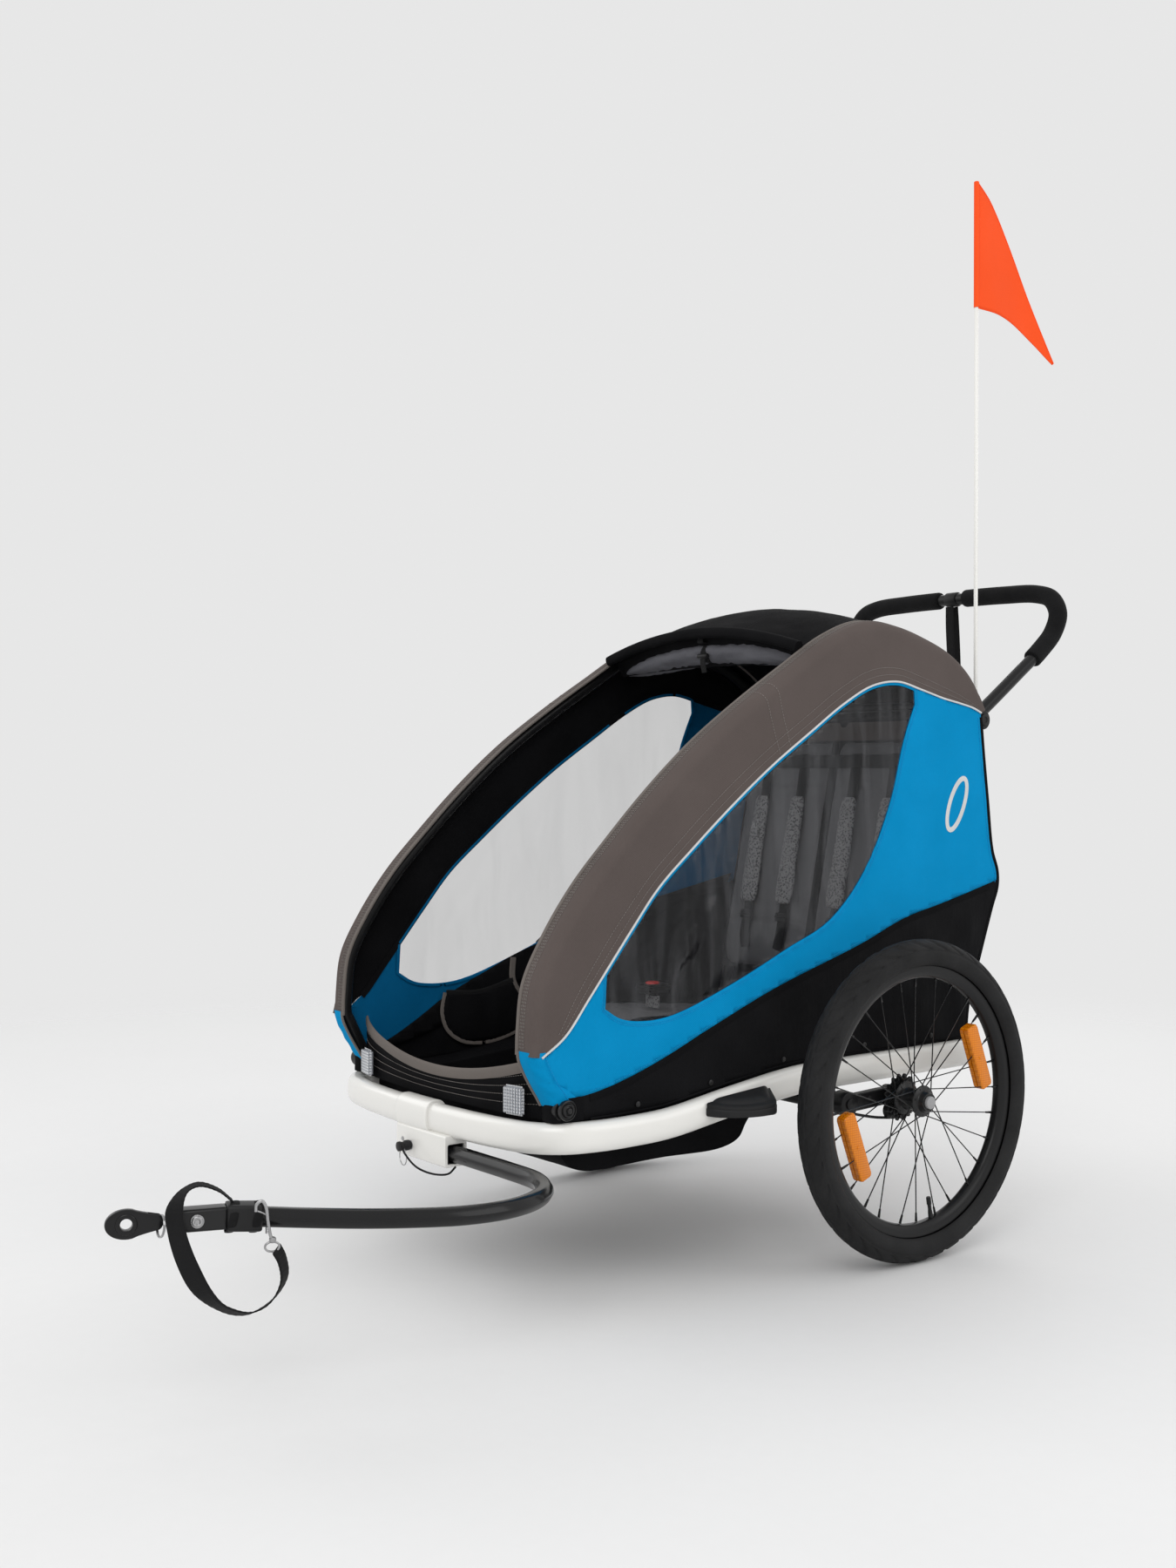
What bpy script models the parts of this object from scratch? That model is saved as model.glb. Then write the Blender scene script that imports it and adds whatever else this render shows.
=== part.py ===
"""Child bicycle trailer, two seats, on 20 inch wheels.

Metres, +Z up, the trailer's front towards -Y, its left side at +X.
Everything is modelled with the wheel axle over Y = 0 and is then carried
by one empty that moves it along Y, so the world origin lies on the ground
under the middle of the trailer's length.
"""
import bpy
import bmesh
import math
from mathutils import Vector, Matrix

for ob in list(bpy.data.objects):
    bpy.data.objects.remove(ob, do_unlink=True)

# ------------------------------------------------------------------ sizes
AXLE_TO_ORIGIN = 0.3496        # axle line lies this far behind the origin
GAP = 0.0004                  # clearance between touching pieces

WHEEL_X = 0.390               # wheel mid-plane
WHEEL_R = 0.250               # 20 x 1.75 tyre
TYRE_HALF = 0.0235
RIM_FLANGE_R = 0.2095
HUB_END_X = 0.4155
BUTTON_END_X = 0.4200
SPOKES = 28

RAIL_X = 0.290                # side tube, oval 44 x 30
RAIL_H = 0.022
RAIL_W = 0.015
RAIL_Z_REAR = 0.287
RAIL_Z_FRONT = 0.249
RAIL_REAR_Y = 0.262
FRONT_Y = -0.660

HOOP_X = 0.262
HOOP_R = 0.011
HOOP_PIVOT = (-0.600, 0.290)  # y, z
SKIN = 0.0025
SLEEVE_X = 0.279              # outer face of sleeves and side panels

BACK_PIVOT = (0.160, 0.330)
BACK_TOP = (0.268, 0.856)
BACK_X = 0.2285

HANDLE_PIVOT = (0.300, 0.848)
HANDLE_X = 0.250
HANDLE_R = 0.011
GRIP_R = 0.0165

ARM_PIVOT = (-0.100, 0.248)
AXLE_Z = WHEEL_R

EYE = Vector((0.273, -1.237, 0.234))
TOW_DIR = Vector((-0.34, -0.94, 0.0)).normalized()
TOW_SIDE = Vector((0.94, -0.34, 0.0)).normalized()
BAR_R = 0.0135
BRACKET_X0, BRACKET_X1 = -0.043, 0.098
BAR_Z = 0.2045
PIN_X = 0.000

FLAG_X, FLAG_Y = 0.220, 0.345
FLAG_TOP = 1.790


# -------------------------------------------------------------- materials
def material(name, rgb, rough=0.5, metal=0.0):
    m = bpy.data.materials.get(name)
    if m:
        return m
    m = bpy.data.materials.new(name)
    m.use_nodes = True
    b = m.node_tree.nodes["Principled BSDF"]
    b.inputs["Base Color"].default_value = (rgb[0], rgb[1], rgb[2], 1.0)
    b.inputs["Roughness"].default_value = rough
    b.inputs["Metallic"].default_value = metal
    m.diffuse_color = (rgb[0], rgb[1], rgb[2], 1.0)
    return m


WHITE = ("frame_white", (0.80, 0.79, 0.76), 0.25, 0.0)
BLACK_METAL = ("black_tube", (0.02, 0.02, 0.02), 0.35, 0.0)
BLACK_PLASTIC = ("black_plastic", (0.018, 0.018, 0.018), 0.45, 0.0)
BLACK_FABRIC = ("black_fabric", (0.012, 0.012, 0.013), 0.9, 0.0)
BLUE = ("blue_fabric", (0.0, 0.20, 0.54), 0.85, 0.0)
TAUPE = ("taupe_fabric", (0.12, 0.10, 0.09), 0.9, 0.0)
GREY = ("grey_fabric", (0.16, 0.16, 0.17), 0.9, 0.0)
CLEAR = ("window_film", (0.25, 0.26, 0.27), 0.1, 0.0)
STEEL = ("bright_steel", (0.62, 0.62, 0.62), 0.25, 1.0)
RUBBER = ("tyre_rubber", (0.02, 0.02, 0.02), 0.75, 0.0)
AMBER = ("amber_plastic", (0.95, 0.30, 0.02), 0.2, 0.0)
LENS = ("clear_reflector", (0.75, 0.76, 0.78), 0.12, 0.0)
ORANGE = ("flag_orange", (1.0, 0.12, 0.02), 0.8, 0.0)
RED = ("red_plastic", (0.65, 0.02, 0.02), 0.35, 0.0)
FOAM = ("foam_black", (0.02, 0.02, 0.02), 0.95, 0.0)
GREY_PLASTIC = ("grey_plastic", (0.35, 0.35, 0.36), 0.4, 0.0)


# ----------------------------------------------------------------- bodies
EMPTY = {}
PIVOT = {}


def body(name, pivot, parent=None):
    e = bpy.data.objects.new("axis_" + name, None)
    bpy.context.scene.collection.objects.link(e)
    e.empty_display_size = 0.05
    p = Vector(pivot)
    if parent:
        e.parent = EMPTY[parent]
        e.location = p - PIVOT[parent]
    else:
        e.location = p + Vector((0, AXLE_TO_ORIGIN, 0))
    EMPTY[name] = e
    PIVOT[name] = p
    return e


# ------------------------------------------------------------ mesh makers
def new_object(name, bm, look=None):
    bmesh.ops.remove_doubles(bm, verts=bm.verts, dist=1e-6)
    bmesh.ops.recalc_face_normals(bm, faces=bm.faces)
    me = bpy.data.meshes.new(name)
    bm.to_mesh(me)
    bm.free()
    ob = bpy.data.objects.new(name, me)
    bpy.context.scene.collection.objects.link(ob)
    if look:
        me.materials.append(material(*look))
    return ob


def finish(ob, name, look, carrier, angle=35.0):
    """Name the piece, colour it, and hang it on its body's empty."""
    ob.name = name
    me = ob.data
    me.name = name
    me.materials.clear()
    me.materials.append(material(*look))
    me.transform(Matrix.Translation(-PIVOT[carrier]))
    ob.parent = EMPTY[carrier]
    ob.location = (0, 0, 0)
    me.shade_smooth()
    me.set_sharp_from_angle(angle=math.radians(angle))
    return ob


def evaluated(ob):
    dg = bpy.context.evaluated_depsgraph_get()
    dg.update()
    me = bpy.data.meshes.new_from_object(ob.evaluated_get(dg))
    ob.modifiers.clear()
    ob.data = me
    return ob


def combine(base, others, operation="UNION"):
    for o in others:
        m = base.modifiers.new("cut", "BOOLEAN")
        m.operation = operation
        m.solver = "EXACT"
        m.object = o
    evaluated(base)
    for o in others:
        bpy.data.objects.remove(o, do_unlink=True)
    return base


def spline(points, per=4):
    """Centripetal Catmull-Rom through the points, `per` steps a segment."""
    P = [Vector(p) for p in points]
    Q = [P[0] * 2 - P[1]] + P + [P[-1] * 2 - P[-2]]
    out = []
    for i in range(1, len(Q) - 2):
        p0, p1, p2, p3 = Q[i - 1], Q[i], Q[i + 1], Q[i + 2]
        t0 = 0.0
        t1 = t0 + (p1 - p0).length ** 0.5
        t2 = t1 + (p2 - p1).length ** 0.5
        t3 = t2 + (p3 - p2).length ** 0.5
        for k in range(per):
            t = t1 + (t2 - t1) * k / per
            a1 = p0 * ((t1 - t) / (t1 - t0)) + p1 * ((t - t0) / (t1 - t0))
            a2 = p1 * ((t2 - t) / (t2 - t1)) + p2 * ((t - t1) / (t2 - t1))
            a3 = p2 * ((t3 - t) / (t3 - t2)) + p3 * ((t - t2) / (t3 - t2))
            b1 = a1 * ((t2 - t) / (t2 - t0)) + a2 * ((t - t0) / (t2 - t0))
            b2 = a2 * ((t3 - t) / (t3 - t1)) + a3 * ((t - t1) / (t3 - t1))
            out.append(b1 * ((t2 - t) / (t2 - t1)) + b2 * ((t - t1) / (t2 - t1)))
    out.append(P[-1])
    return out


def tangents(path):
    T = []
    for i in range(len(path)):
        a = path[max(i - 1, 0)]
        b = path[min(i + 1, len(path) - 1)]
        T.append((b - a).normalized())
    return T


def loft(rings, look=None, name="loft"):
    """Closed skin through equal rings of points, with flat end caps."""
    bm = bmesh.new()
    rows = [[bm.verts.new(p) for p in ring] for ring in rings]
    n = len(rows[0])
    for a, b in zip(rows, rows[1:]):
        for k in range(n):
            bm.faces.new((a[k], a[(k + 1) % n], b[(k + 1) % n], b[k]))
    bm.faces.new(rows[0][::-1])
    bm.faces.new(rows[-1])
    return new_object(name, bm, look)


def sweep(path, profile, ref, name="sweep"):
    """Carry a closed profile (a along ref, b across) along a path."""
    T = tangents(path)
    ref = Vector(ref)
    rings = []
    for i, p in enumerate(path):
        B = (ref - T[i] * ref.dot(T[i])).normalized()
        C = T[i].cross(B)
        prof = profile(i / (len(path) - 1)) if callable(profile) else profile
        rings.append([p + B * a + C * b for a, b in prof])
    return loft(rings, name=name)


def circle(r, n=12, r2=None):
    r2 = r if r2 is None else r2
    return [(r * math.cos(2 * math.pi * k / n), r2 * math.sin(2 * math.pi * k / n)) for k in range(n)]


def oval(a, b, n=14, power=2.5):
    out = []
    for k in range(n):
        t = 2 * math.pi * k / n
        c, s = math.cos(t), math.sin(t)
        out.append((a * math.copysign(abs(c) ** (2 / power), c), b * math.copysign(abs(s) ** (2 / power), s)))
    return out


def tube(path, r, ref=(1, 0, 0), n=12):
    return sweep(path, circle(r, n), ref)


def hollow_tube(path, r_out, r_in, ref=(1, 0, 0), n=12):
    bm = bmesh.new()
    T = tangents(path)
    ref = Vector(ref)
    outer, inner = [], []
    for i, p in enumerate(path):
        B = (ref - T[i] * ref.dot(T[i])).normalized()
        C = T[i].cross(B)
        outer.append([bm.verts.new(p + B * a + C * b) for a, b in circle(r_out, n)])
        inner.append([bm.verts.new(p + B * a + C * b) for a, b in circle(r_in, n)])
    for a, b in zip(outer, outer[1:]):
        for k in range(n):
            bm.faces.new((a[k], a[(k + 1) % n], b[(k + 1) % n], b[k]))
    for a, b in zip(inner, inner[1:]):
        for k in range(n):
            bm.faces.new((b[k], b[(k + 1) % n], a[(k + 1) % n], a[k]))
    for o, i_ in ((outer[0], inner[0]), (inner[-1], outer[-1])):
        for k in range(n):
            bm.faces.new((o[(k + 1) % n], o[k], i_[k], i_[(k + 1) % n]))
    return new_object("hollow_tube", bm)


def box(lo, hi, bevel=0.0):
    bm = bmesh.new()
    bmesh.ops.create_cube(bm, size=1.0)
    c = [(a + b) / 2 for a, b in zip(lo, hi)]
    s = [b - a for a, b in zip(lo, hi)]
    bmesh.ops.scale(bm, vec=s, verts=bm.verts)
    bmesh.ops.translate(bm, vec=c, verts=bm.verts)
    if bevel:
        bmesh.ops.bevel(bm, geom=list(bm.edges), offset=bevel, segments=1, affect="EDGES", clamp_overlap=True)
    return new_object("box", bm)


def cylinder(p0, p1, r, n=16, r1=None):
    p0, p1 = Vector(p0), Vector(p1)
    d = (p1 - p0).normalized()
    ref = Vector((1, 0, 0)) if abs(d.x) < 0.8 else Vector((0, 0, 1))
    B = (ref - d * ref.dot(d)).normalized()
    C = d.cross(B)
    rings = []
    for p, rr in ((p0, r), (p1, r if r1 is None else r1)):
        rings.append([p + B * a + C * b for a, b in circle(rr, n)])
    return loft(rings, name="cylinder")


def ball(c, r, n=14, m=8):
    bm = bmesh.new()
    bmesh.ops.create_uvsphere(bm, u_segments=n, v_segments=m, radius=r)
    bmesh.ops.translate(bm, vec=c, verts=bm.verts)
    return new_object("ball", bm)


def ring(c, axis, R, r, n=18, m=6):
    """Closed wire ring about an axis."""
    axis = Vector(axis).normalized()
    ref = Vector((0, 0, 1)) if abs(axis.z) < 0.8 else Vector((1, 0, 0))
    B = (ref - axis * ref.dot(axis)).normalized()
    C = axis.cross(B)
    bm = bmesh.new()
    rows = []
    for i in range(n):
        t = 2 * math.pi * i / n
        d = B * math.cos(t) + C * math.sin(t)
        rows.append([bm.verts.new(Vector(c) + d * (R + r * math.cos(2 * math.pi * k / m)) + axis * r * math.sin(2 * math.pi * k / m)) for k in range(m)])
    for i in range(n):
        a, b = rows[i], rows[(i + 1) % n]
        for k in range(m):
            bm.faces.new((a[k], a[(k + 1) % m], b[(k + 1) % m], b[k]))
    return new_object("ring", bm)


def lathe_x(profile, yz, sx=1.0, n=24, phase=0.0):
    """Turn a closed (x, r) profile about the X axis through (y, z)."""
    bm = bmesh.new()
    rows = []
    for i in range(n):
        t = 2 * math.pi * i / n + phase
        rows.append([bm.verts.new((sx * x, yz[0] + r * math.cos(t), yz[1] + r * math.sin(t))) for x, r in profile])
    m = len(profile)
    for i in range(n):
        a, b = rows[i], rows[(i + 1) % n]
        for k in range(m):
            k2 = (k + 1) % m
            if profile[k][1] < 1e-9 and profile[k2][1] < 1e-9:
                continue
            f = [a[k], a[k2], b[k2], b[k]]
            if profile[k][1] < 1e-9:
                f = [a[k], a[k2], b[k2]]
            elif profile[k2][1] < 1e-9:
                f = [a[k], a[k2], b[k]]
            bm.faces.new(f)
    return new_object("lathe", bm)


def slab_yz(points, x0, x1):
    """Outline in the (y, z) plane given thickness along X."""
    a = [Vector((x0, y, z)) for y, z in points]
    b = [Vector((x1, y, z)) for y, z in points]
    return loft([a, b], name="slab")


def slab_xy(points, z0, z1):
    a = [Vector((x, y, z0)) for x, y in points]
    b = [Vector((x, y, z1)) for x, y in points]
    return loft([a, b], name="slab")


def flat(points, per):
    """Smooth a list of (a, b) pairs."""
    return [(p.x, p.y) for p in spline([(a, b, 0) for a, b in points], per)]


def both(make):
    return make(1.0), make(-1.0)


# ------------------------------------------------------------ body tree
body("trailer", (0, 0, 0))
body("hoop", (0, HOOP_PIVOT[0], HOOP_PIVOT[1]), "trailer")
body("backrest", (0, BACK_PIVOT[0], BACK_PIVOT[1]), "trailer")
body("handle", (0, HANDLE_PIVOT[0], HANDLE_PIVOT[1]), "hoop")
body("flag", (FLAG_X, FLAG_Y, 0.806), "hoop")
BALL_C = EYE - TOW_DIR * 0.060
EYE_C = EYE - TOW_DIR * 0.034
body("hitch_ball", BALL_C, "trailer")
body("hitch_eye", EYE_C, "hitch_ball")
body("bar_pin", (PIN_X, -0.660, BAR_Z), "trailer")
body("brake_pedal", (0, 0.262, 0.281), "trailer")
for side, sx in (("left", 1.0), ("right", -1.0)):
    body("arm_" + side, (sx * 0.333, ARM_PIVOT[0], ARM_PIVOT[1]), "trailer")
    body("wheel_" + side, (sx * WHEEL_X, 0, AXLE_Z), "arm_" + side)
    body("button_" + side, (sx * 0.4160, 0, AXLE_Z), "wheel_" + side)
    body("release_" + side, (sx * 0.110, -0.115, 0.391), "trailer")

# ------------------------------------------------------------ base frame
half = [(0.284, RAIL_REAR_Y, RAIL_Z_REAR), (0.287, 0.10, RAIL_Z_REAR), (RAIL_X, -0.10, RAIL_Z_REAR),
        (RAIL_X, -0.17, 0.2845), (RAIL_X, -0.30, 0.2685), (RAIL_X, -0.42, 0.2515), (RAIL_X, -0.49, RAIL_Z_FRONT),
        (0.2875, -0.550, RAIL_Z_FRONT), (0.273, -0.598, RAIL_Z_FRONT), (0.240, -0.630, RAIL_Z_FRONT),
        (0.190, -0.645, RAIL_Z_FRONT), (0.100, -0.656, RAIL_Z_FRONT), (0.0, FRONT_Y, RAIL_Z_FRONT)]
frame_line = spline(half + [(-x, y, z) for x, y, z in half[-2::-1]], 2)
frame = sweep(frame_line, oval(RAIL_H, RAIL_W, 10), (0, 0, 1))
py, pz = HOOP_PIVOT
brackets = []
for sx in (1, -1):
    brackets.append(cylinder((sx * 0.2812, py, pz), (sx * 0.2885, py, pz), 0.0140, 14))
    brackets.append(cylinder((sx * 0.2880, py, pz), (sx * 0.2915, py, pz), 0.0065, 12))
    brackets.append(slab_yz([(py - 0.006, pz + 0.004), (py + 0.008, pz + 0.008), (py + 0.040, pz - 0.026), (py + 0.020, pz - 0.034)], sx * 0.2812, sx * 0.2865))
finish(combine(frame, brackets), "base_frame", WHITE, "trailer")

cross = cylinder((-0.2685, 0.235, RAIL_Z_REAR), (0.2685, 0.235, RAIL_Z_REAR), 0.011, 14)
lugs = [box((sx * 0.049 - 0.0035, 0.238, 0.270), (sx * 0.049 + 0.0035, 0.273, 0.293)) for sx in (1, -1)]
finish(combine(cross, lugs), "rear_crossbar", BLACK_METAL, "trailer")

beam = cylinder((-0.318, ARM_PIVOT[0], ARM_PIVOT[1]), (0.318, ARM_PIVOT[0], ARM_PIVOT[1]), 0.0160, 16)
finish(beam, "axle_beam", BLACK_METAL, "trailer")

# tow bar socket clamped round the middle of the front tube
front_run = [p for p in frame_line if abs(p.x) < 0.26 and p.y < -0.55]


def front_point(x):
    for a, b in zip(front_run, front_run[1:]):
        if (a.x - x) * (b.x - x) <= 0 and a.x != b.x:
            return a.lerp(b, (x - a.x) / (b.x - a.x))
    return Vector((x, FRONT_Y, RAIL_Z_FRONT))


collar_line = [front_point(BRACKET_X0 + (BRACKET_X1 - BRACKET_X0) * k / 5) for k in range(4)]
cut_line = [front_point(BRACKET_X0 - 0.02 + (BRACKET_X1 - BRACKET_X0 + 0.04) * k / 8) for k in range(9)]
bracket = sweep(collar_line, oval(RAIL_H + 0.0042, RAIL_W + 0.0042, 12), (0, 0, 1))
block = box((BRACKET_X0 + 0.004, -0.6785, 0.1860), (BRACKET_X1 - 0.004, -0.6400, 0.2300), 0.0015)
bracket = combine(bracket, [block])
tube_cut = sweep(cut_line, oval(RAIL_H + 0.0014, RAIL_W + 0.0014, 12), (0, 0, 1))
bar_cut = box((BRACKET_X0 + 0.010, -0.6730, BAR_Z - 0.0140), (BRACKET_X1 + 0.02, -0.6450, BAR_Z + 0.0140))
pin_cut = cylinder((PIN_X, -0.70, BAR_Z), (PIN_X, -0.62, BAR_Z), 0.0050, 12)
bracket = combine(bracket, [tube_cut, bar_cut, pin_cut], "DIFFERENCE")
finish(bracket, "hitch_bracket", WHITE, "trailer")

# --------------------------------------------------------------- tow bar
bar_end = EYE - TOW_DIR * 0.118
bar_line = spline([(-0.031, -0.659, BAR_Z), (0.06, -0.659, BAR_Z), (0.155, -0.659, BAR_Z), (0.225, -0.659, BAR_Z),
                   (0.300, -0.664, BAR_Z), (0.352, -0.690, BAR_Z), (0.386, -0.735, 0.2050), (0.4015, -0.790, 0.2060),
                   (0.3985, -0.850, 0.2080), (0.383, -0.910, 0.2115), (0.361, -0.975, 0.2165),
                   (0.339, -1.040, 0.2235), (bar_end.x + 0.012, bar_end.y + 0.036, 0.2300), (bar_end.x, bar_end.y, 0.2330)], 2)
hexa = [(BAR_R * math.cos(math.radians(a)), BAR_R * math.sin(math.radians(a)))
        for a in (12, 48, 72, 108, 132, 168, 192, 228, 252, 288, 312, 348)]
bar = sweep(bar_line, [(a * 0.93, b * 0.93) for a, b in hexa], (0, 0, 1))
bar = combine(bar, [cylinder((PIN_X, -0.70, BAR_Z), (PIN_X, -0.62, BAR_Z), 0.0050, 12)], "DIFFERENCE")
finish(bar, "tow_bar", BLACK_METAL, "trailer", 25)


def along(s, side=0.0, z=EYE.z):
    """Point on the hitch line, s behind the eye's hole and side outwards."""
    p = EYE - TOW_DIR * s + TOW_SIDE * side
    return Vector((p.x, p.y, z))


def hitch_box(s0, s1, w, z0, z1, side=0.0):
    rings = []
    for s in (s0, s1):
        rings.append([along(s, side - w, z0), along(s, side + w, z0), along(s, side + w, z1), along(s, side - w, z1)])
    return loft(rings, name="hitch_box")


blk = hitch_box(0.0500, 0.1158, 0.0125, EYE.z - 0.0135, EYE.z + 0.0135)
socket = ball(along(0.060), 0.0098)
mouth = cylinder(along(0.056), along(0.0480), 0.0082, 16, 0.0121)
bolt_hole = cylinder(along(0.080, -0.03), along(0.080, 0.03), 0.0045, 12)
blk = combine(blk, [socket, mouth, bolt_hole], "DIFFERENCE")
finish(blk, "hitch_block", BLACK_PLASTIC, "trailer")
bolt = cylinder(along(0.080, -0.0150), along(0.080, 0.0150), 0.0040, 12)
heads = [cylinder(along(0.080, 0.0130), along(0.080, 0.0175), 0.0075, 14),
         cylinder(along(0.080, -0.0175), along(0.080, -0.0130), 0.0075, 6)]
finish(combine(bolt, heads), "hitch_bolt", STEEL, "trailer")

tongue = loft([[along(s, w, EYE.z + h) for s, h in ((0.0450, 0.0045), (0.0340, 0.0045), (0.0290, 0.0032), (0.0275, 0.0), (0.0290, -0.0032),
                                                    (0.0340, -0.0045), (0.0450, -0.0045))] for w in (-0.0020, 0.0020)])
neck = combine(ball(along(0.060), 0.0093), [cylinder(along(0.060), along(0.0435), 0.0058, 14), tongue])
finish(neck, "hitch_ball", BLACK_METAL, "hitch_ball")


def eye_outline():
    pts = []
    for k in range(13):
        a = math.radians(-110 + 220 * k / 12)
        pts.append((-0.0245 * math.cos(a) * 1.0, 0.0175 * math.sin(a)))
    return pts


eye_pts = eye_outline() + [(0.0300, 0.0085), (0.0370, 0.0078), (0.0410, 0.0045), (0.0424, 0.0), (0.0410, -0.0045), (0.0370, -0.0078), (0.0300, -0.0085)]
eye = loft([[along(s, w, EYE.z + h) for s, h in eye_pts] for w in (-0.0045, 0.0045)])
eye = combine(eye, [cylinder(along(0, -0.02), along(0, 0.02), 0.0068, 16), hitch_box(0.0248, 0.0600, 0.0026, EYE.z - 0.03, EYE.z + 0.03)], "DIFFERENCE")
finish(eye, "hitch_eye", BLACK_METAL, "hitch_eye")

# lock pin of the tow bar with its wire ring
pin = cylinder((PIN_X, -0.6825, BAR_Z), (PIN_X, -0.6340, BAR_Z), 0.0045, 12)
head = cylinder((PIN_X, -0.7000, BAR_Z), (PIN_X, -0.6820, BAR_Z), 0.0078, 12)
pin_ring = ring((PIN_X + 0.004, -0.6935, BAR_Z - 0.0150), (0.15, 1, 0), 0.0125, 0.0010, 12, 5)
finish(combine(pin, [head, pin_ring]), "tow_bar_pin", BLACK_PLASTIC, "bar_pin")
tether_line = spline([(PIN_X + 0.0102, -0.6990, BAR_Z + 0.001), (0.022, -0.7005, BAR_Z - 0.008), (0.050, -0.6990, BAR_Z - 0.0215),
                      (0.082, -0.6900, BAR_Z - 0.0270), (0.106, -0.6800, BAR_Z - 0.0235), (0.118, -0.6760, BAR_Z - 0.0120)], 3)
finish(tube(tether_line, 0.0016, (0, 1, 0), 6), "pin_tether", BLACK_FABRIC, "trailer")


# webbing that arches over the block, then hangs under the bar to the snap hook
strap_pts = [along(0.1220, 0.0000, 0.2520), along(0.1050, 0.0030, 0.2670), along(0.0820, 0.0080, 0.2760), along(0.0640, 0.0150, 0.2700),
             along(0.0530, 0.0240, 0.2500), along(0.0560, 0.0280, 0.2240), along(0.0680, 0.0290, 0.1870), along(0.0850, 0.0290, 0.1550),
             along(0.1090, 0.0290, 0.1330), along(0.1380, 0.0290, 0.1250), along(0.1640, 0.0290, 0.1370), along(0.1790, 0.0290, 0.1620),
             along(0.1785, 0.0290, 0.1850), along(0.1720, 0.0290, 0.1965)]


def strap_turn(u):
    """Across the bar over the block, flat to the side where it hangs, turned again at the bottom."""
    keys = [(0.0, 88.0), (0.18, 80.0), (0.34, 35.0), (0.48, 20.0), (0.62, 60.0), (0.75, 75.0), (0.88, 50.0), (1.0, 30.0)]
    for (a, x), (b, y) in zip(keys, keys[1:]):
        if u <= b:
            return x + (y - x) * (u - a) / (b - a)
    return keys[-1][1]


def strap_half(u):
    return 0.0060 + 0.0055 * min(1.0, max(0.0, (u - 0.20) / 0.12))


line = spline(strap_pts, 3)
T = tangents(line)
rings = []
for i, p in enumerate(line):
    u = i / (len(line) - 1)
    n = TOW_SIDE.cross(T[i]).normalized()
    a = math.radians(strap_turn(u))
    w = n * math.cos(a) + TOW_SIDE * math.sin(a)
    w = (w - T[i] * w.dot(T[i])).normalized()
    t = T[i].cross(w).normalized()
    h = strap_half(u)
    rings.append([p + w * h + t * 0.0012, p - w * h + t * 0.0012, p - w * h - t * 0.0012, p + w * h - t * 0.0012])
finish(loft(rings), "safety_strap", BLACK_FABRIC, "trailer")

hook_line = spline([along(0.1640, 0.0290, 0.2110), along(0.1620, 0.0290, 0.2190), along(0.1600, 0.0290, 0.2330), along(0.1580, 0.0290, 0.2480),
                    along(0.1530, 0.0290, 0.2560), along(0.1470, 0.0290, 0.2520), along(0.1460, 0.0290, 0.2440)], 2)
hook = tube(hook_line, 0.0022, TOW_SIDE, 6)
slot = ring(along(0.1660, 0.0290, 0.2065), TOW_SIDE, 0.0070, 0.0016, 12, 5)
finish(combine(hook, [slot]), "snap_hook", STEEL, "trailer")

# ------------------------------------------------- floor, front and seat
def thick(line, t):
    """Open (y, z) line turned into a closed outline of thickness t, thickened to its left."""
    P = [Vector((a, b, 0)) for a, b in line]
    off = []
    for i, p in enumerate(P):
        n = Vector((0, 0, 0))
        if i > 0:
            d = (P[i] - P[i - 1]).normalized()
            n += Vector((-d.y, d.x, 0))
        if i < len(P) - 1:
            d = (P[i + 1] - P[i]).normalized()
            n += Vector((-d.y, d.x, 0))
        k = n.length
        n = n / k
        off.append(p + n * (t / max(0.5, k / 2) if 0 < i < len(P) - 1 else t))
    return [(p.x, p.y) for p in P] + [(p.x, p.y) for p in off[::-1]]


TUB_X = 0.245
tub_line = [(-0.585, 0.268), (-0.583, 0.222), (-0.570, 0.202), (-0.540, 0.1905), (-0.275, 0.1885), (-0.240, 0.2000), (-0.226, 0.2180), (-0.168, 0.2800), (0.150, 0.2800)]
tub = slab_yz(thick(tub_line, 0.0030), -TUB_X, TUB_X)
wall = [(-0.585, 0.268), (-0.583, 0.222), (-0.570, 0.202), (-0.540, 0.1905), (-0.275, 0.1885), (-0.240, 0.2000), (-0.226, 0.2180), (-0.168, 0.2800), (-0.168, 0.283), (-0.30, 0.281), (-0.44, 0.268)]
walls = [slab_yz(wall, sx * TUB_X, sx * (TUB_X - 0.003)) for sx in (1, -1)]
finish(combine(tub, walls), "floor_tub", BLACK_FABRIC, "trailer")

fp = spline([(-0.2465, -0.6060, 0), (-0.2300, -0.6130, 0), (-0.1900, -0.623, 0), (-0.10, -0.632, 0), (0, -0.635, 0),
             (0.10, -0.632, 0), (0.1900, -0.623, 0), (0.2300, -0.6130, 0), (0.2465, -0.6060, 0)], 2)
rings = []
for i, p in enumerate(fp):
    t = tangents(fp)[i]
    n = Vector((t.y, -t.x, 0)).normalized()
    top = min(0.318 + 0.70 * p.x * p.x, 0.362)
    rings.append([Vector((p.x, p.y, 0.2722)) + n * 0.0012, Vector((p.x, p.y, 0.2722)) - n * 0.0012,
                  Vector((p.x, p.y, top)) - n * 0.0012, Vector((p.x, p.y, top)) + n * 0.0012])
finish(loft(rings), "front_panel", BLACK_FABRIC, "trailer")

for side, sx in (("left", 1.0), ("right", -1.0)):
    b = box((-0.0185, -0.0045, -0.0210), (0.0185, 0.0045, 0.0210), 0.0015)
    b.data.transform(Matrix.Translation((sx * 0.2020, -0.6330, 0.2960)) @ Matrix.Rotation(sx * math.radians(12), 4, "Z"))
    finish(b, "front_reflector_" + side, LENS, "trailer")

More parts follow.
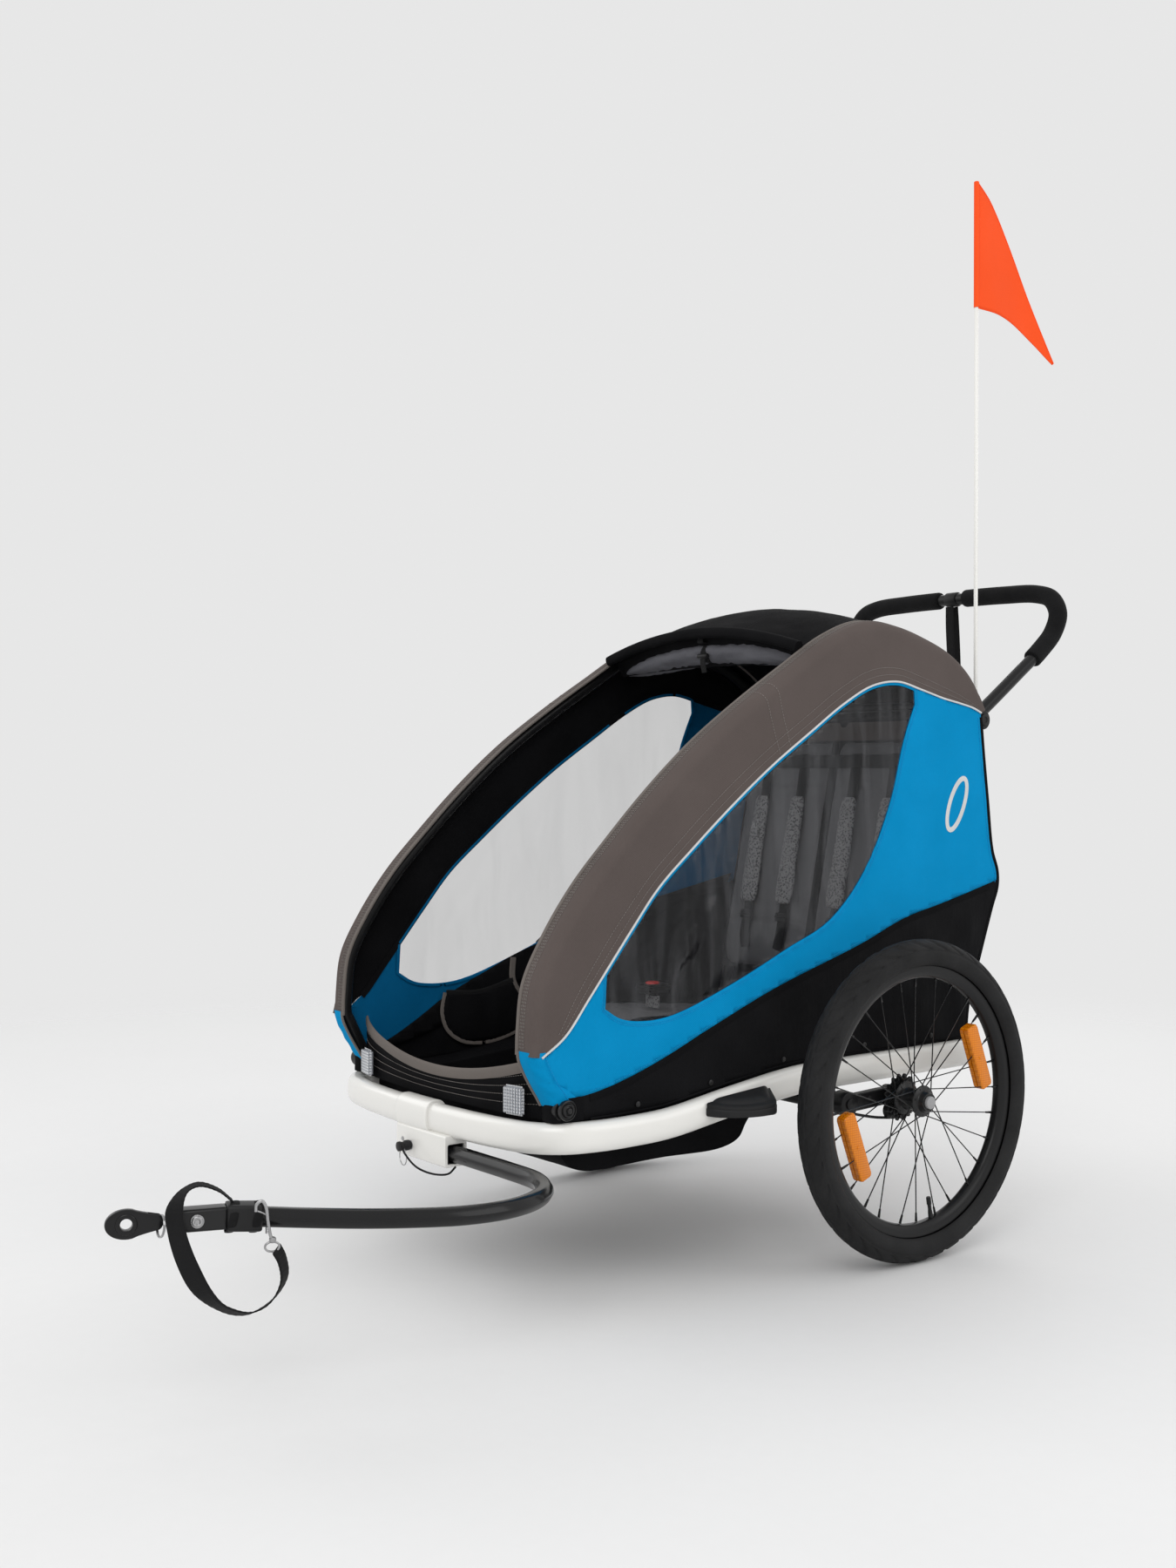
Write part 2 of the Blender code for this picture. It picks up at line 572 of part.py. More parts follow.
seat_outline = [(-0.258, 0.2900), (-0.262, 0.338), (-0.245, 0.354), (-0.19, 0.354), (-0.05, 0.343), (0.100, 0.328), (0.128, 0.322),
                (0.128, 0.302), (-0.05, 0.322), (-0.19, 0.333), (-0.236, 0.331), (-0.242, 0.290)]
seat = slab_yz(seat_outline, -0.235, 0.235)
mid_cut = box((-0.004, -0.28, 0.350), (0.004, -0.19, 0.37))
finish(combine(seat, [mid_cut], "DIFFERENCE"), "seat_cushion", GREY, "trailer")

for side, sx in (("left", 1.0), ("right", -1.0)):
    b = box((sx * 0.110 - 0.022, -0.140, 0.3760), (sx * 0.110 + 0.022, -0.090, 0.3915), 0.003)
    leg = box((sx * 0.110 - 0.0125, -0.118, 0.3492), (sx * 0.110 + 0.0125, -0.112, 0.3780))
    b = combine(b, [leg])
    b = combine(b, [cylinder((sx * 0.110, -0.115, 0.3840), (sx * 0.110, -0.115, 0.40), 0.0128, 18)], "DIFFERENCE")
    finish(b, "crotch_buckle_" + side, BLACK_PLASTIC, "trailer")
    b = cylinder((sx * 0.110, -0.115, 0.3875), (sx * 0.110, -0.115, 0.3945), 0.0122, 18)
    finish(b, "buckle_button_" + side, RED, "release_" + side)

# ---------------------------------------------------------------- the hoop
TOP = [(-0.655, 0.368), (-0.6535, 0.405), (-0.645, 0.465), (-0.612, 0.527), (-0.560, 0.597), (-0.495, 0.664), (-0.420, 0.735),
       (-0.335, 0.805), (-0.245, 0.866), (-0.150, 0.924), (-0.060, 0.976), (0.020, 1.003), (0.090, 0.998), (0.155, 0.982),
       (0.215, 0.960), (0.262, 0.929), (0.290, 0.896), (0.304, 0.866)]
LOW = [(-0.640, 0.366), (-0.600, 0.392), (-0.559, 0.440), (-0.520, 0.487), (-0.480, 0.535), (-0.430, 0.592), (-0.361, 0.650),
       (-0.285, 0.710), (-0.205, 0.768), (-0.120, 0.822), (-0.045, 0.868), (0.020, 0.898), (0.080, 0.906), (0.135, 0.895),
       (0.190, 0.882), (0.235, 0.874), (0.268, 0.867), (0.288, 0.8595)]
top_line = flat(TOP, 2)
low_line = flat(LOW, 2)


def inward(line, i, d):
    """Point d inside the arch's top line."""
    a = line[max(i - 1, 0)]
    b = line[min(i + 1, len(line) - 1)]
    t = Vector((b[0] - a[0], b[1] - a[1], 0)).normalized()
    return (line[i][0] + t.y * d, line[i][1] - t.x * d)


def sleeve(sx):
    rings = []
    for i, (tp, lw) in enumerate(zip(top_line, low_line)):
        ti = inward(top_line, i, SKIN)
        xo, xi, xr = sx * SLEEVE_X, sx * (SLEEVE_X - SKIN), sx * 0.2400
        rings.append([Vector((xr, tp[0], tp[1])), Vector((xo, tp[0], tp[1])), Vector((xo, lw[0], lw[1])),
                      Vector((xi, lw[0], lw[1])), Vector((xi, ti[0], ti[1])), Vector((xr, ti[0], ti[1]))])
    return loft(rings)


for side, sx in (("left", 1.0), ("right", -1.0)):
    finish(sleeve(sx), "sleeve_" + side, TAUPE, "hoop")

hoop_mid = [inward(top_line, i, 0.0165) for i in range(0, len(top_line) - 2, 2)]
foot = flat([(HOOP_PIVOT[0] - 0.003, HOOP_PIVOT[1] + 0.006), (-0.622, 0.334), hoop_mid[0]], 3)[:-1]
hoop_yz = foot + hoop_mid + [(0.2905, 0.8630)]


def hoop(sx):
    t = tube([Vector((sx * HOOP_X, y, z)) for y, z in hoop_yz], HOOP_R, (1, 0, 0), 8)
    knuckle = cylinder((sx * 0.2510, HOOP_PIVOT[0], HOOP_PIVOT[1]), (sx * 0.2800, HOOP_PIVOT[0], HOOP_PIVOT[1]), 0.0165, 16)
    return [t, knuckle]


CROWN = 0.036
HALF_ROOF = 0.2395


def roof_point(i, x, d):
    y, z = inward(top_line, i, d)
    return Vector((x, y, z + CROWN * (1 - (x / HALF_ROOF) ** 2)))


roof_i = [i for i, (y, z) in enumerate(top_line) if y > -0.115 and y < 0.2905 and i > 15]
xs = [HALF_ROOF * math.sin(math.pi / 2 * k / 4) for k in range(-4, 5)]
rings = []
for i in roof_i:
    rings.append([roof_point(i, x, 0.0) for x in xs] + [roof_point(i, x, SKIN) for x in xs[::-1]])
finish(loft(rings), "roof_panel", BLACK_FABRIC, "hoop")
i0 = roof_i[1]
j0 = min(range(len(hoop_yz)), key=lambda k: abs(hoop_yz[k][0] - top_line[i0][0]))
bow = [roof_point(i0, x, SKIN + 0.0090) - Vector((0, 0, 0.0015)) for x in [0.245 * math.sin(math.pi / 2 * k / 4) for k in range(-4, 5)]]
bow_end = Vector((HOOP_X, hoop_yz[j0][0], hoop_yz[j0][1]))
bow = [Vector((-bow_end.x, bow_end.y, bow_end.z))] + bow + [bow_end]
front_bow = tube(bow, 0.0080, (0, 1, 0), 8)
rear_bow = cylinder((-HOOP_X, 0.2825, 0.8740), (HOOP_X, 0.2825, 0.8740), 0.0080, 12)
parts = hoop(1.0) + hoop(-1.0)
finish(combine(parts[0], parts[1:] + [front_bow, rear_bow]), "hoop_frame", BLACK_METAL, "hoop")

roll_pts = [Vector((x, top_line[i0][0] - 0.008, top_line[i0][1] - 0.046 + 0.030 * (1 - (x / 0.24) ** 2))) for x in [0.225 * k / 6 for k in range(-6, 7)]]
roll = sweep(roll_pts, lambda u: oval(0.0215 - 0.006 * abs(2 * u - 1) ** 4, 0.030 - 0.008 * abs(2 * u - 1) ** 4, 12, 2.2), (0, 0, 1))
finish(roll, "rolled_cover", GREY, "hoop")

for side, sx in (("left", 1.0), ("right", -1.0)):
    h = combine(cylinder((sx * 0.2618, HANDLE_PIVOT[0], HANDLE_PIVOT[1]), (sx * 0.2755, HANDLE_PIVOT[0], HANDLE_PIVOT[1]), 0.0165, 18),
                [cylinder((sx * 0.2750, HANDLE_PIVOT[0], HANDLE_PIVOT[1]), (sx * 0.2790, HANDLE_PIVOT[0], HANDLE_PIVOT[1]), 0.0100, 14)])
    finish(h, "handle_hinge_" + side, BLACK_PLASTIC, "hoop")

arm = box((FLAG_X - 0.006, 0.2912, 0.8690), (FLAG_X + 0.006, 0.3400, 0.8800))
post = cylinder((FLAG_X, FLAG_Y, 0.8000), (FLAG_X, FLAG_Y, 0.8860), 0.0085, 16)
holder = combine(arm, [post])
holder = combine(holder, [cylinder((FLAG_X, FLAG_Y, 0.8050), (FLAG_X, FLAG_Y, 0.90), 0.0040, 12)], "DIFFERENCE")
finish(holder, "flag_holder", BLACK_PLASTIC, "hoop")

# ------------------------------------------------------------ the backrest
back_dir = Vector((0, BACK_TOP[0] - BACK_PIVOT[0], BACK_TOP[1] - BACK_PIVOT[1]))
BACK_LEN = back_dir.length
back_dir.normalize()
back_n = Vector((0, -back_dir.z, back_dir.y))       # towards the seat


def on_back(x, r, d=0.0):
    return Vector((x, BACK_PIVOT[0], BACK_PIVOT[1])) + back_dir * r + back_n * d


u_line = spline([on_back(BACK_X, 0.0), on_back(BACK_X, 0.15), on_back(BACK_X, 0.30), on_back(BACK_X, BACK_LEN - 0.06), on_back(BACK_X - 0.004, BACK_LEN - 0.026),
                 on_back(BACK_X - 0.026, BACK_LEN - 0.004), on_back(BACK_X - 0.06, BACK_LEN), on_back(0.0, BACK_LEN),
                 on_back(-BACK_X + 0.06, BACK_LEN), on_back(-BACK_X + 0.026, BACK_LEN - 0.004), on_back(-BACK_X + 0.004, BACK_LEN - 0.026),
                 on_back(-BACK_X, BACK_LEN - 0.06), on_back(-BACK_X, 0.30), on_back(-BACK_X, 0.15), on_back(-BACK_X, 0.0)], 2)
bf = sweep(u_line, circle(0.0105, 8), back_n)
low_bar = cylinder(on_back(-BACK_X, 0.0), on_back(BACK_X, 0.0), 0.0095, 12)
finish(combine(bf, [low_bar]), "back_frame", BLACK_METAL, "backrest")

sb = []
for x in (-0.220, 0.220):
    sb.append([on_back(x, r, d) for r, d in ((0.055, 0.0125), (0.055, 0.020), (0.105, 0.038), (0.470, 0.036), (0.492, 0.030), (0.500, 0.0125))])
finish(loft(sb), "seat_back", GREY, "backrest")

straps = []
for cx in (0.110, -0.110):
    for dx in (0.046, -0.046):
        x = cx + dx
        out = [(0.012, 0.120), (0.012, 0.168), (0.024, 0.182), (0.024, 0.385), (0.012, 0.400), (0.012, 0.462)]
        pts = [(w, r) for w, r in out] + [(-w, r) for w, r in out[::-1]]
        straps.append(loft([[on_back(x + w, r, d) for w, r in pts] for d in (0.0412, 0.0500)]))
yoke = [(-0.170, 0.436), (0.170, 0.436), (0.170, 0.460), (-0.170, 0.460)]
straps.append(loft([[on_back(x, r, d) for x, r in yoke] for d in (0.0409, 0.0440)]))
finish(combine(straps[0], straps[1:]), "harness", BLACK_FABRIC, "backrest")

# ------------------------------------------------- soft side and rear skins
def side_outline():
    upper = [(p[0] + 0.0003, p[1] - 0.0006) for p in low_line[2:]]
    rear = flat([(0.2890, 0.8520), (0.2950, 0.798), (0.3070, 0.709), (0.3190, 0.625), (0.3330, 0.588), (0.3330, 0.562),
                 (0.3190, 0.529), (0.2850, 0.442), (0.2580, 0.370), (0.2500, 0.3105)], 1)
    lower = flat([(0.10, 0.3100), (-0.10, 0.3100), (-0.17, 0.3085), (-0.30, 0.2930), (-0.42, 0.2755), (-0.49, 0.2725), (-0.555, 0.2722)], 1)
    front = [(-0.5700, 0.2722), (-0.5775, 0.3000), (-0.6000, 0.3180), (-0.6270, 0.3300), (-0.6400, 0.3600)]
    return upper + rear + lower + front


def window_outline(d):
    """Window edge, shrunk by d."""
    low = flat([(-0.528, 0.424), (-0.500, 0.408), (-0.458, 0.401), (-0.400, 0.405), (-0.280, 0.443), (-0.170, 0.487), (-0.075, 0.527),
                (0.004, 0.603), (0.063, 0.711), (0.095, 0.811), (0.128, 0.884)], 2)
    up = []
    n = len(low_line)
    for i in range(n):
        a = low_line[max(i - 1, 0)]
        b = low_line[min(i + 1, n - 1)]
        t = Vector((b[0] - a[0], b[1] - a[1], 0)).normalized()
        q = (low_line[i][0] + t.y * 0.006, low_line[i][1] - t.x * 0.006)
        if -0.532 < q[0] < 0.122:
            up.append(q)
    loop = [Vector((a, b, 0)) for a, b in up[1:] + low[::-1][1:]]
    c = sum(loop, Vector((0, 0, 0))) / len(loop)
    out = []
    m = len(loop)
    for i, p in enumerate(loop):
        t = (loop[(i + 1) % m] - loop[i - 1]).normalized()
        nrm = Vector((t.y, -t.x, 0))
        out.append((p.x + nrm.x * d, p.y + nrm.y * d))
    return out


def side_panel(sx):
    s = slab_yz(side_outline(), sx * (SLEEVE_X - SKIN), sx * SLEEVE_X)
    cut = slab_yz(window_outline(0.0), sx * 0.26, sx * 0.30)
    return combine(s, [cut], "DIFFERENCE")


for side, sx in (("left", 1.0), ("right", -1.0)):
    finish(side_panel(sx), "side_panel_" + side, BLUE, "trailer")
    finish(slab_yz(window_outline(0.0006), sx * (SLEEVE_X - 0.0020), sx * (SLEEVE_X - 0.0005)), "window_" + side, CLEAR, "trailer")

bag_out = [(0.1800, 0.3200), (0.2500, 0.3200), (0.2580, 0.3700), (0.2850, 0.4420), (0.3170, 0.5290), (0.3330, 0.5660), (0.3330, 0.5880),
           (0.3170, 0.6190), (0.3050, 0.7090), (0.2940, 0.7980), (0.2900, 0.8180), (0.2770, 0.8180)]
bag = slab_yz(bag_out, -0.2320, 0.2320)
bag_in = [(0.1836, 0.3230), (0.2475, 0.3230), (0.2552, 0.3710), (0.2823, 0.4432), (0.3141, 0.5296), (0.3300, 0.5667), (0.3300, 0.5873),
          (0.3142, 0.6183), (0.3020, 0.7087), (0.2912, 0.7970), (0.2874, 0.8180), (0.2870, 0.8300), (0.2812, 0.8300), (0.2800, 0.8180)]
bag = combine(bag, [slab_yz(bag_in, -0.2290, 0.2290)], "DIFFERENCE")
finish(bag, "luggage_bag", BLACK_FABRIC, "trailer")

for side, sx in (("left", 1.0), ("right", -1.0)):
    g = slab_xy([(sx * x, y) for x, y in ((0.3060, -0.362), (0.330, -0.348), (0.352, -0.318), (0.3580, -0.285), (0.3560, -0.268), (0.3060, -0.232))], 0.2560, 0.2840)
    for v in g.data.vertices:
        if v.co.z > 0.27:
            v.co.z -= (abs(v.co.x) - 0.306) * 0.16 + (-0.232 - v.co.y) * 0.06
    finish(g, "wheel_guard_" + side, BLACK_PLASTIC, "trailer")

# parking brake pedal
pedal = cylinder((-0.0450, 0.262, 0.281), (0.0450, 0.262, 0.281), 0.0085, 14)
pad = box((-0.034, 0.262, 0.2765), (0.034, 0.332, 0.2855), 0.0015)
finish(combine(pedal, [pad]), "brake_pedal", RED, "brake_pedal")

# ------------------------------------------------------------------ handle
side_pts = [(HANDLE_X, HANDLE_PIVOT[0], HANDLE_PIVOT[1]), (HANDLE_X, 0.355, 0.885), (HANDLE_X, 0.420, 0.930), (HANDLE_X, 0.485, 0.976),
            (HANDLE_X, 0.522, 1.010), (HANDLE_X - 0.003, 0.540, 1.045), (HANDLE_X - 0.022, 0.5455, 1.073), (HANDLE_X - 0.055, 0.5455, 1.084),
            (0.120, 0.5455, 1.088), (0.0, 0.5455, 1.089)]
handle_line = spline(side_pts + [(-x, y, z) for x, y, z in side_pts[-2::-1]], 2)
finish(sweep(handle_line, circle(HANDLE_R, 8), (0.0, -0.7, 0.7)), "handle_tube", BLACK_METAL, "handle")


def grip(sx):
    line = [p for p in handle_line if p.x * sx > 0.030 and p.z > 0.957]
    return hollow_tube(line, GRIP_R, HANDLE_R + 0.0014, (0.0, -0.7, 0.7), 8)


for side, sx in (("left", 1.0), ("right", -1.0)):
    finish(grip(sx), "handle_grip_" + side, FOAM, "handle")
wrist_pts = [(0, 0.5395, 1.0755), (0, 0.5380, 1.040), (0, 0.5380, 0.960), (0, 0.5385, 0.880), (0, 0.5395, 0.800), (0, 0.5420, 0.782),
             (0, 0.5460, 0.778), (0, 0.5500, 0.782), (0, 0.5525, 0.800), (0, 0.5535, 0.880), (0, 0.5540, 0.960), (0, 0.5540, 1.040), (0, 0.5525, 1.0755)]
line = spline(wrist_pts, 2)
T = tangents(line)
rings = []
for i, p in enumerate(line):
    n = Vector((1, 0, 0)).cross(T[i]).normalized()
    rings.append([p + Vector((0.010, 0, 0)) + n * 0.0010, p - Vector((0.010, 0, 0)) + n * 0.0010,
                  p - Vector((0.010, 0, 0)) - n * 0.0010, p + Vector((0.010, 0, 0)) - n * 0.0010])
finish(loft(rings), "wrist_strap", BLACK_FABRIC, "handle")

# -------------------------------------------------------------------- flag
finish(cylinder((FLAG_X, FLAG_Y, 0.8060), (FLAG_X, FLAG_Y, FLAG_TOP), 0.0035, 10), "flag_pole", WHITE, "flag")
lead = flat([(FLAG_Y + 0.0042, FLAG_TOP - 0.002), (0.390, 1.756), (0.440, 1.692), (0.490, 1.612), (0.525, 1.556), (0.558, 1.502)], 3)
trail = flat([(0.556, 1.500), (0.510, 1.532), (0.460, 1.556), (0.410, 1.567), (FLAG_Y + 0.0042, 1.570)], 3)
finish(slab_yz(lead + trail, FLAG_X - 0.0007, FLAG_X + 0.0007), "flag", ORANGE, "flag")


# ------------------------------------------------------------------ wheels
def gear(sx, x0, x1, teeth, r0, r1):
    pts = []
    for k in range(teeth):
        for f, r in ((0.00, r0), (0.25, r1), (0.50, r1), (0.75, r0)):
            a = 2 * math.pi * (k + f) / teeth
            pts.append((r * math.cos(a), AXLE_Z + r * math.sin(a)))
    return slab_yz(pts, sx * x0, sx * x1)


def tyre(sx):
    prof = []
    cr = WHEEL_R - TYRE_HALF
    for k in range(9):
        a = math.radians(-52 + 284 * k / 8)
        prof.append((WHEEL_X + TYRE_HALF * math.cos(a), cr + TYRE_HALF * math.sin(a)))
    for k in range(4):
        a = math.radians(226 - 272 * k / 3)
        prof.append((WHEEL_X + (TYRE_HALF - 0.005) * math.cos(a), cr + 0.0010 + (TYRE_HALF - 0.005) * math.sin(a)))
    prof = [(x, max(r, RIM_FLANGE_R + 0.0004)) for x, r in prof]
    return lathe_x(prof, (0, AXLE_Z), sx, 32)


def rim(sx):
    half_out = [(0.0120, RIM_FLANGE_R), (0.0120, 0.1985), (0.0075, 0.1905)]
    half_in = [(0.0098, RIM_FLANGE_R), (0.0070, 0.1945)]
    prof = [(WHEEL_X + x, r) for x, r in half_out] + [(WHEEL_X - x, r) for x, r in half_out[::-1]]
    prof += [(WHEEL_X - x, r) for x, r in half_in] + [(WHEEL_X + x, r) for x, r in half_in[::-1]]
    return lathe_x(prof, (0, AXLE_Z), sx, 32)


def hub(sx):
    prof = [(0.3545, 0.0), (0.3545, 0.0150), (0.3658, 0.0150), (0.3658, 0.0130), (0.4065, 0.0130), (0.4065, 0.0145), (HUB_END_X, 0.0140),
            (HUB_END_X, 0.0105), (0.4075, 0.0105), (0.4075, 0.0)]
    h = lathe_x(prof, (0, AXLE_Z), sx, 12)
    return combine(h, [gear(sx, 0.3560, 0.3620, 18, 0.0310, 0.0370)])


def spokes(sx):
    """Hub shell with both flanges, the spokes laced to it, and the two reflectors clipped on them."""
    prof = [(0.3665, 0.0140), (0.3665, 0.0265), (0.3695, 0.0265), (0.3720, 0.0165), (0.3980, 0.0165), (0.4005, 0.0240), (0.4035, 0.0240),
            (0.4058, 0.0140)]
    shell = lathe_x(prof, (0, AXLE_Z), sx, 12)
    out = []
    n = SPOKES
    for k in range(n):
        outer = k % 2 == 0
        lead = (k // 2) % 2 == 0
        x_hub = (0.4020 if outer else 0.3680) + (0.0012 if lead else -0.0012)
        x_rim = WHEEL_X + (0.0022 if outer else -0.0022) + (0.0012 if lead else -0.0012)
        a_rim = 2 * math.pi * k / n
        a_hub = a_rim + math.radians(62 if lead else -62)
        r_hub, r_rim = 0.0205 if outer else 0.0225, 0.1886
        p0 = Vector((sx * x_hub, r_hub * math.cos(a_hub), AXLE_Z + r_hub * math.sin(a_hub)))
        p1 = Vector((sx * x_rim, r_rim * math.cos(a_rim), AXLE_Z + r_rim * math.sin(a_rim)))
        out.append(cylinder(p0, p1, 0.0010, 4))
    for a in (math.radians(201), math.radians(21)):
        er = Vector((0, math.cos(a), math.sin(a)))
        et = Vector((0, -math.sin(a), math.cos(a)))
        c = Vector((0, 0, AXLE_Z)) + er * 0.150
        rings = []
        for x in (0.3925, 0.4000):
            k = 0.0 if x < 0.396 else 0.0015
            rings.append([Vector((sx * x, 0, 0)) + c + er * (u * (0.0125 - k)) + et * (v * (0.054 - k))
                          for u, v in ((-0.6, -1), (0.6, -1), (1, -0.9), (1, 0.9), (0.6, 1), (-0.6, 1), (-1, 0.9), (-1, -0.9))])
        out.append(loft(rings))
    return combine(shell, out)


def suspension(sx):
    py, pz = ARM_PIVOT
    a = cylinder((sx * 0.3190, py, pz), (sx * 0.3440, py, pz), 0.0190, 18)
    link = sweep([Vector((sx * 0.3330, py, pz)), Vector((sx * 0.3330, 0, AXLE_Z))],
                 [(0.0130, 0.0075), (-0.0130, 0.0075), (-0.0130, -0.0075), (0.0130, -0.0075)], (0, 0, 1))
    carrier = cylinder((sx * 0.3240, 0, AXLE_Z), (sx * 0.3500, 0, AXLE_Z), 0.0160, 18)
    lobe = cylinder((sx * 0.3380, -0.008, AXLE_Z - 0.022), (sx * 0.3500, -0.008, AXLE_Z - 0.022), 0.0130, 12)
    stub = cylinder((sx * 0.3490, 0, AXLE_Z), (sx * 0.3540, 0, AXLE_Z), 0.0080, 14)
    return combine(a, [link, carrier, lobe, stub])


for side, sx in (("left", 1.0), ("right", -1.0)):
    w = "wheel_" + side
    finish(tyre(sx), "tyre_" + side, RUBBER, w)
    finish(rim(sx), "rim_" + side, BLACK_METAL, w)
    finish(hub(sx), "hub_" + side, BLACK_PLASTIC, w)
    finish(spokes(sx), "spokes_" + side, BLACK_METAL, w)
    finish(suspension(sx), "suspension_arm_" + side, BLACK_METAL, "arm_" + side)
    finish(cylinder((sx * 0.4118, 0, AXLE_Z), (sx * BUTTON_END_X, 0, AXLE_Z), 0.0100, 18), "hub_button_" + side, GREY_PLASTIC, "button_" + side)
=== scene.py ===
"""Looks of the child bicycle trailer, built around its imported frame."""

import math
import random

import bmesh
import bpy
from mathutils import Matrix, Vector, noise

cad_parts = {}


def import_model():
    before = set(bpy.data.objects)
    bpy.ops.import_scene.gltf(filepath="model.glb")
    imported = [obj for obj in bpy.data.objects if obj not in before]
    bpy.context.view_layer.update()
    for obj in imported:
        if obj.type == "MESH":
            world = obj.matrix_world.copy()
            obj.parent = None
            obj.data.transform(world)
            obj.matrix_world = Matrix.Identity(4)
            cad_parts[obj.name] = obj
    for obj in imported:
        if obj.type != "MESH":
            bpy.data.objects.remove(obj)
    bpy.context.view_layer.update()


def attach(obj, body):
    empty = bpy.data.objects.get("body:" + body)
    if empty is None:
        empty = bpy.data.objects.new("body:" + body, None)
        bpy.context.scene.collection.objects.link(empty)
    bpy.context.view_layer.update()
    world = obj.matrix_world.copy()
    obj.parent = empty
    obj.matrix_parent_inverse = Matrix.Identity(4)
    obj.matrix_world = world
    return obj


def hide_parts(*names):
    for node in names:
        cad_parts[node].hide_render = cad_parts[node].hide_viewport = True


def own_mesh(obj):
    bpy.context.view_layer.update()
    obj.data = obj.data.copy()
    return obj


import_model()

D = 0.3496                     # axle line to origin, along Y
GAP = 0.0004
WHEEL_X, WHEEL_R, TYRE_HALF, RIM_FLANGE_R = 0.390, 0.250, 0.0235, 0.2095
HUB_END_X, BUTTON_END_X, SPOKES = 0.4155, 0.4200, 28
RAIL_X, RAIL_H, RAIL_W = 0.290, 0.022, 0.015
RAIL_Z_REAR, RAIL_Z_FRONT, RAIL_REAR_Y, FRONT_Y = 0.287, 0.249, 0.262, -0.660
HOOP_X, HOOP_R, HOOP_PIVOT = 0.262, 0.011, (-0.600, 0.290)
SKIN, SLEEVE_X = 0.0025, 0.279
BACK_PIVOT, BACK_TOP, BACK_X = (0.160, 0.330), (0.268, 0.856), 0.2285
HANDLE_PIVOT, HANDLE_X, HANDLE_R, GRIP_R = (0.300, 0.848), 0.250, 0.011, 0.0165
ARM_PIVOT, AXLE_Z = (-0.100, 0.248), 0.250
EYE = Vector((0.273, -1.237, 0.234))
TOW_DIR = Vector((-0.34, -0.94, 0.0)).normalized()
TOW_SIDE = Vector((0.94, -0.34, 0.0)).normalized()
BAR_R, BRACKET_X0, BRACKET_X1, BAR_Z, PIN_X = 0.0135, -0.043, 0.098, 0.2045, 0.0
FLAG_X, FLAG_Y, FLAG_TOP = 0.220, 0.345, 1.790


# ------------------------------------------------------------ camera, light
cam = bpy.data.cameras.new("camera")
cam_ob = bpy.data.objects.new("camera", cam)
bpy.context.scene.collection.objects.link(cam_ob)
cam.sensor_fit = "VERTICAL"
cam.sensor_width = 27.0
cam.sensor_height = 36.0
cam.lens = 39.49
cam.clip_end = 100.0
cam_ob.location = (2.181, -1.6894, 0.7644)
cam_ob.rotation_euler = Vector((-0.7894, 0.6138, -0.0089)).to_track_quat("-Z", "Y").to_euler()
bpy.context.scene.camera = cam_ob


def area(name, loc, target, size, power, shape="RECTANGLE", size_y=None):
    l = bpy.data.lights.new(name, "AREA")
    l.energy = power
    l.shape = shape
    l.size = size
    if size_y:
        l.size_y = size_y
    o = bpy.data.objects.new(name, l)
    o.location = loc
    o.rotation_euler = (Vector(target) - Vector(loc)).to_track_quat("-Z", "Y").to_euler()
    bpy.context.scene.collection.objects.link(o)
    return o


area("key", (2.6, -2.6, 3.2), (0, 0, 0.5), 2.4, 46, size_y=2.4)
area("fill", (3.4, 1.6, 2.2), (0, 0, 0.5), 2.2, 20, size_y=2.2)
area("left", (-2.8, -1.8, 2.4), (0, 0, 0.5), 2.4, 22, size_y=2.4)
area("back", (-1.2, 3.0, 2.6), (0, 0.2, 0.6), 2.0, 22, size_y=2.0)

world = bpy.data.worlds.new("world")
bpy.context.scene.world = world
world.use_nodes = True
world.node_tree.nodes["Background"].inputs[0].default_value = (1.0, 1.0, 1.0, 1.0)
world.node_tree.nodes["Background"].inputs[1].default_value = 0.80
bpy.context.scene.view_settings.view_transform = "Standard"


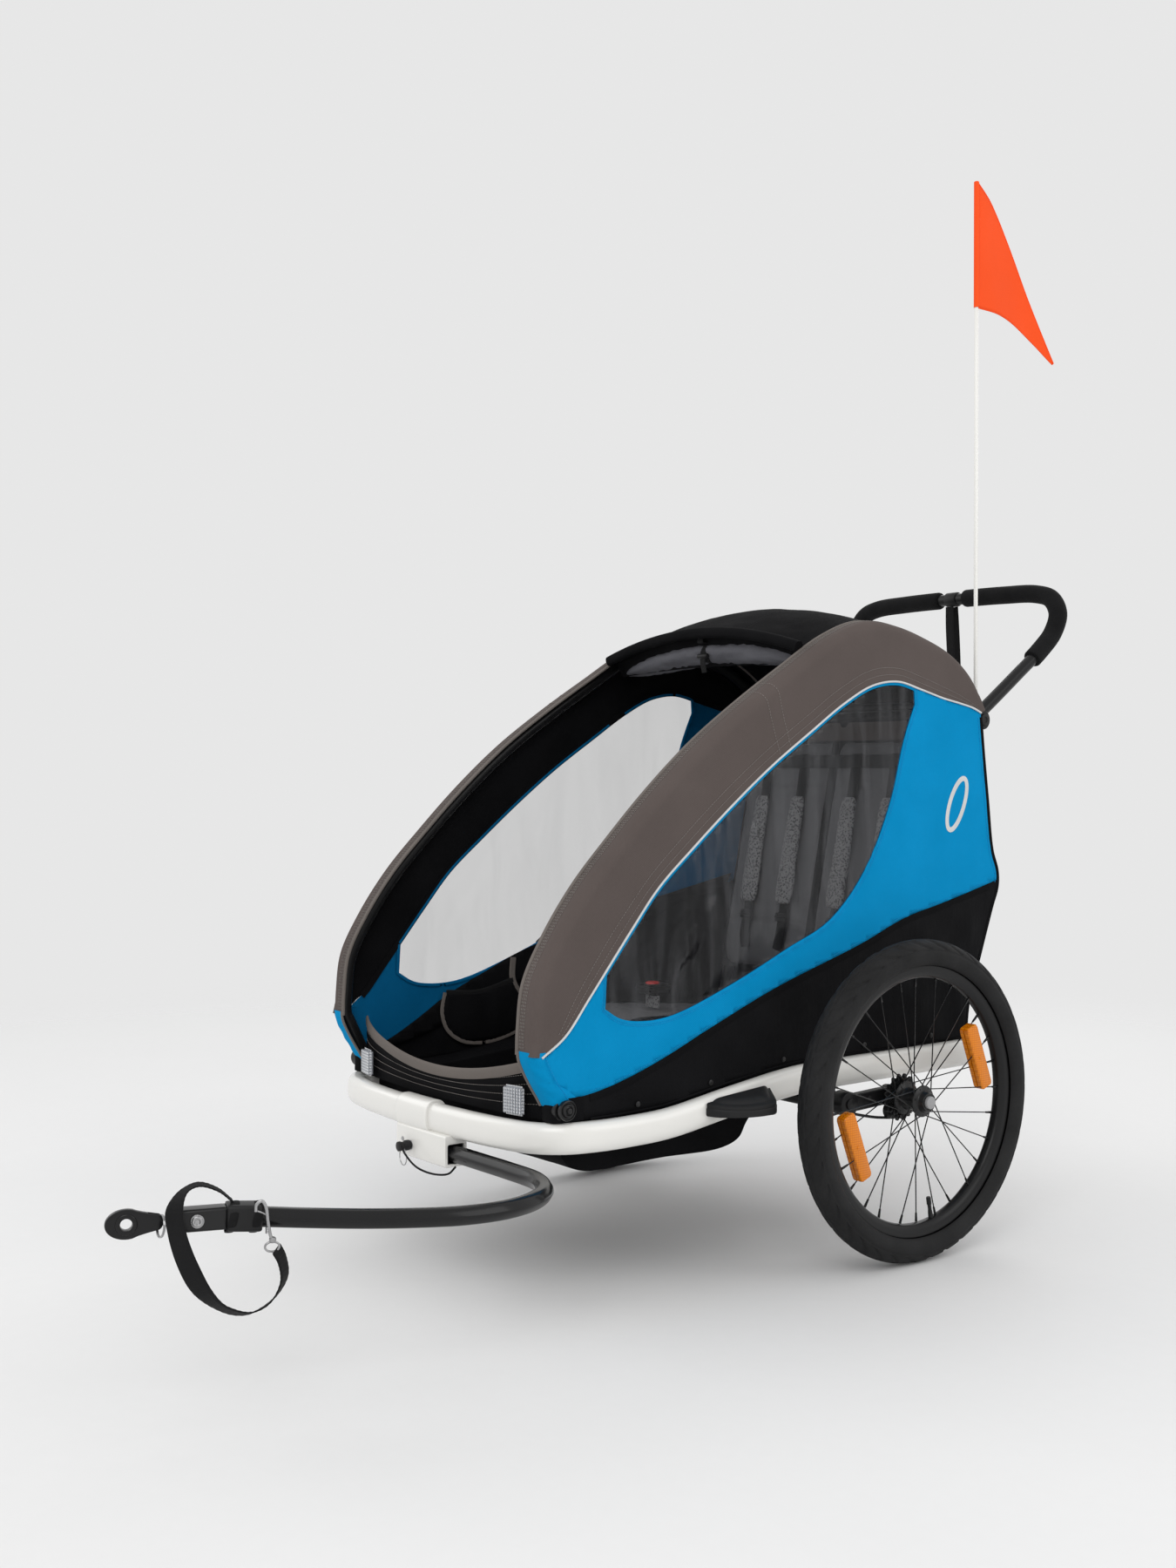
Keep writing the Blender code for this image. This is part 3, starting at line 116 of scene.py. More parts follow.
# ------------------------------------------------------------ materials
class Mat:
    """Small builder for a node material around one Principled shader."""

    def __init__(self, name, rgb, rough=0.5, metal=0.0, **direct):
        self.m = bpy.data.materials.new(name)
        self.m.use_nodes = True
        self.t = self.m.node_tree
        self.b = self.t.nodes["Principled BSDF"]
        self.b.inputs["Base Color"].default_value = (*rgb, 1.0)
        self.b.inputs["Roughness"].default_value = rough
        self.b.inputs["Metallic"].default_value = metal
        for k, v in direct.items():
            self.b.inputs[k.replace("_", " ")].default_value = v
        self.m.diffuse_color = (*rgb, 1.0)
        self.rgb = rgb
        self.co = self.node("ShaderNodeTexCoord").outputs["Object"]

    def node(self, kind, **kw):
        n = self.t.nodes.new(kind)
        for k, v in kw.items():
            setattr(n, k, v)
        return n

    def set(self, socket, value):
        if isinstance(value, bpy.types.NodeSocket):
            self.t.links.new(value, socket)
        else:
            socket.default_value = value

    def math(self, op, a, b=0.0, c=None):
        n = self.node("ShaderNodeMath", operation=op)
        self.set(n.inputs[0], a)
        self.set(n.inputs[1], b)
        if c is not None:
            self.set(n.inputs[2], c)
        return n.outputs[0]

    def mapped(self, scale=(1, 1, 1), rot=(0, 0, 0), loc=(0, 0, 0), vec=None):
        n = self.node("ShaderNodeMapping")
        self.set(n.inputs["Vector"], vec or self.co)
        n.inputs["Scale"].default_value = scale
        n.inputs["Rotation"].default_value = rot
        n.inputs["Location"].default_value = loc
        return n.outputs[0]

    def noise(self, scale, detail=2.0, rough=0.5, vec=None, distort=0.0):
        n = self.node("ShaderNodeTexNoise")
        self.set(n.inputs["Vector"], vec or self.co)
        n.inputs["Scale"].default_value = scale
        n.inputs["Detail"].default_value = detail
        n.inputs["Roughness"].default_value = rough
        n.inputs["Distortion"].default_value = distort
        return n.outputs["Fac"]

    def voronoi(self, scale, feature="F1", vec=None, out="Distance"):
        n = self.node("ShaderNodeTexVoronoi", feature=feature)
        self.set(n.inputs["Vector"], vec or self.co)
        n.inputs["Scale"].default_value = scale
        return n.outputs[out]

    def ramp(self, fac, stops):
        n = self.node("ShaderNodeValToRGB")
        self.set(n.inputs[0], fac)
        e = n.color_ramp.elements
        while len(e) < len(stops):
            e.new(0.5)
        for el, (p, c) in zip(e, stops):
            el.position = p
            el.color = (*c, 1.0) if hasattr(c, "__len__") else (c, c, c, 1.0)
        return n.outputs[0]

    def range(self, fac, lo, hi, f0=0.0, f1=1.0):
        n = self.node("ShaderNodeMapRange")
        self.set(n.inputs[0], fac)
        n.inputs[1].default_value, n.inputs[2].default_value = f0, f1
        n.inputs[3].default_value, n.inputs[4].default_value = lo, hi
        return n.outputs[0]

    def mix(self, fac, a, b):
        n = self.node("ShaderNodeMix", data_type="RGBA")
        self.set(n.inputs[0], fac)
        for s, v in ((n.inputs[6], a), (n.inputs[7], b)):
            if isinstance(v, bpy.types.NodeSocket):
                self.t.links.new(v, s)
            else:
                s.default_value = (*v, 1.0)
        return n.outputs[2]

    def bump(self, height, distance, strength=1.0, normal=None):
        n = self.node("ShaderNodeBump")
        n.inputs["Strength"].default_value = strength
        n.inputs["Distance"].default_value = distance
        self.set(n.inputs["Height"], height)
        if normal is not None:
            self.set(n.inputs["Normal"], normal)
        return n.outputs[0]

    def vary(self, amount, scale, fine=300.0, dusty=None):
        """Base colour that drifts a little over the surface."""
        a = tuple(max(0.0, c * (1 - amount)) for c in self.rgb)
        b = tuple(min(1.0, c * (1 + amount) + 0.002) for c in self.rgb)
        f = self.math("ADD", self.math("MULTIPLY", self.noise(scale, 3.0), 0.7), self.math("MULTIPLY", self.noise(fine, 2.0), 0.3))
        col = self.mix(self.range(f, 0.0, 1.0, 0.32, 0.68), a, b)
        if dusty:
            col = self.mix(self.range(self.noise(7.0, 4.0, 0.6), 0.0, 0.5, 0.5, 0.8), col, dusty)
        return col

    def weave(self, per_m):
        """Plain weave height, laid on whichever plane the surface faces."""
        xyz = self.node("ShaderNodeSeparateXYZ")
        self.set(xyz.inputs[0], self.co)
        geo = self.node("ShaderNodeTexCoord")
        nrm = self.node("ShaderNodeSeparateXYZ")
        self.set(nrm.inputs[0], geo.outputs["Normal"])
        k = per_m * math.pi
        s = [self.math("SINE", self.math("MULTIPLY", xyz.outputs[i], k)) for i in range(3)]
        w = [self.math("POWER", self.math("ABSOLUTE", nrm.outputs[i]), 3.0) for i in range(3)]
        total = None
        for i in range(3):
            a, b = s[(i + 1) % 3], s[(i + 2) % 3]
            term = self.math("MULTIPLY", self.math("MULTIPLY", a, b), w[i])
            total = term if total is None else self.math("ADD", total, term)
        return total

    def link(self, name, value):
        self.set(self.b.inputs[name], value)
        return self


def fabric(name, rgb, per_m=800, rough=0.88, var=0.10, fold=0.0022, fold_scale=16.0, weave=0.00016, sheen=0.02, streak=None, spec=0.16):
    m = Mat(name, rgb, rough, Sheen_Weight=sheen, Sheen_Roughness=0.45, Specular_IOR_Level=spec)
    m.link("Base Color", m.vary(var, 9.0, 420.0))
    m.link("Roughness", m.range(m.noise(35.0, 3.0), rough - 0.07, min(1.0, rough + 0.06)))
    if streak:
        f = m.noise(1.0, 4.0, 0.55, m.mapped(scale=streak))
    else:
        f = m.noise(fold_scale, 3.0, 0.45, distort=0.4)
    n1 = m.bump(f, fold)
    w = m.weave(per_m)
    n2 = m.bump(w, weave, 0.9, n1)
    m.link("Normal", n2)
    return m.m


def painted(name, rgb, rough=0.3, coat=0.3, peel=0.00012, metal=0.0, var=0.03, spec=0.5):
    m = Mat(name, rgb, rough, metal, Coat_Weight=coat, Coat_Roughness=0.12, Specular_IOR_Level=spec)
    m.link("Base Color", m.vary(var, 6.0, 250.0))
    m.link("Roughness", m.range(m.noise(9.0, 2.0, 0.4), rough - 0.02, rough + 0.03))
    if peel:
        m.link("Normal", m.bump(m.noise(330.0, 2.0), peel, 0.8))
    return m.m


def plastic(name, rgb, rough=0.45, grain=900.0, height=0.00008, var=0.06, **direct):
    m = Mat(name, rgb, rough, **direct)
    m.link("Base Color", m.vary(var, 12.0, 500.0))
    m.link("Roughness", m.range(m.noise(28.0, 4.0), rough - 0.08, rough + 0.10))
    m.link("Normal", m.bump(m.voronoi(grain), height, 0.8))
    return m.m


M = {}
M["white"] = painted("paint_white", (0.80, 0.79, 0.755), 0.26, 0.55, 0.0, var=0.006)
M["tube"] = painted("paint_black", (0.008, 0.008, 0.0085), 0.30, 0.05, 0.00008, spec=0.20)
M["bar"] = painted("paint_black_bar", (0.007, 0.007, 0.0075), 0.20, 0.08, 0.00004, spec=0.24)
M["plastic"] = plastic("plastic_black", (0.009, 0.009, 0.0095), 0.46, Specular_IOR_Level=0.28)
M["plastic_gloss"] = plastic("plastic_black_gloss", (0.008, 0.008, 0.0085), 0.28, 600.0, 0.00004, Specular_IOR_Level=0.35)
M["guard"] = plastic("plastic_guard", (0.011, 0.011, 0.0115), 0.52, 1100.0, 0.00012, Specular_IOR_Level=0.25)
M["grey_plastic"] = plastic("plastic_grey", (0.30, 0.30, 0.305), 0.42)
M["red"] = plastic("plastic_red", (0.62, 0.018, 0.014), 0.32, 500.0, 0.00003, 0.05)
M["black_cloth"] = fabric("cloth_black", (0.0045, 0.0045, 0.0052), 760, 0.84, 0.22, sheen=0.0, spec=0.06)
M["lower_cloth"] = fabric("cloth_black_lower", (0.0042, 0.0042, 0.0050), 760, 0.74, 0.22, sheen=0.0, fold=0.0050, streak=(9.0, 22.0, 2.6), spec=0.08)
M["blue"] = fabric("cloth_blue", (0.0, 0.250, 0.530), 780, 0.80, 0.07, fold=0.0012, spec=0.05, sheen=0.0)
# Darker copy of the blue cloth for the faces turned into the cabin: painted shade of the inside.
M["blue_in"] = fabric("cloth_blue_painted_shade", (0.0, 0.105, 0.250), 780, 0.85, 0.08, fold=0.0012, spec=0.06, sheen=0.0)
M["taupe"] = fabric("cloth_taupe", (0.100, 0.081, 0.075), 820, 0.84, 0.06, fold=0.0008, spec=0.10)
M["taupe_bind"] = fabric("binding_taupe", (0.150, 0.132, 0.120), 1200, 0.86, 0.06, fold=0.0004)
M["grey_cloth"] = fabric("cloth_grey", (0.130, 0.130, 0.138), 900, 0.88, 0.08)
M["roll_cloth"] = fabric("cloth_grey_roll", (0.105, 0.105, 0.118), 900, 0.80, 0.10, fold=0.0040, fold_scale=24.0)
m = Mat("mesh_pad", (0.21, 0.21, 0.215), 0.85, Sheen_Weight=0.15)
cells = m.voronoi(260.0, "F1")
m.link("Base Color", m.mix(m.range(cells, 0.0, 1.0, 0.25, 0.55), (0.035, 0.035, 0.037), (0.25, 0.25, 0.258)))
m.link("Normal", m.bump(cells, 0.0008, 0.9))
M["mesh_pad"] = m.m
M["webbing"] = fabric("webbing_black", (0.008, 0.008, 0.0085), 1400, 0.70, 0.15, fold=0.0003, weave=0.00030, spec=0.14)
M["thread_grey"] = fabric("thread_grey", (0.25, 0.23, 0.215), 2500, 0.8, 0.1, fold=0.0001)
M["thread_black"] = fabric("thread_black", (0.02, 0.02, 0.02), 2500, 0.8, 0.1, fold=0.0001)
M["thread_blue"] = fabric("thread_blue", (0.01, 0.30, 0.62), 2500, 0.8, 0.1, fold=0.0001)
M["orange"] = fabric("cloth_orange", (0.93, 0.086, 0.012), 1500, 0.75, 0.03, fold=0.0012, fold_scale=9.0, weave=0.00006)

m = Mat("piping_reflective", (0.62, 0.62, 0.61), 0.35, Sheen_Weight=0.3)
m.link("Base Color", m.vary(0.08, 20.0, 700.0))
m.link("Normal", m.bump(m.voronoi(1600.0), 0.00008, 0.7))
M["piping"] = m.m

m = Mat("steel", (0.40, 0.40, 0.405), 0.26, 1.0)
m.link("Base Color", m.vary(0.10, 30.0, 500.0))
m.link("Roughness", m.range(m.noise(60.0, 5.0), 0.16, 0.42))
m.link("Normal", m.bump(m.noise(420.0, 3.0), 0.00005, 0.8))
M["steel"] = m.m

m = Mat("rubber_tyre", (0.012, 0.012, 0.0125), 0.72, Specular_IOR_Level=0.22)
m.link("Base Color", m.vary(0.25, 14.0, 300.0, dusty=(0.022, 0.0215, 0.021)))
m.link("Roughness", m.range(m.noise(26.0, 4.0), 0.60, 0.86))
m.link("Normal", m.bump(m.noise(900.0, 2.0), 0.00012, 0.8))
M["rubber"] = m.m

m = Mat("foam_grip", (0.008, 0.008, 0.0085), 0.93, Sheen_Weight=0.03, Specular_IOR_Level=0.12)
m.link("Base Color", m.vary(0.25, 25.0, 700.0))
m.link("Normal", m.bump(m.voronoi(1100.0, "SMOOTH_F1"), 0.00035, 0.9))
M["foam"] = m.m

m = Mat("lens_clear", (0.78, 0.80, 0.83), 0.08, Coat_Weight=0.8, Coat_Roughness=0.04, Specular_IOR_Level=0.8)
xyz = m.node("ShaderNodeSeparateXYZ")
m.set(xyz.inputs[0], m.co)
cells = m.math("MULTIPLY", m.math("ABSOLUTE", m.math("SINE", m.math("MULTIPLY", xyz.outputs[0], 1250.0))),
               m.math("ABSOLUTE", m.math("SINE", m.math("MULTIPLY", xyz.outputs[2], 700.0))))
# Prism cells alternate dark and bright in the base colour: painted reflection of the facets.
m.link("Base Color", m.mix(cells, (0.30, 0.32, 0.36), (0.92, 0.93, 0.95)))
m.link("Normal", m.bump(cells, 0.0011, 1.0))
M["lens"] = m.m

m = Mat("lens_amber", (0.90, 0.30, 0.008), 0.22, Coat_Weight=0.25, Coat_Roughness=0.06, Specular_IOR_Level=0.3)
xyz = m.node("ShaderNodeSeparateXYZ")
m.set(xyz.inputs[0], m.co)
cells = m.math("MULTIPLY", m.math("ABSOLUTE", m.math("SINE", m.math("MULTIPLY", xyz.outputs[1], 900.0))),
               m.math("ABSOLUTE", m.math("SINE", m.math("MULTIPLY", xyz.outputs[2], 900.0))))
# Prism cells lighter and darker in the base colour: painted reflection of the facets.
m.link("Base Color", m.mix(cells, (0.60, 0.150, 0.001), (0.82, 0.265, 0.003)))
m.link("Normal", m.bump(cells, 0.00022, 0.8))
M["amber"] = m.m


def film(name, rgb, lo, hi, streak):
    m = Mat(name, rgb, 0.10, Specular_IOR_Level=0.5, Coat_Weight=0.35, Coat_Roughness=0.06)
    f = m.noise(1.0, 3.0, 0.5, m.mapped(scale=streak, rot=(math.radians(-42), 0, 0)), 0.7)
    # Base colour lighter along the streak noise, where the alpha also rises, and darker between: painted glints and
    # dark streaks of the wrinkled film.
    m.link("Base Color", m.mix(m.range(f, 0.0, 1.0, 0.35, 0.65), tuple(c * 0.6 for c in rgb), tuple(min(1, c * 1.6) for c in rgb)))
    m.link("Alpha", m.range(f, lo, hi, 0.40, 0.72))
    big = m.noise(1.0, 1.0, 0.35, m.mapped(scale=(3.0, 16.0, 7.0), rot=(math.radians(-42), 0, 0)), 1.1)
    m.link("Normal", m.bump(big, 0.0030, 0.7))
    m.m.surface_render_method = "BLENDED"
    return m.m


M["film"] = film("film_tinted", (0.050, 0.051, 0.055), 0.15, 0.30, (6.0, 34.0, 5.0))
# Lighter copy of the same film with weaker streaks for the far window: painted difference of light between the two
# sides.
M["film_far_lit_copy"] = film("film_tinted_right_lit_copy", (0.060, 0.061, 0.065), 0.15, 0.185, (5.0, 16.0, 4.0))


# ------------------------------------------------------------ mesh tools
def obj(name, bm, merge=1e-6):
    if merge:
        bmesh.ops.remove_doubles(bm, verts=bm.verts, dist=merge)
    bmesh.ops.recalc_face_normals(bm, faces=bm.faces)
    me = bpy.data.meshes.new(name)
    bm.to_mesh(me)
    bm.free()
    ob = bpy.data.objects.new(name, me)
    bpy.context.scene.collection.objects.link(ob)
    return ob


def join(obs, name="joined"):
    bm = bmesh.new()
    for o in obs:
        me = baked(o)
        bm.from_mesh(me)
        bpy.data.objects.remove(o, do_unlink=True)
    return obj(name, bm, 0)


def baked(o):
    if not o.modifiers:
        return o.data
    dg = bpy.context.evaluated_depsgraph_get()
    dg.update()
    me = bpy.data.meshes.new_from_object(o.evaluated_get(dg))
    o.modifiers.clear()
    o.data = me
    return me


PIECES = []


def put(ob, name, mat, body, reps=(), bevel=0.0, sub=0, angle=38.0, seg=2):
    """Carry a finished piece into the frame: material, body, replaced nodes hidden."""
    ob.name = name
    if bevel:
        b = ob.modifiers.new("bevel", "BEVEL")
        b.width = bevel
        b.segments = seg
        b.limit_method = "ANGLE"
        b.angle_limit = math.radians(40)
    if sub:
        s = ob.modifiers.new("sub", "SUBSURF")
        s.levels = s.render_levels = sub
    baked(ob)
    ob.data.name = name
    ob.data.transform(Matrix.Translation((0, D, 0)))
    ob.data.materials.clear()
    ob.data.materials.append(M[mat])
    ob.data.shade_smooth()
    if angle:
        ob.data.set_sharp_from_angle(angle=math.radians(angle))
    if body:
        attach(ob, body)
    if reps:
        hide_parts(*reps)
    PIECES.append(ob)
    return ob



def cut(ob, cutters, op="DIFFERENCE"):
    for c in cutters:
        b = ob.modifiers.new("cut", "BOOLEAN")
        b.operation = op
        b.solver = "EXACT"
        b.object = c
        baked(ob)
        bpy.data.objects.remove(c, do_unlink=True)
    return ob


def spline(points, per=4):
    P = [Vector(p) for p in points]
    Q = [P[0] * 2 - P[1]] + P + [P[-1] * 2 - P[-2]]
    out = []
    for i in range(1, len(Q) - 2):
        p0, p1, p2, p3 = Q[i - 1], Q[i], Q[i + 1], Q[i + 2]
        t0 = 0.0
        t1 = t0 + (p1 - p0).length ** 0.5
        t2 = t1 + (p2 - p1).length ** 0.5
        t3 = t2 + (p3 - p2).length ** 0.5
        for k in range(per):
            t = t1 + (t2 - t1) * k / per
            a1 = p0 * ((t1 - t) / (t1 - t0)) + p1 * ((t - t0) / (t1 - t0))
            a2 = p1 * ((t2 - t) / (t2 - t1)) + p2 * ((t - t1) / (t2 - t1))
            a3 = p2 * ((t3 - t) / (t3 - t2)) + p3 * ((t - t2) / (t3 - t2))
            b1 = a1 * ((t2 - t) / (t2 - t0)) + a2 * ((t - t0) / (t2 - t0))
            b2 = a2 * ((t3 - t) / (t3 - t1)) + a3 * ((t - t1) / (t3 - t1))
            out.append(b1 * ((t2 - t) / (t2 - t1)) + b2 * ((t - t1) / (t2 - t1)))
    out.append(P[-1])
    return out


def tangents(path):
    return [(path[min(i + 1, len(path) - 1)] - path[max(i - 1, 0)]).normalized() for i in range(len(path))]


def loft(rings, name="loft", caps=True, closed=True):
    bm = bmesh.new()
    rows = [[bm.verts.new(p) for p in r] for r in rings]
    n = len(rows[0])
    for a, b in zip(rows, rows[1:]):
        for k in range(n if closed else n - 1):
            bm.faces.new((a[k], a[(k + 1) % n], b[(k + 1) % n], b[k]))
    if caps and closed:
        bm.faces.new(rows[0][::-1])
        bm.faces.new(rows[-1])
    return obj(name, bm)


def sweep(path, profile, ref, name="sweep", caps=True):
    T = tangents(path)
    ref = Vector(ref)
    rings = []
    for i, p in enumerate(path):
        B = (ref - T[i] * ref.dot(T[i])).normalized()
        C = T[i].cross(B)
        prof = profile(i / (len(path) - 1)) if callable(profile) else profile
        rings.append([p + B * a + C * b for a, b in prof])
    return loft(rings, name, caps)


def circle(r, n=24, r2=None):
    r2 = r if r2 is None else r2
    return [(r * math.cos(2 * math.pi * k / n), r2 * math.sin(2 * math.pi * k / n)) for k in range(n)]


def oval(a, b, n=28, power=2.5):
    out = []
    for k in range(n):
        t = 2 * math.pi * k / n
        c, s = math.cos(t), math.sin(t)
        out.append((a * math.copysign(abs(c) ** (2 / power), c), b * math.copysign(abs(s) ** (2 / power), s)))
    return out


def tube(path, r, ref=(1, 0, 0), n=20):
    return sweep(path, circle(r, n), ref)


def box(lo, hi, bevel=0.0, seg=3):
    bm = bmesh.new()
    bmesh.ops.create_cube(bm, size=1.0)
    bmesh.ops.scale(bm, vec=[b - a for a, b in zip(lo, hi)], verts=bm.verts)
    bmesh.ops.translate(bm, vec=[(a + b) / 2 for a, b in zip(lo, hi)], verts=bm.verts)
    if bevel:
        bmesh.ops.bevel(bm, geom=list(bm.edges), offset=bevel, segments=seg, affect="EDGES", clamp_overlap=True)
    return obj("box", bm)


def basis(d):
    d = Vector(d).normalized()
    ref = Vector((1, 0, 0)) if abs(d.x) < 0.8 else Vector((0, 0, 1))
    B = (ref - d * ref.dot(d)).normalized()
    return d, B, d.cross(B)


def turned(p0, axis, profile, n=32, name="turned"):
    """Turn an open (along, radius) profile about an axis through p0; ends on the axis are closed."""
    p0 = Vector(p0)
    d, B, C = basis(axis)
    bm = bmesh.new()
    rows = []
    for s, r in profile:
        if r < 1e-7:
            rows.append([bm.verts.new(p0 + d * s)])
        else:
            rows.append([bm.verts.new(p0 + d * s + (B * math.cos(2 * math.pi * k / n) + C * math.sin(2 * math.pi * k / n)) * r) for k in range(n)])
    for a, b in zip(rows, rows[1:]):
        for k in range(n):
            k2 = (k + 1) % n
            if len(a) == 1 and len(b) == 1:
                continue
            if len(a) == 1:
                bm.faces.new((a[0], b[k2], b[k]))
            elif len(b) == 1:
                bm.faces.new((a[k], a[k2], b[0]))
            else:
                bm.faces.new((a[k], a[k2], b[k2], b[k]))
    return obj(name, bm)


def rod(p0, p1, r, n=20, chamfer=0.0, r1=None):
    p0, p1 = Vector(p0), Vector(p1)
    L = (p1 - p0).length
    r1 = r if r1 is None else r1
    c = min(chamfer, r * 0.6, L * 0.4)
    prof = [(0, 0), (0, r - c), (c * 0.3, r - c * 0.3), (c, r), (L - c, r1), (L - c * 0.3, r1 - c * 0.3), (L, r1 - c), (L, 0)] if c else [(0, 0), (0, r), (L, r1), (L, 0)]
    return turned(p0, p1 - p0, prof, n)


def ring(c, axis, R, r, n=40, m=10):
    d, B, C = basis(axis)
    bm = bmesh.new()
    rows = []
    for i in range(n):
        t = 2 * math.pi * i / n
        e = B * math.cos(t) + C * math.sin(t)
        rows.append([bm.verts.new(Vector(c) + e * (R + r * math.cos(2 * math.pi * k / m)) + d * r * math.sin(2 * math.pi * k / m)) for k in range(m)])
    for i in range(n):
        a, b = rows[i], rows[(i + 1) % n]
        for k in range(m):
            bm.faces.new((a[k], a[(k + 1) % m], b[(k + 1) % m], b[k]))
    return obj("ring", bm)


def lathe_x(profile, yz, sx=1.0, n=96, phase=0.0, closed=True):
    bm = bmesh.new()
    rows = []
    for i in range(n):
        t = 2 * math.pi * i / n + phase
        rows.append([bm.verts.new((sx * x, yz[0] + r * math.cos(t), yz[1] + r * math.sin(t))) for x, r in profile])
    m = len(profile)
    for i in range(n):
        a, b = rows[i], rows[(i + 1) % n]
        for k in range(m if closed else m - 1):
            k2 = (k + 1) % m
            if profile[k][1] < 1e-9 and profile[k2][1] < 1e-9:
                continue
            f = [a[k], a[k2], b[k2], b[k]]
            if profile[k][1] < 1e-9:
                f = [a[k], a[k2], b[k2]]
            elif profile[k2][1] < 1e-9:
                f = [a[k], a[k2], b[k]]
            bm.faces.new(f)
    return obj("lathe", bm)


def slab_yz(points, x0, x1):
    return loft([[Vector((x0, y, z)) for y, z in points], [Vector((x1, y, z)) for y, z in points]], "slab")


def slab_xy(points, z0, z1):
    return loft([[Vector((x, y, z0)) for x, y in points], [Vector((x, y, z1)) for x, y in points]], "slab")


def flat(points, per):
    return [(p.x, p.y) for p in spline([(a, b, 0) for a, b in points], per)]


def even(path, step):
    """The same polyline with points every step metres."""
    path = [Vector(p) for p in path]
    out, left = [path[0].copy()], step
    for a, b in zip(path, path[1:]):
        L = (b - a).length
        s = 0.0
        while L - s >= left:
            s += left
            out.append(a.lerp(b, s / L))
            left = step
        left -= L - s
    return out


def stitches(path, normal, length=0.0034, gap=0.0014, r=0.00042, lift=0.0002):
    """Row of thread stitches lying on a surface along a path."""
    pts = even(path, length + gap)
    bm = bmesh.new()
    for i in range(len(pts) - 1):
        a = pts[i]
        d = (pts[i + 1] - a).normalized()
        n = Vector(normal(a) if callable(normal) else normal)
        n = (n - d * n.dot(d)).normalized()
        s = d.cross(n)
        rows = []
        for u, k in ((0.0, 0.35), (0.22, 1.0), (0.78, 1.0), (1.0, 0.35)):
            c = a + d * (length * u) + n * (lift + (0.00025 if 0 < u < 1 else -0.0002))
            rows.append([bm.verts.new(c + (s * math.cos(t) + n * math.sin(t)) * r * k) for t in [math.pi * 2 * j / 6 for j in range(6)]])
        for p, q in zip(rows, rows[1:]):
            for k in range(6):
                bm.faces.new((p[k], p[(k + 1) % 6], q[(k + 1) % 6], q[k]))
        bm.faces.new(rows[0][::-1])
        bm.faces.new(rows[-1])
    return obj("stitches", bm, 0)


def ribbon(path, widths, across, thick=0.0012, name="ribbon", rim=0.0):
    """Flat strap: `across` gives the width direction at each point."""
    T = tangents(path)
    rings = []
    for i, p in enumerate(path):
        u = i / (len(path) - 1)
        w = Vector(across(u, T[i]) if callable(across) else across)
        w = (w - T[i] * w.dot(T[i])).normalized()
        t = T[i].cross(w).normalized()
        h = widths(u) if callable(widths) else widths
        k = thick / 2
        e = min(0.0008, h * 0.3)
        prof = [(h - e, k), (h * 0.5, k), (-h * 0.5, k), (-h + e, k), (-h, 0), (-h + e, -k), (-h * 0.5, -k), (h * 0.5, -k), (h - e, -k), (h, 0)]
        rings.append([p + w * a + t * b for a, b in prof])
    return loft(rings, name)


def grid_sheet(outline, plane, step=0.012, name="sheet"):
    """Flat panel with the outline given in a plane, cut into a fine grid. The plane argument is not used; the grid
    stays in (a, b).
    """
    bm = bmesh.new()
    vs = [bm.verts.new((a, b, 0)) for a, b in outline]
    bm.faces.new(vs)
    lo = [min(p[i] for p in outline) for i in (0, 1)]
    hi = [max(p[i] for p in outline) for i in (0, 1)]
    for axis in (0, 1):
        n = int((hi[axis] - lo[axis]) / step)
        for k in range(1, n + 1):
            c = lo[axis] + k * step
            if c > hi[axis] - step * 0.2:
                break
            co = [0, 0, 0]
            no = [0, 0, 0]
            co[axis] = c
            no[axis] = 1
            bmesh.ops.bisect_plane(bm, geom=list(bm.verts) + list(bm.edges) + list(bm.faces), plane_co=co, plane_no=no, dist=1e-6)
    return bm


# ------------------------------------------------------------ frame tubes
half = [(0.284, RAIL_REAR_Y, RAIL_Z_REAR), (0.287, 0.10, RAIL_Z_REAR), (RAIL_X, -0.10, RAIL_Z_REAR),
        (RAIL_X, -0.17, 0.2845), (RAIL_X, -0.30, 0.2685), (RAIL_X, -0.42, 0.2515), (RAIL_X, -0.49, RAIL_Z_FRONT),
        (0.2875, -0.550, RAIL_Z_FRONT), (0.273, -0.598, RAIL_Z_FRONT), (0.240, -0.630, RAIL_Z_FRONT),
        (0.190, -0.645, RAIL_Z_FRONT), (0.100, -0.656, RAIL_Z_FRONT), (0.0, FRONT_Y, RAIL_Z_FRONT)]
frame_line = spline(half + [(-x, y, z) for x, y, z in half[-2::-1]], 8)
put(sweep(frame_line, oval(RAIL_H, RAIL_W, 36, 2.6), (0, 0, 1)), "frame_tube", "white", "trailer", ["base_frame"], bevel=0.0012)
py, pz = HOOP_PIVOT
bits = []
for sx in (1, -1):
    e = frame_line[0] if sx > 0 else frame_line[-1]
    prof = oval(RAIL_H - 0.0004, RAIL_W - 0.0004, 36, 2.6)
    plug = sweep([Vector((e.x, e.y - 0.001, e.z)), Vector((e.x, e.y + 0.0026, e.z))], lambda u, p=prof: [(a * (1 - 0.06 * u), b * (1 - 0.08 * u)) for a, b in p], (0, 0, 1))
    bits.append(plug)
put(join(bits), "frame_end_plugs", "plastic", "trailer", bevel=0.0008)
bits = []
for sx in (1, -1):
    bits.append(turned((sx * 0.2800, py, pz), (sx, 0, 0), [(0, 0), (0, 0.0140), (0.0045, 0.0148), (0.0062, 0.0142), (0.0068, 0.0128), (0.0052, 0.0118), (0.0050, 0.0104),
                                                          (0.0064, 0.0096), (0.0078, 0.0088), (0.0082, 0.0070), (0.0068, 0.0060), (0.0074, 0.0048), (0.0105, 0.0040), (0.0112, 0.0022), (0.0112, 0)], 48))
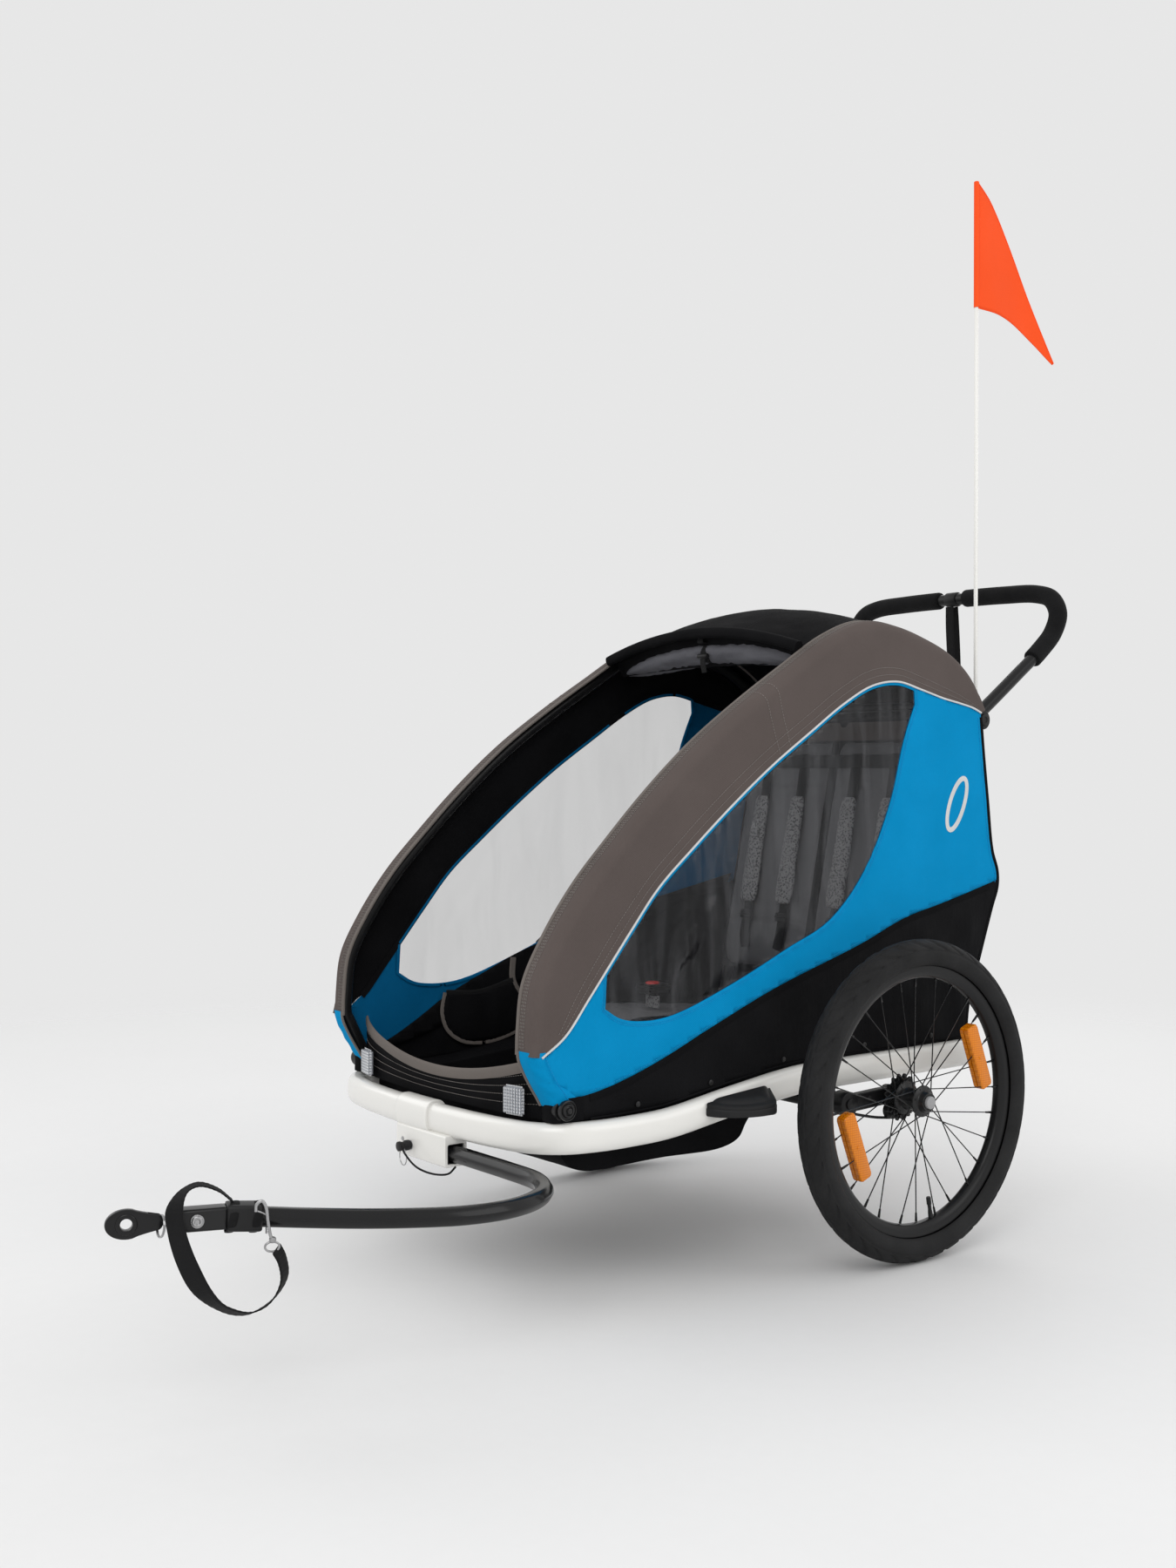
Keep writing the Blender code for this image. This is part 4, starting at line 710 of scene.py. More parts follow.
put(join(bits), "pivot_caps", "plastic_gloss", "trailer", angle=30)
bits = [tube([Vector((-0.2688, 0.235, RAIL_Z_REAR)), Vector((0.2688, 0.235, RAIL_Z_REAR))], 0.011, (0, 0, 1), 28)]
bits += [box((sx * 0.049 - 0.0035, 0.238, 0.270), (sx * 0.049 + 0.0035, 0.273, 0.293), 0.0012) for sx in (1, -1)]
put(join(bits), "rear_bar", "tube", "trailer", ["rear_crossbar"])
put(tube([Vector((-0.318, ARM_PIVOT[0], ARM_PIVOT[1])), Vector((0.318, ARM_PIVOT[0], ARM_PIVOT[1]))], 0.0160, (0, 0, 1), 32), "axle_tube", "tube", "trailer", ["axle_beam"], bevel=0.0012)

# rivets along the lower cloth
bits = []
for sx in (1, -1):
    for y, z in ((-0.47, 0.283), (-0.33, 0.2985), (-0.18, 0.3175), (0.0, 0.322), (0.16, 0.322)):
        bits.append(turned((sx * 0.2800, y, z), (sx, 0, 0), [(0, 0.0042), (0.0008, 0.0042), (0.0016, 0.0032), (0.0020, 0.0016), (0.0020, 0)], 20))
put(join(bits), "side_rivets", "plastic_gloss", "trailer")

# ------------------------------------------------------------ socket for the bar
front_run = [p for p in frame_line if abs(p.x) < 0.26 and p.y < -0.55]


def front_point(x):
    for a, b in zip(front_run, front_run[1:]):
        if (a.x - x) * (b.x - x) <= 0 and a.x != b.x:
            return a.lerp(b, (x - a.x) / (b.x - a.x))
    return Vector((x, FRONT_Y, RAIL_Z_FRONT))


c_line = [front_point(BRACKET_X0 + (0.0846) * k / 12) for k in range(13)]
put(sweep(c_line, oval(RAIL_H + 0.0042, RAIL_W + 0.0042, 40, 2.6), (0, 0, 1)), "socket_collar", "white", "trailer", ["hitch_bracket"], bevel=0.0011, seg=3)


def rrect(y0, y1, z0, z1, r, n=6):
    pts = []
    for cy, cz, a0 in ((y1 - r, z1 - r, 0), (y0 + r, z1 - r, 90), (y0 + r, z0 + r, 180), (y1 - r, z0 + r, 270)):
        for k in range(n + 1):
            a = math.radians(a0 + 90 * k / n)
            pts.append((cy + r * math.cos(a), cz + r * math.sin(a)))
    return pts


x0, x1 = BRACKET_X0 + 0.004, BRACKET_X1 - 0.004
out, inn = rrect(-0.6785, -0.6400, 0.1860, 0.2320, 0.0035), rrect(-0.6732, -0.6448, BAR_Z - 0.0142, BAR_Z + 0.0142, 0.0025)
rings = [[Vector((x, y, z)) for y, z in prof] for x, prof in
         ((x0 + 0.001, rrect(-0.6775, -0.6410, 0.1870, 0.2310, 0.0030)), (x0 + 0.0003, rrect(-0.6782, -0.6403, 0.1863, 0.2317, 0.0033)), (x0 + 0.0015, out), (x1 - 0.0010, out),
          (x1, rrect(-0.6777, -0.6408, 0.1868, 0.2312, 0.0030)), (x1, rrect(-0.6738, -0.6442, BAR_Z - 0.0148, BAR_Z + 0.0148, 0.0028)), (x1 - 0.0008, inn), (x0 + 0.0045, inn))]
put(cut(loft(rings), [rod((PIN_X, -0.70, BAR_Z), (PIN_X, -0.62, BAR_Z), 0.0050, 24)]), "socket_block", "white", "trailer", ["hitch_bracket"], angle=40)
# rivet, pin plate and dark lining of the mouth
put(turned((-0.021, -0.6783, 0.2105), (0, -1, 0), [(0, 0.0036), (0.0006, 0.0036), (0.0012, 0.0028), (0.0010, 0.0014), (0.0010, 0)], 24), "socket_rivet", "steel", "trailer")
put(turned((PIN_X, -0.6783, BAR_Z), (0, -1, 0), [(0, 0.0078), (0.0010, 0.0078), (0.0016, 0.0070), (0.0016, 0.0050), (0, 0.0050)], 28), "pin_plate", "steel", "trailer")
lin = [[Vector((x, y, z)) for y, z in rrect(-0.6730, -0.6450, BAR_Z - 0.0140, BAR_Z + 0.0140, 0.0025)] for x in (x1 - 0.0035, x1 - 0.0030)]
lin += [[Vector((x, y, z)) for y, z in rrect(-0.6728 + 0.0020, -0.6452 - 0.0020, BAR_Z - 0.0140 + 0.0012, BAR_Z + 0.0140 - 0.0012, 0.0025)] for x in (x1 - 0.0030, x1 - 0.03)]
put(loft(lin, caps=False), "socket_lining", "plastic", "trailer")

# ------------------------------------------------------------ tow bar
bar_end = EYE - TOW_DIR * 0.118
bar_line = spline([(-0.031, -0.659, BAR_Z), (0.06, -0.659, BAR_Z), (0.155, -0.659, BAR_Z), (0.225, -0.659, BAR_Z),
                   (0.300, -0.664, BAR_Z), (0.352, -0.690, BAR_Z), (0.386, -0.735, 0.2050), (0.4015, -0.790, 0.2060),
                   (0.3985, -0.850, 0.2080), (0.383, -0.910, 0.2115), (0.361, -0.975, 0.2165),
                   (0.339, -1.040, 0.2235), (bar_end.x + 0.012, bar_end.y + 0.036, 0.2300), (bar_end.x, bar_end.y, 0.2330)], 8)
hexa = []
for c in range(6):
    for k in range(5):
        a = math.radians(c * 60 + 18 + 24 * k / 4)
        hexa.append((BAR_R * 0.93 * (1 - 0.012 * abs(k - 2)) * math.cos(a), BAR_R * 0.93 * (1 - 0.012 * abs(k - 2)) * math.sin(a)))
put(cut(sweep(bar_line, hexa, (0, 0, 1)), [rod((PIN_X, -0.70, BAR_Z), (PIN_X, -0.62, BAR_Z), 0.0050, 24)]), "bar", "bar", "trailer", ["tow_bar"], angle=26)


def along(s, side=0.0, z=EYE.z):
    p = EYE - TOW_DIR * s + TOW_SIDE * side
    return Vector((p.x, p.y, z))


def hitch_box(s0, s1, w, z0, z1, side=0.0):
    return loft([[along(s, side - w, z0), along(s, side + w, z0), along(s, side + w, z1), along(s, side - w, z1)] for s in (s0, s1)], "hitch_box")


# block with a ball socket at the front
n = 12
sec = []
for s, w, h, r in ((0.1158, 0.0112, 0.0122, 0.0035), (0.1148, 0.0122, 0.0132, 0.0040), (0.1100, 0.0125, 0.0135, 0.0042), (0.0590, 0.0125, 0.0135, 0.0042),
                   (0.0515, 0.0124, 0.0134, 0.0060), (0.0502, 0.0118, 0.0128, 0.0070), (0.0500, 0.0100, 0.0100, 0.0096), (0.0530, 0.0084, 0.0084, 0.0083), (0.0560, 0.0078, 0.0078, 0.0077)):
    sec.append([along(s, y, EYE.z + z) for y, z in rrect(-w, w, -h, h, min(r, w - 1e-4, h - 1e-4))])
put(loft(sec), "hitch_socket_block", "plastic_gloss", "trailer", ["hitch_block"], angle=45)
sleeve_sec = []
for s, w in ((0.1150, 0.0162), (0.1162, 0.0172), (0.1200, 0.0176), (0.1520, 0.0176), (0.1545, 0.0170), (0.1555, 0.0158)):
    sleeve_sec.append([along(s, y, 0.2338 - (s - 0.118) * 0.075 + z) for y, z in rrect(-w * 0.90, w * 0.90, -w * 0.90, w * 0.90, 0.005)])
put(loft(sleeve_sec), "hitch_end_sleeve", "plastic", "trailer", angle=45)
bits = [rod(along(0.080, 0.0120), along(0.080, 0.0150), 0.0082, 36, 0.0008)]
put(join(bits), "hitch_washer", "steel", "trailer")
nutp = [(0.0072 * math.cos(math.radians(60 * k + 8)), 0.0072 * math.sin(math.radians(60 * k + 8))) for k in range(6)]
bits = [loft([[along(0.080 + a, w, EYE.z + b) for a, b in nutp] for w in (-0.0130, -0.0175)])]
bits.append(turned(along(0.080, 0.0148), TOW_SIDE, [(0, 0.0068), (0.0018, 0.0066), (0.0024, 0.0056), (0.0024, 0.0034), (0.0010, 0.0030), (0.0010, 0)], 36))
put(join(bits), "hitch_bolt_head", "steel", "trailer", ["hitch_bolt"], bevel=0.0004)

# ball, neck and eye
tongue = loft([[along(s, w, EYE.z + h) for s, h in ((0.0455, 0.0045), (0.0340, 0.0045), (0.0290, 0.0032), (0.0275, 0.0), (0.0290, -0.0032), (0.0340, -0.0045), (0.0455, -0.0045))] for w in (-0.0020, 0.0020)])
neckp = [(0.0, 0.0), (0.0003, 0.0025), (0.0018, 0.0050), (0.0045, 0.0073), (0.0093, 0.0093), (0.0135, 0.0080), (0.0158, 0.0060), (0.0180, 0.0058), (0.0235, 0.0058), (0.0252, 0.0050), (0.0258, 0.0)]
neck = turned(along(0.0693), TOW_DIR, neckp, 32)
put(join([neck, tongue]), "hitch_neck", "bar", "hitch_ball", ["hitch_ball"])
put(ring(along(0.0470), TOW_DIR, 0.0064, 0.0011, 36, 10), "hitch_neck_washer", "steel", "hitch_ball")


def eye_ring(d, r_hole=None):
    pts = []
    N = 64
    for k in range(N):
        a = 2 * math.pi * k / N
        if r_hole:
            pts.append((-r_hole * math.cos(a), r_hole * math.sin(a)))
            continue
        # teardrop outline: round nose with a narrowing tail
        c, s = math.cos(a), math.sin(a)
        if c > -0.34:
            pts.append((-(0.0245 - d) * c, (0.0175 - d) * s))
        else:
            u = min(1.0, (-c - 0.34) / 0.66)
            x = 0.0083 + (0.0341 - d) * (u ** 0.75)
            y = math.copysign((0.0165 - d) + ((0.0080 - d) - (0.0165 - d)) * (u ** 0.55), s)
            if u > 0.80:
                y *= math.sqrt(max(0.0, 1 - ((u - 0.80) / 0.20) ** 2)) * 0.92 + 0.08 * (1 - (u - 0.8) / 0.2)
            pts.append((x, y))
    return pts


lv = [(0.0045, 0.0), (0.0045, 0.0)]
rows = []
for w, d, hole in ((0.0032, 0.0, None), (0.0042, 0.0006, None), (0.0045, 0.0016, None)):
    rows.append([along(s, w, EYE.z + h) for s, h in eye_ring(d)])
for w, r in ((0.0045, 0.0128), (0.0057, 0.0122), (0.0061, 0.0112), (0.0061, 0.0088), (0.0057, 0.0074), (0.0044, 0.0069)):
    rows.append([along(s, w, EYE.z + h) for s, h in eye_ring(0, r)])
back = [[along(s, -w, EYE.z + h) for s, h in eye_ring(d, r)] for w, d, r in
        ((0.0044, 0, 0.0069), (0.0057, 0, 0.0074), (0.0061, 0, 0.0088), (0.0061, 0, 0.0112), (0.0057, 0, 0.0122), (0.0045, 0, 0.0128), (0.0045, 0.0016, None), (0.0042, 0.0006, None), (0.0032, 0.0, None))]
bm = bmesh.new()
vr = [[bm.verts.new(p) for p in r] for r in rows + back]
for a, b in zip(vr, vr[1:] + vr[:1]):
    for k in range(64):
        bm.faces.new((a[k], a[(k + 1) % 64], b[(k + 1) % 64], b[k]))
put(cut(obj("eye", bm), [hitch_box(0.0248, 0.0600, 0.0026, EYE.z - 0.03, EYE.z + 0.03)]), "hitch_eye_plate", "bar", "hitch_eye", ["hitch_eye"], angle=42)
# split ring through the neck
put(join([ring(along(0.0385, 0.0025, EYE.z - 0.0050), (TOW_DIR + Vector((0.25, 0.05, 0.12))), 0.0128, 0.0009, 48, 8),
          ring(along(0.0400, 0.0025, EYE.z - 0.0050), (TOW_DIR + Vector((0.25, 0.05, 0.12))), 0.0128, 0.0009, 48, 8)]), "hitch_split_ring", "steel", "hitch_ball")

# lock pin, wire ring, tether
pin = turned((PIN_X, -0.6340, BAR_Z), (0, -1, 0), [(0, 0), (0, 0.0034), (0.0012, 0.0045), (0.0480, 0.0045)], 24)
put(pin, "bar_pin_shaft", "steel", "bar_pin", ["tow_bar_pin"])
head = turned((PIN_X, -0.6805, BAR_Z), (0, -1, 0), [(0, 0), (0, 0.0070), (0.0012, 0.0078), (0.0070, 0.0078), (0.0090, 0.0064), (0.0120, 0.0060), (0.0160, 0.0074), (0.0188, 0.0072), (0.0195, 0.0060), (0.0195, 0)], 28)
put(head, "bar_pin_head", "plastic", "bar_pin", ["tow_bar_pin"])
put(ring((PIN_X + 0.004, -0.6935, BAR_Z - 0.0150), (0.15, 1, 0), 0.0125, 0.0008, 48, 8), "bar_pin_ring", "steel", "bar_pin")
tether_line = spline([(PIN_X + 0.0085, -0.6990, BAR_Z + 0.001), (0.022, -0.7005, BAR_Z - 0.008), (0.050, -0.6990, BAR_Z - 0.0215),
                      (0.082, -0.6900, BAR_Z - 0.0270), (0.106, -0.6800, BAR_Z - 0.0235), (0.118, -0.6760, BAR_Z - 0.0120)], 10)
tether = put(tube(tether_line, 0.0015, (0, 1, 0), 12), "pin_cord", "webbing", "trailer", ["pin_tether"])

# ------------------------------------------------------------ safety strap and hook
strap_pts = [along(0.1220, 0.0000, 0.2520), along(0.1050, 0.0030, 0.2670), along(0.0820, 0.0080, 0.2760), along(0.0640, 0.0150, 0.2700),
             along(0.0530, 0.0240, 0.2500), along(0.0560, 0.0280, 0.2240), along(0.0680, 0.0290, 0.1870), along(0.0850, 0.0290, 0.1550),
             along(0.1090, 0.0290, 0.1330), along(0.1380, 0.0290, 0.1250), along(0.1640, 0.0290, 0.1370), along(0.1790, 0.0290, 0.1620),
             along(0.1765, 0.0290, 0.1850), along(0.1700, 0.0290, 0.1985)]


def strap_turn(u):
    keys = [(0.0, 88.0), (0.18, 80.0), (0.34, 35.0), (0.48, 20.0), (0.62, 60.0), (0.75, 75.0), (0.88, 60.0), (1.0, 58.0)]
    for (a, x), (b, y) in zip(keys, keys[1:]):
        if u <= b:
            f = (u - a) / (b - a)
            f = f * f * (3 - 2 * f)
            return x + (y - x) * f
    return keys[-1][1]


def strap_half(u):
    f = min(1.0, max(0.0, (u - 0.20) / 0.12))
    return 0.0062 + 0.0058 * f * f * (3 - 2 * f)


line = spline(strap_pts, 14)
T = tangents(line)
rings = []
for i, p in enumerate(line):
    u = i / (len(line) - 1)
    nn = TOW_SIDE.cross(T[i]).normalized()
    a = math.radians(strap_turn(u))
    w = nn * math.cos(a) + TOW_SIDE * math.sin(a)
    w = (w - T[i] * w.dot(T[i])).normalized()
    t = T[i].cross(w).normalized()
    h = strap_half(u)
    tk = 0.0009 + 0.00018 * math.sin(i * 1.9)
    prof = [(h, 0.0002), (h * 0.96, tk), (h * 0.5, tk), (0, tk), (-h * 0.5, tk), (-h * 0.96, tk), (-h, 0.0002), (-h, -0.0002), (-h * 0.96, -tk), (-h * 0.5, -tk), (0, -tk), (h * 0.5, -tk), (h * 0.96, -tk), (h, -0.0002)]
    rings.append([p + w * a_ + t * b_ for a_, b_ in prof])
put(loft(rings), "safety_webbing", "webbing", "trailer", ["safety_strap"], angle=60)
# elastic loops holding the strap to the bar end
bits = []
for s, side, z in ((0.1215, 0.0, 0.2330), (0.1500, 0.0, 0.2310)):
    ringpts = [along(s + 0.004 * math.sin(t), 0.0172 * math.cos(t), z + 0.0178 * math.sin(t)) for t in [2 * math.pi * k / 40 for k in range(41)]]
    bits.append(sweep(ringpts, [(a * 4.2, b * 0.8) for a, b in circle(0.0012, 10)], TOW_DIR, caps=False))
put(join(bits), "strap_loops", "webbing", "trailer", angle=60)

hook_line = spline([along(0.1640, 0.0290, 0.2110), along(0.1620, 0.0290, 0.2190), along(0.1600, 0.0290, 0.2330), along(0.1580, 0.0290, 0.2480),
                    along(0.1530, 0.0290, 0.2560), along(0.1470, 0.0290, 0.2520), along(0.1460, 0.0290, 0.2440)], 8)
hook = sweep(hook_line, lambda u: circle(0.0024 - 0.0008 * u, 14, 0.0020), TOW_SIDE)
gate = tube(spline([along(0.1600, 0.0270, 0.2380), along(0.1530, 0.0268, 0.2420), along(0.1470, 0.0275, 0.2445)], 5), 0.0009, (0, 0, 1), 10)
spring_bits = [ring(along(0.1600, 0.0290, 0.2180 + 0.0016 * k), (0, 0, 1), 0.0026, 0.0005, 20, 6) for k in range(5)]
swivel = turned(along(0.1655, 0.0290, 0.2060), (0, 0, 1), [(0, 0), (0, 0.0030), (0.0020, 0.0042), (0.0050, 0.0042), (0.0065, 0.0028), (0.0065, 0)], 20)
dring = sweep([Vector(q) for q in [along(0.1660 + 0.0085 * math.cos(t) - 0.001, 0.0290, 0.2012 + 0.0058 * math.sin(t)) for t in [2 * math.pi * k / 36 for k in range(37)]]], circle(0.0013, 10), TOW_SIDE, caps=False)
put(join([hook, gate, swivel, dring] + spring_bits), "strap_hook", "steel", "trailer", ["snap_hook"])

# ------------------------------------------------------------ front reflectors
for side, sx in (("left", 1.0), ("right", -1.0)):
    R4 = Matrix.Translation((sx * 0.2020, -0.6330, 0.2960)) @ Matrix.Rotation(sx * math.radians(12), 4, "Z")
    b = box((-0.0185, -0.0020, -0.0210), (0.0185, 0.0045, 0.0210), 0.0030, 4)
    b.data.transform(R4)
    put(b, "reflector_base_" + side, "lens", "trailer", ["front_reflector_" + side])
    ribs = []
    for k in range(7):
        x = -0.0150 + 0.0050 * k
        rb = box((x - 0.0019, -0.0045, -0.0185), (x + 0.0019, -0.0014, 0.0185), 0.0009, 2)
        rb.data.transform(R4)
        ribs.append(rb)
    put(join(ribs), "reflector_ribs_" + side, "lens", "trailer")

# ------------------------------------------------------------ mud guards
for side, sx in (("left", 1.0), ("right", -1.0)):
    og = flat([(0.3060, -0.362), (0.318, -0.3585), (0.330, -0.350), (0.343, -0.335), (0.352, -0.318), (0.3570, -0.300), (0.3580, -0.285), (0.3560, -0.268), (0.3060, -0.232)], 4)
    top = lambda x, y: 0.2840 - (x - 0.306) * 0.16 - (-0.232 - y) * 0.06
    rings = []
    for ins, f in ((0.0015, 0.0), (0.0, 0.10), (0.0, 0.55), (0.0002, 0.60), (0.0012, 0.66), (0.0006, 0.74), (0.0010, 0.92), (0.0030, 1.0), (0.0090, 1.030), (0.0105, 1.050), (0.0120, 1.120), (0.0160, 1.230), (0.0215, 1.310), (0.0270, 1.340)):
        ring_ = []
        cx, cy = 0.326, -0.295
        for x, y in og:
            d = Vector((cx - x, cy - y)).normalized()
            q = (x + d.x * ins, y + d.y * ins)
            zt = top(q[0], q[1])
            ring_.append(Vector((sx * q[0], q[1], 0.2560 + (zt - 0.2560) * f)))
        rings.append(ring_)
    put(loft(rings), "guard_" + side, "guard", "trailer", ["wheel_guard_" + side], angle=35)

# ------------------------------------------------------------ brake pedal
pb = [rod((-0.0450, 0.262, 0.281), (0.0450, 0.262, 0.281), 0.0085, 28, 0.001)]
pb.append(box((-0.034, 0.262, 0.2765), (0.034, 0.332, 0.2855), 0.0028, 4))
for k in range(5):
    pb.append(box((-0.026, 0.286 + 0.008 * k, 0.2850), (0.026, 0.290 + 0.008 * k, 0.2864), 0.0006, 2))
put(join(pb), "pedal", "red", "brake_pedal", ["brake_pedal"])

# ------------------------------------------------------------ handle
side_pts = [(HANDLE_X, HANDLE_PIVOT[0], HANDLE_PIVOT[1]), (HANDLE_X, 0.355, 0.885), (HANDLE_X, 0.420, 0.930), (HANDLE_X, 0.485, 0.976),
            (HANDLE_X, 0.522, 1.010), (HANDLE_X - 0.003, 0.540, 1.045), (HANDLE_X - 0.022, 0.5455, 1.073), (HANDLE_X - 0.055, 0.5455, 1.084),
            (0.120, 0.5455, 1.088), (0.0, 0.5455, 1.089)]
handle_line = spline(side_pts + [(-x, y, z) for x, y, z in side_pts[-2::-1]], 8)
put(sweep(handle_line, circle(HANDLE_R, 28), (0.0, -0.7, 0.7)), "handle_bar", "tube", "handle", ["handle_tube"], bevel=0.001)
for side, sx in (("left", 1.0), ("right", -1.0)):
    gl = [p for p in handle_line if p.x * sx > 0.030 and p.z > 0.957]
    N = len(gl)

    def gp(u):
        e = min(u, 1 - u) * N
        k = 1.0 if e > 1.2 else 0.86 + 0.14 * math.sqrt(max(0.0, min(1.0, e / 1.2)))
        return [(a * k, b * k) for a, b in circle(GRIP_R, 32)]
    # finer ends
    fine = [gl[0], gl[0].lerp(gl[1], 0.06), gl[0].lerp(gl[1], 0.25)] + gl[1:-1] + [gl[-2].lerp(gl[-1], 0.75), gl[-2].lerp(gl[-1], 0.94), gl[-1]]
    ks = [0.86, 0.95, 1.0] + [1.0] * (N - 2) + [1.0, 0.95, 0.86]
    T = tangents(fine)
    ref = Vector((0.0, -0.7, 0.7))
    rings = []
    for p, t, k in zip(fine, T, ks):
        B = (ref - t * ref.dot(t)).normalized()
        C = t.cross(B)
        rings.append([p + B * a * k + C * b * k for a, b in circle(GRIP_R, 32)])
    put(loft(rings), "grip_foam_" + side, "foam", "handle", ["handle_grip_" + side])
    hs = [turned((sx * 0.2618, HANDLE_PIVOT[0], HANDLE_PIVOT[1]), (sx, 0, 0),
                 [(0, 0), (0, 0.0150), (0.0012, 0.0165), (0.0060, 0.0165), (0.0066, 0.0156), (0.0074, 0.0156), (0.0080, 0.0165), (0.0125, 0.0165), (0.0137, 0.0152), (0.0137, 0.0105), (0.0165, 0.0098), (0.0172, 0.0086), (0.0172, 0.0050), (0.0160, 0.0044), (0.0160, 0)], 48)]
    put(join(hs), "handle_joint_" + side, "plastic", "hoop", ["handle_hinge_" + side], angle=32)
# clamp and strap at the middle of the handle
put(join([rod((-0.013, 0.5455, 1.089), (0.013, 0.5455, 1.089), 0.0138, 32, 0.0015)]), "strap_clamp", "plastic", "handle")
wrist_pts = [(0, 0.5395, 1.0755), (0, 0.5380, 1.040), (0, 0.5380, 0.960), (0, 0.5385, 0.880), (0, 0.5395, 0.800), (0, 0.5420, 0.782),
             (0, 0.5460, 0.778), (0, 0.5500, 0.782), (0, 0.5525, 0.800), (0, 0.5535, 0.880), (0, 0.5540, 0.960), (0, 0.5540, 1.040), (0, 0.5525, 1.0755)]
wl = spline([(x + 0.004 * math.sin((z - 0.78) * 14.0), y, z) for x, y, z in wrist_pts], 8)
put(ribbon(wl, 0.0098, (1, 0, 0), 0.0017), "wrist_webbing", "webbing", "handle", ["wrist_strap"], angle=60)

# ------------------------------------------------------------ flag
fl = [turned((FLAG_X, FLAG_Y, 0.8060), (0, 0, 1), [(0, 0), (0, 0.0028), (0.0008, 0.0035), (0.9832, 0.0035), (0.9840, 0.0030), (0.9840, 0)], 24)]
put(join(fl), "flag_rod", "white", "flag", ["flag_pole"])
arm_ = box((FLAG_X - 0.006, 0.2905, 0.8690), (FLAG_X + 0.006, 0.3400, 0.8800), 0.0015, 3)
post = turned((FLAG_X, FLAG_Y, 0.8000), (0, 0, 1), [(0, 0), (0, 0.0078), (0.0010, 0.0085), (0.0850, 0.0085), (0.0860, 0.0078), (0.0860, 0.0041), (0.0400, 0.0041)], 32)
put(join([arm_, post]), "flag_socket", "plastic", "hoop", ["flag_holder"])

lead = flat([(FLAG_Y + 0.0042, FLAG_TOP - 0.002), (0.390, 1.756), (0.440, 1.692), (0.490, 1.612), (0.525, 1.556), (0.558, 1.502)], 8)
trail = flat([(0.556, 1.500), (0.510, 1.532), (0.460, 1.556), (0.410, 1.567), (FLAG_Y + 0.0042, 1.570)], 8)
rows = []
NR, NC = 46, 30


def at(line_, z=None, u=None):
    L = [0.0]
    for a, b in zip(line_, line_[1:]):
        L.append(L[-1] + math.hypot(b[0] - a[0], b[1] - a[1]))
    t = u * L[-1]
    for i in range(len(L) - 1):
        if t <= L[i + 1] + 1e-9:
            f = (t - L[i]) / max(1e-9, L[i + 1] - L[i])
            return (line_[i][0] + (line_[i + 1][0] - line_[i][0]) * f, line_[i][1] + (line_[i + 1][1] - line_[i][1]) * f)
    return line_[-1]


tr = trail[::-1]
flag_area = 0.0
bm = bmesh.new()
for i in range(NR + 1):
    u = i / NR
    a = at(lead, u=u)
    b = at(tr, u=u)
    row = []
    for j in range(NC + 1):
        v = j / NC
        y, z = a[0] + (b[0] - a[0]) * v, a[1] + (b[1] - a[1]) * v
        wv = (y - FLAG_Y) * 0.055 * math.sin((y - FLAG_Y) * 26 + z * 9.0) * min(1.0, (y - FLAG_Y) / 0.05)
        row.append(bm.verts.new((FLAG_X + wv, y, z)))
    rows.append(row)
for a, b in zip(rows, rows[1:]):
    for k in range(NC):
        try:
            bm.faces.new((a[k], a[k + 1], b[k + 1], b[k]))
        except ValueError:
            pass
fo = obj("flag_sheet", bm, 1e-5)
sol = fo.modifiers.new("s", "SOLIDIFY")
sol.thickness = 0.0006
sol.offset = 0
flag_cloth = put(fo, "flag_cloth", "orange", "flag", ["flag"], angle=None)
# hem along the flag's edges and the pocket on the pole


def flag_x(y, z):
    return FLAG_X + (y - FLAG_Y) * 0.055 * math.sin((y - FLAG_Y) * 26 + z * 9.0) * min(1.0, max(0.0, (y - FLAG_Y)) / 0.05)


hem1 = tube([Vector((flag_x(y, z), y, z)) for y, z in lead], 0.0010, (1, 0, 0), 8)
hem2 = tube([Vector((flag_x(y, z), y, z)) for y, z in trail], 0.0010, (1, 0, 0), 8)
pocket = turned((FLAG_X, FLAG_Y, 1.5700), (0, 0, 1), [(0, 0.0037), (0, 0.0046), (0.218, 0.0046), (0.2190, 0.0037)], 24)
flag_hem = put(join([hem1, hem2, pocket]), "flag_hem", "orange", "flag")

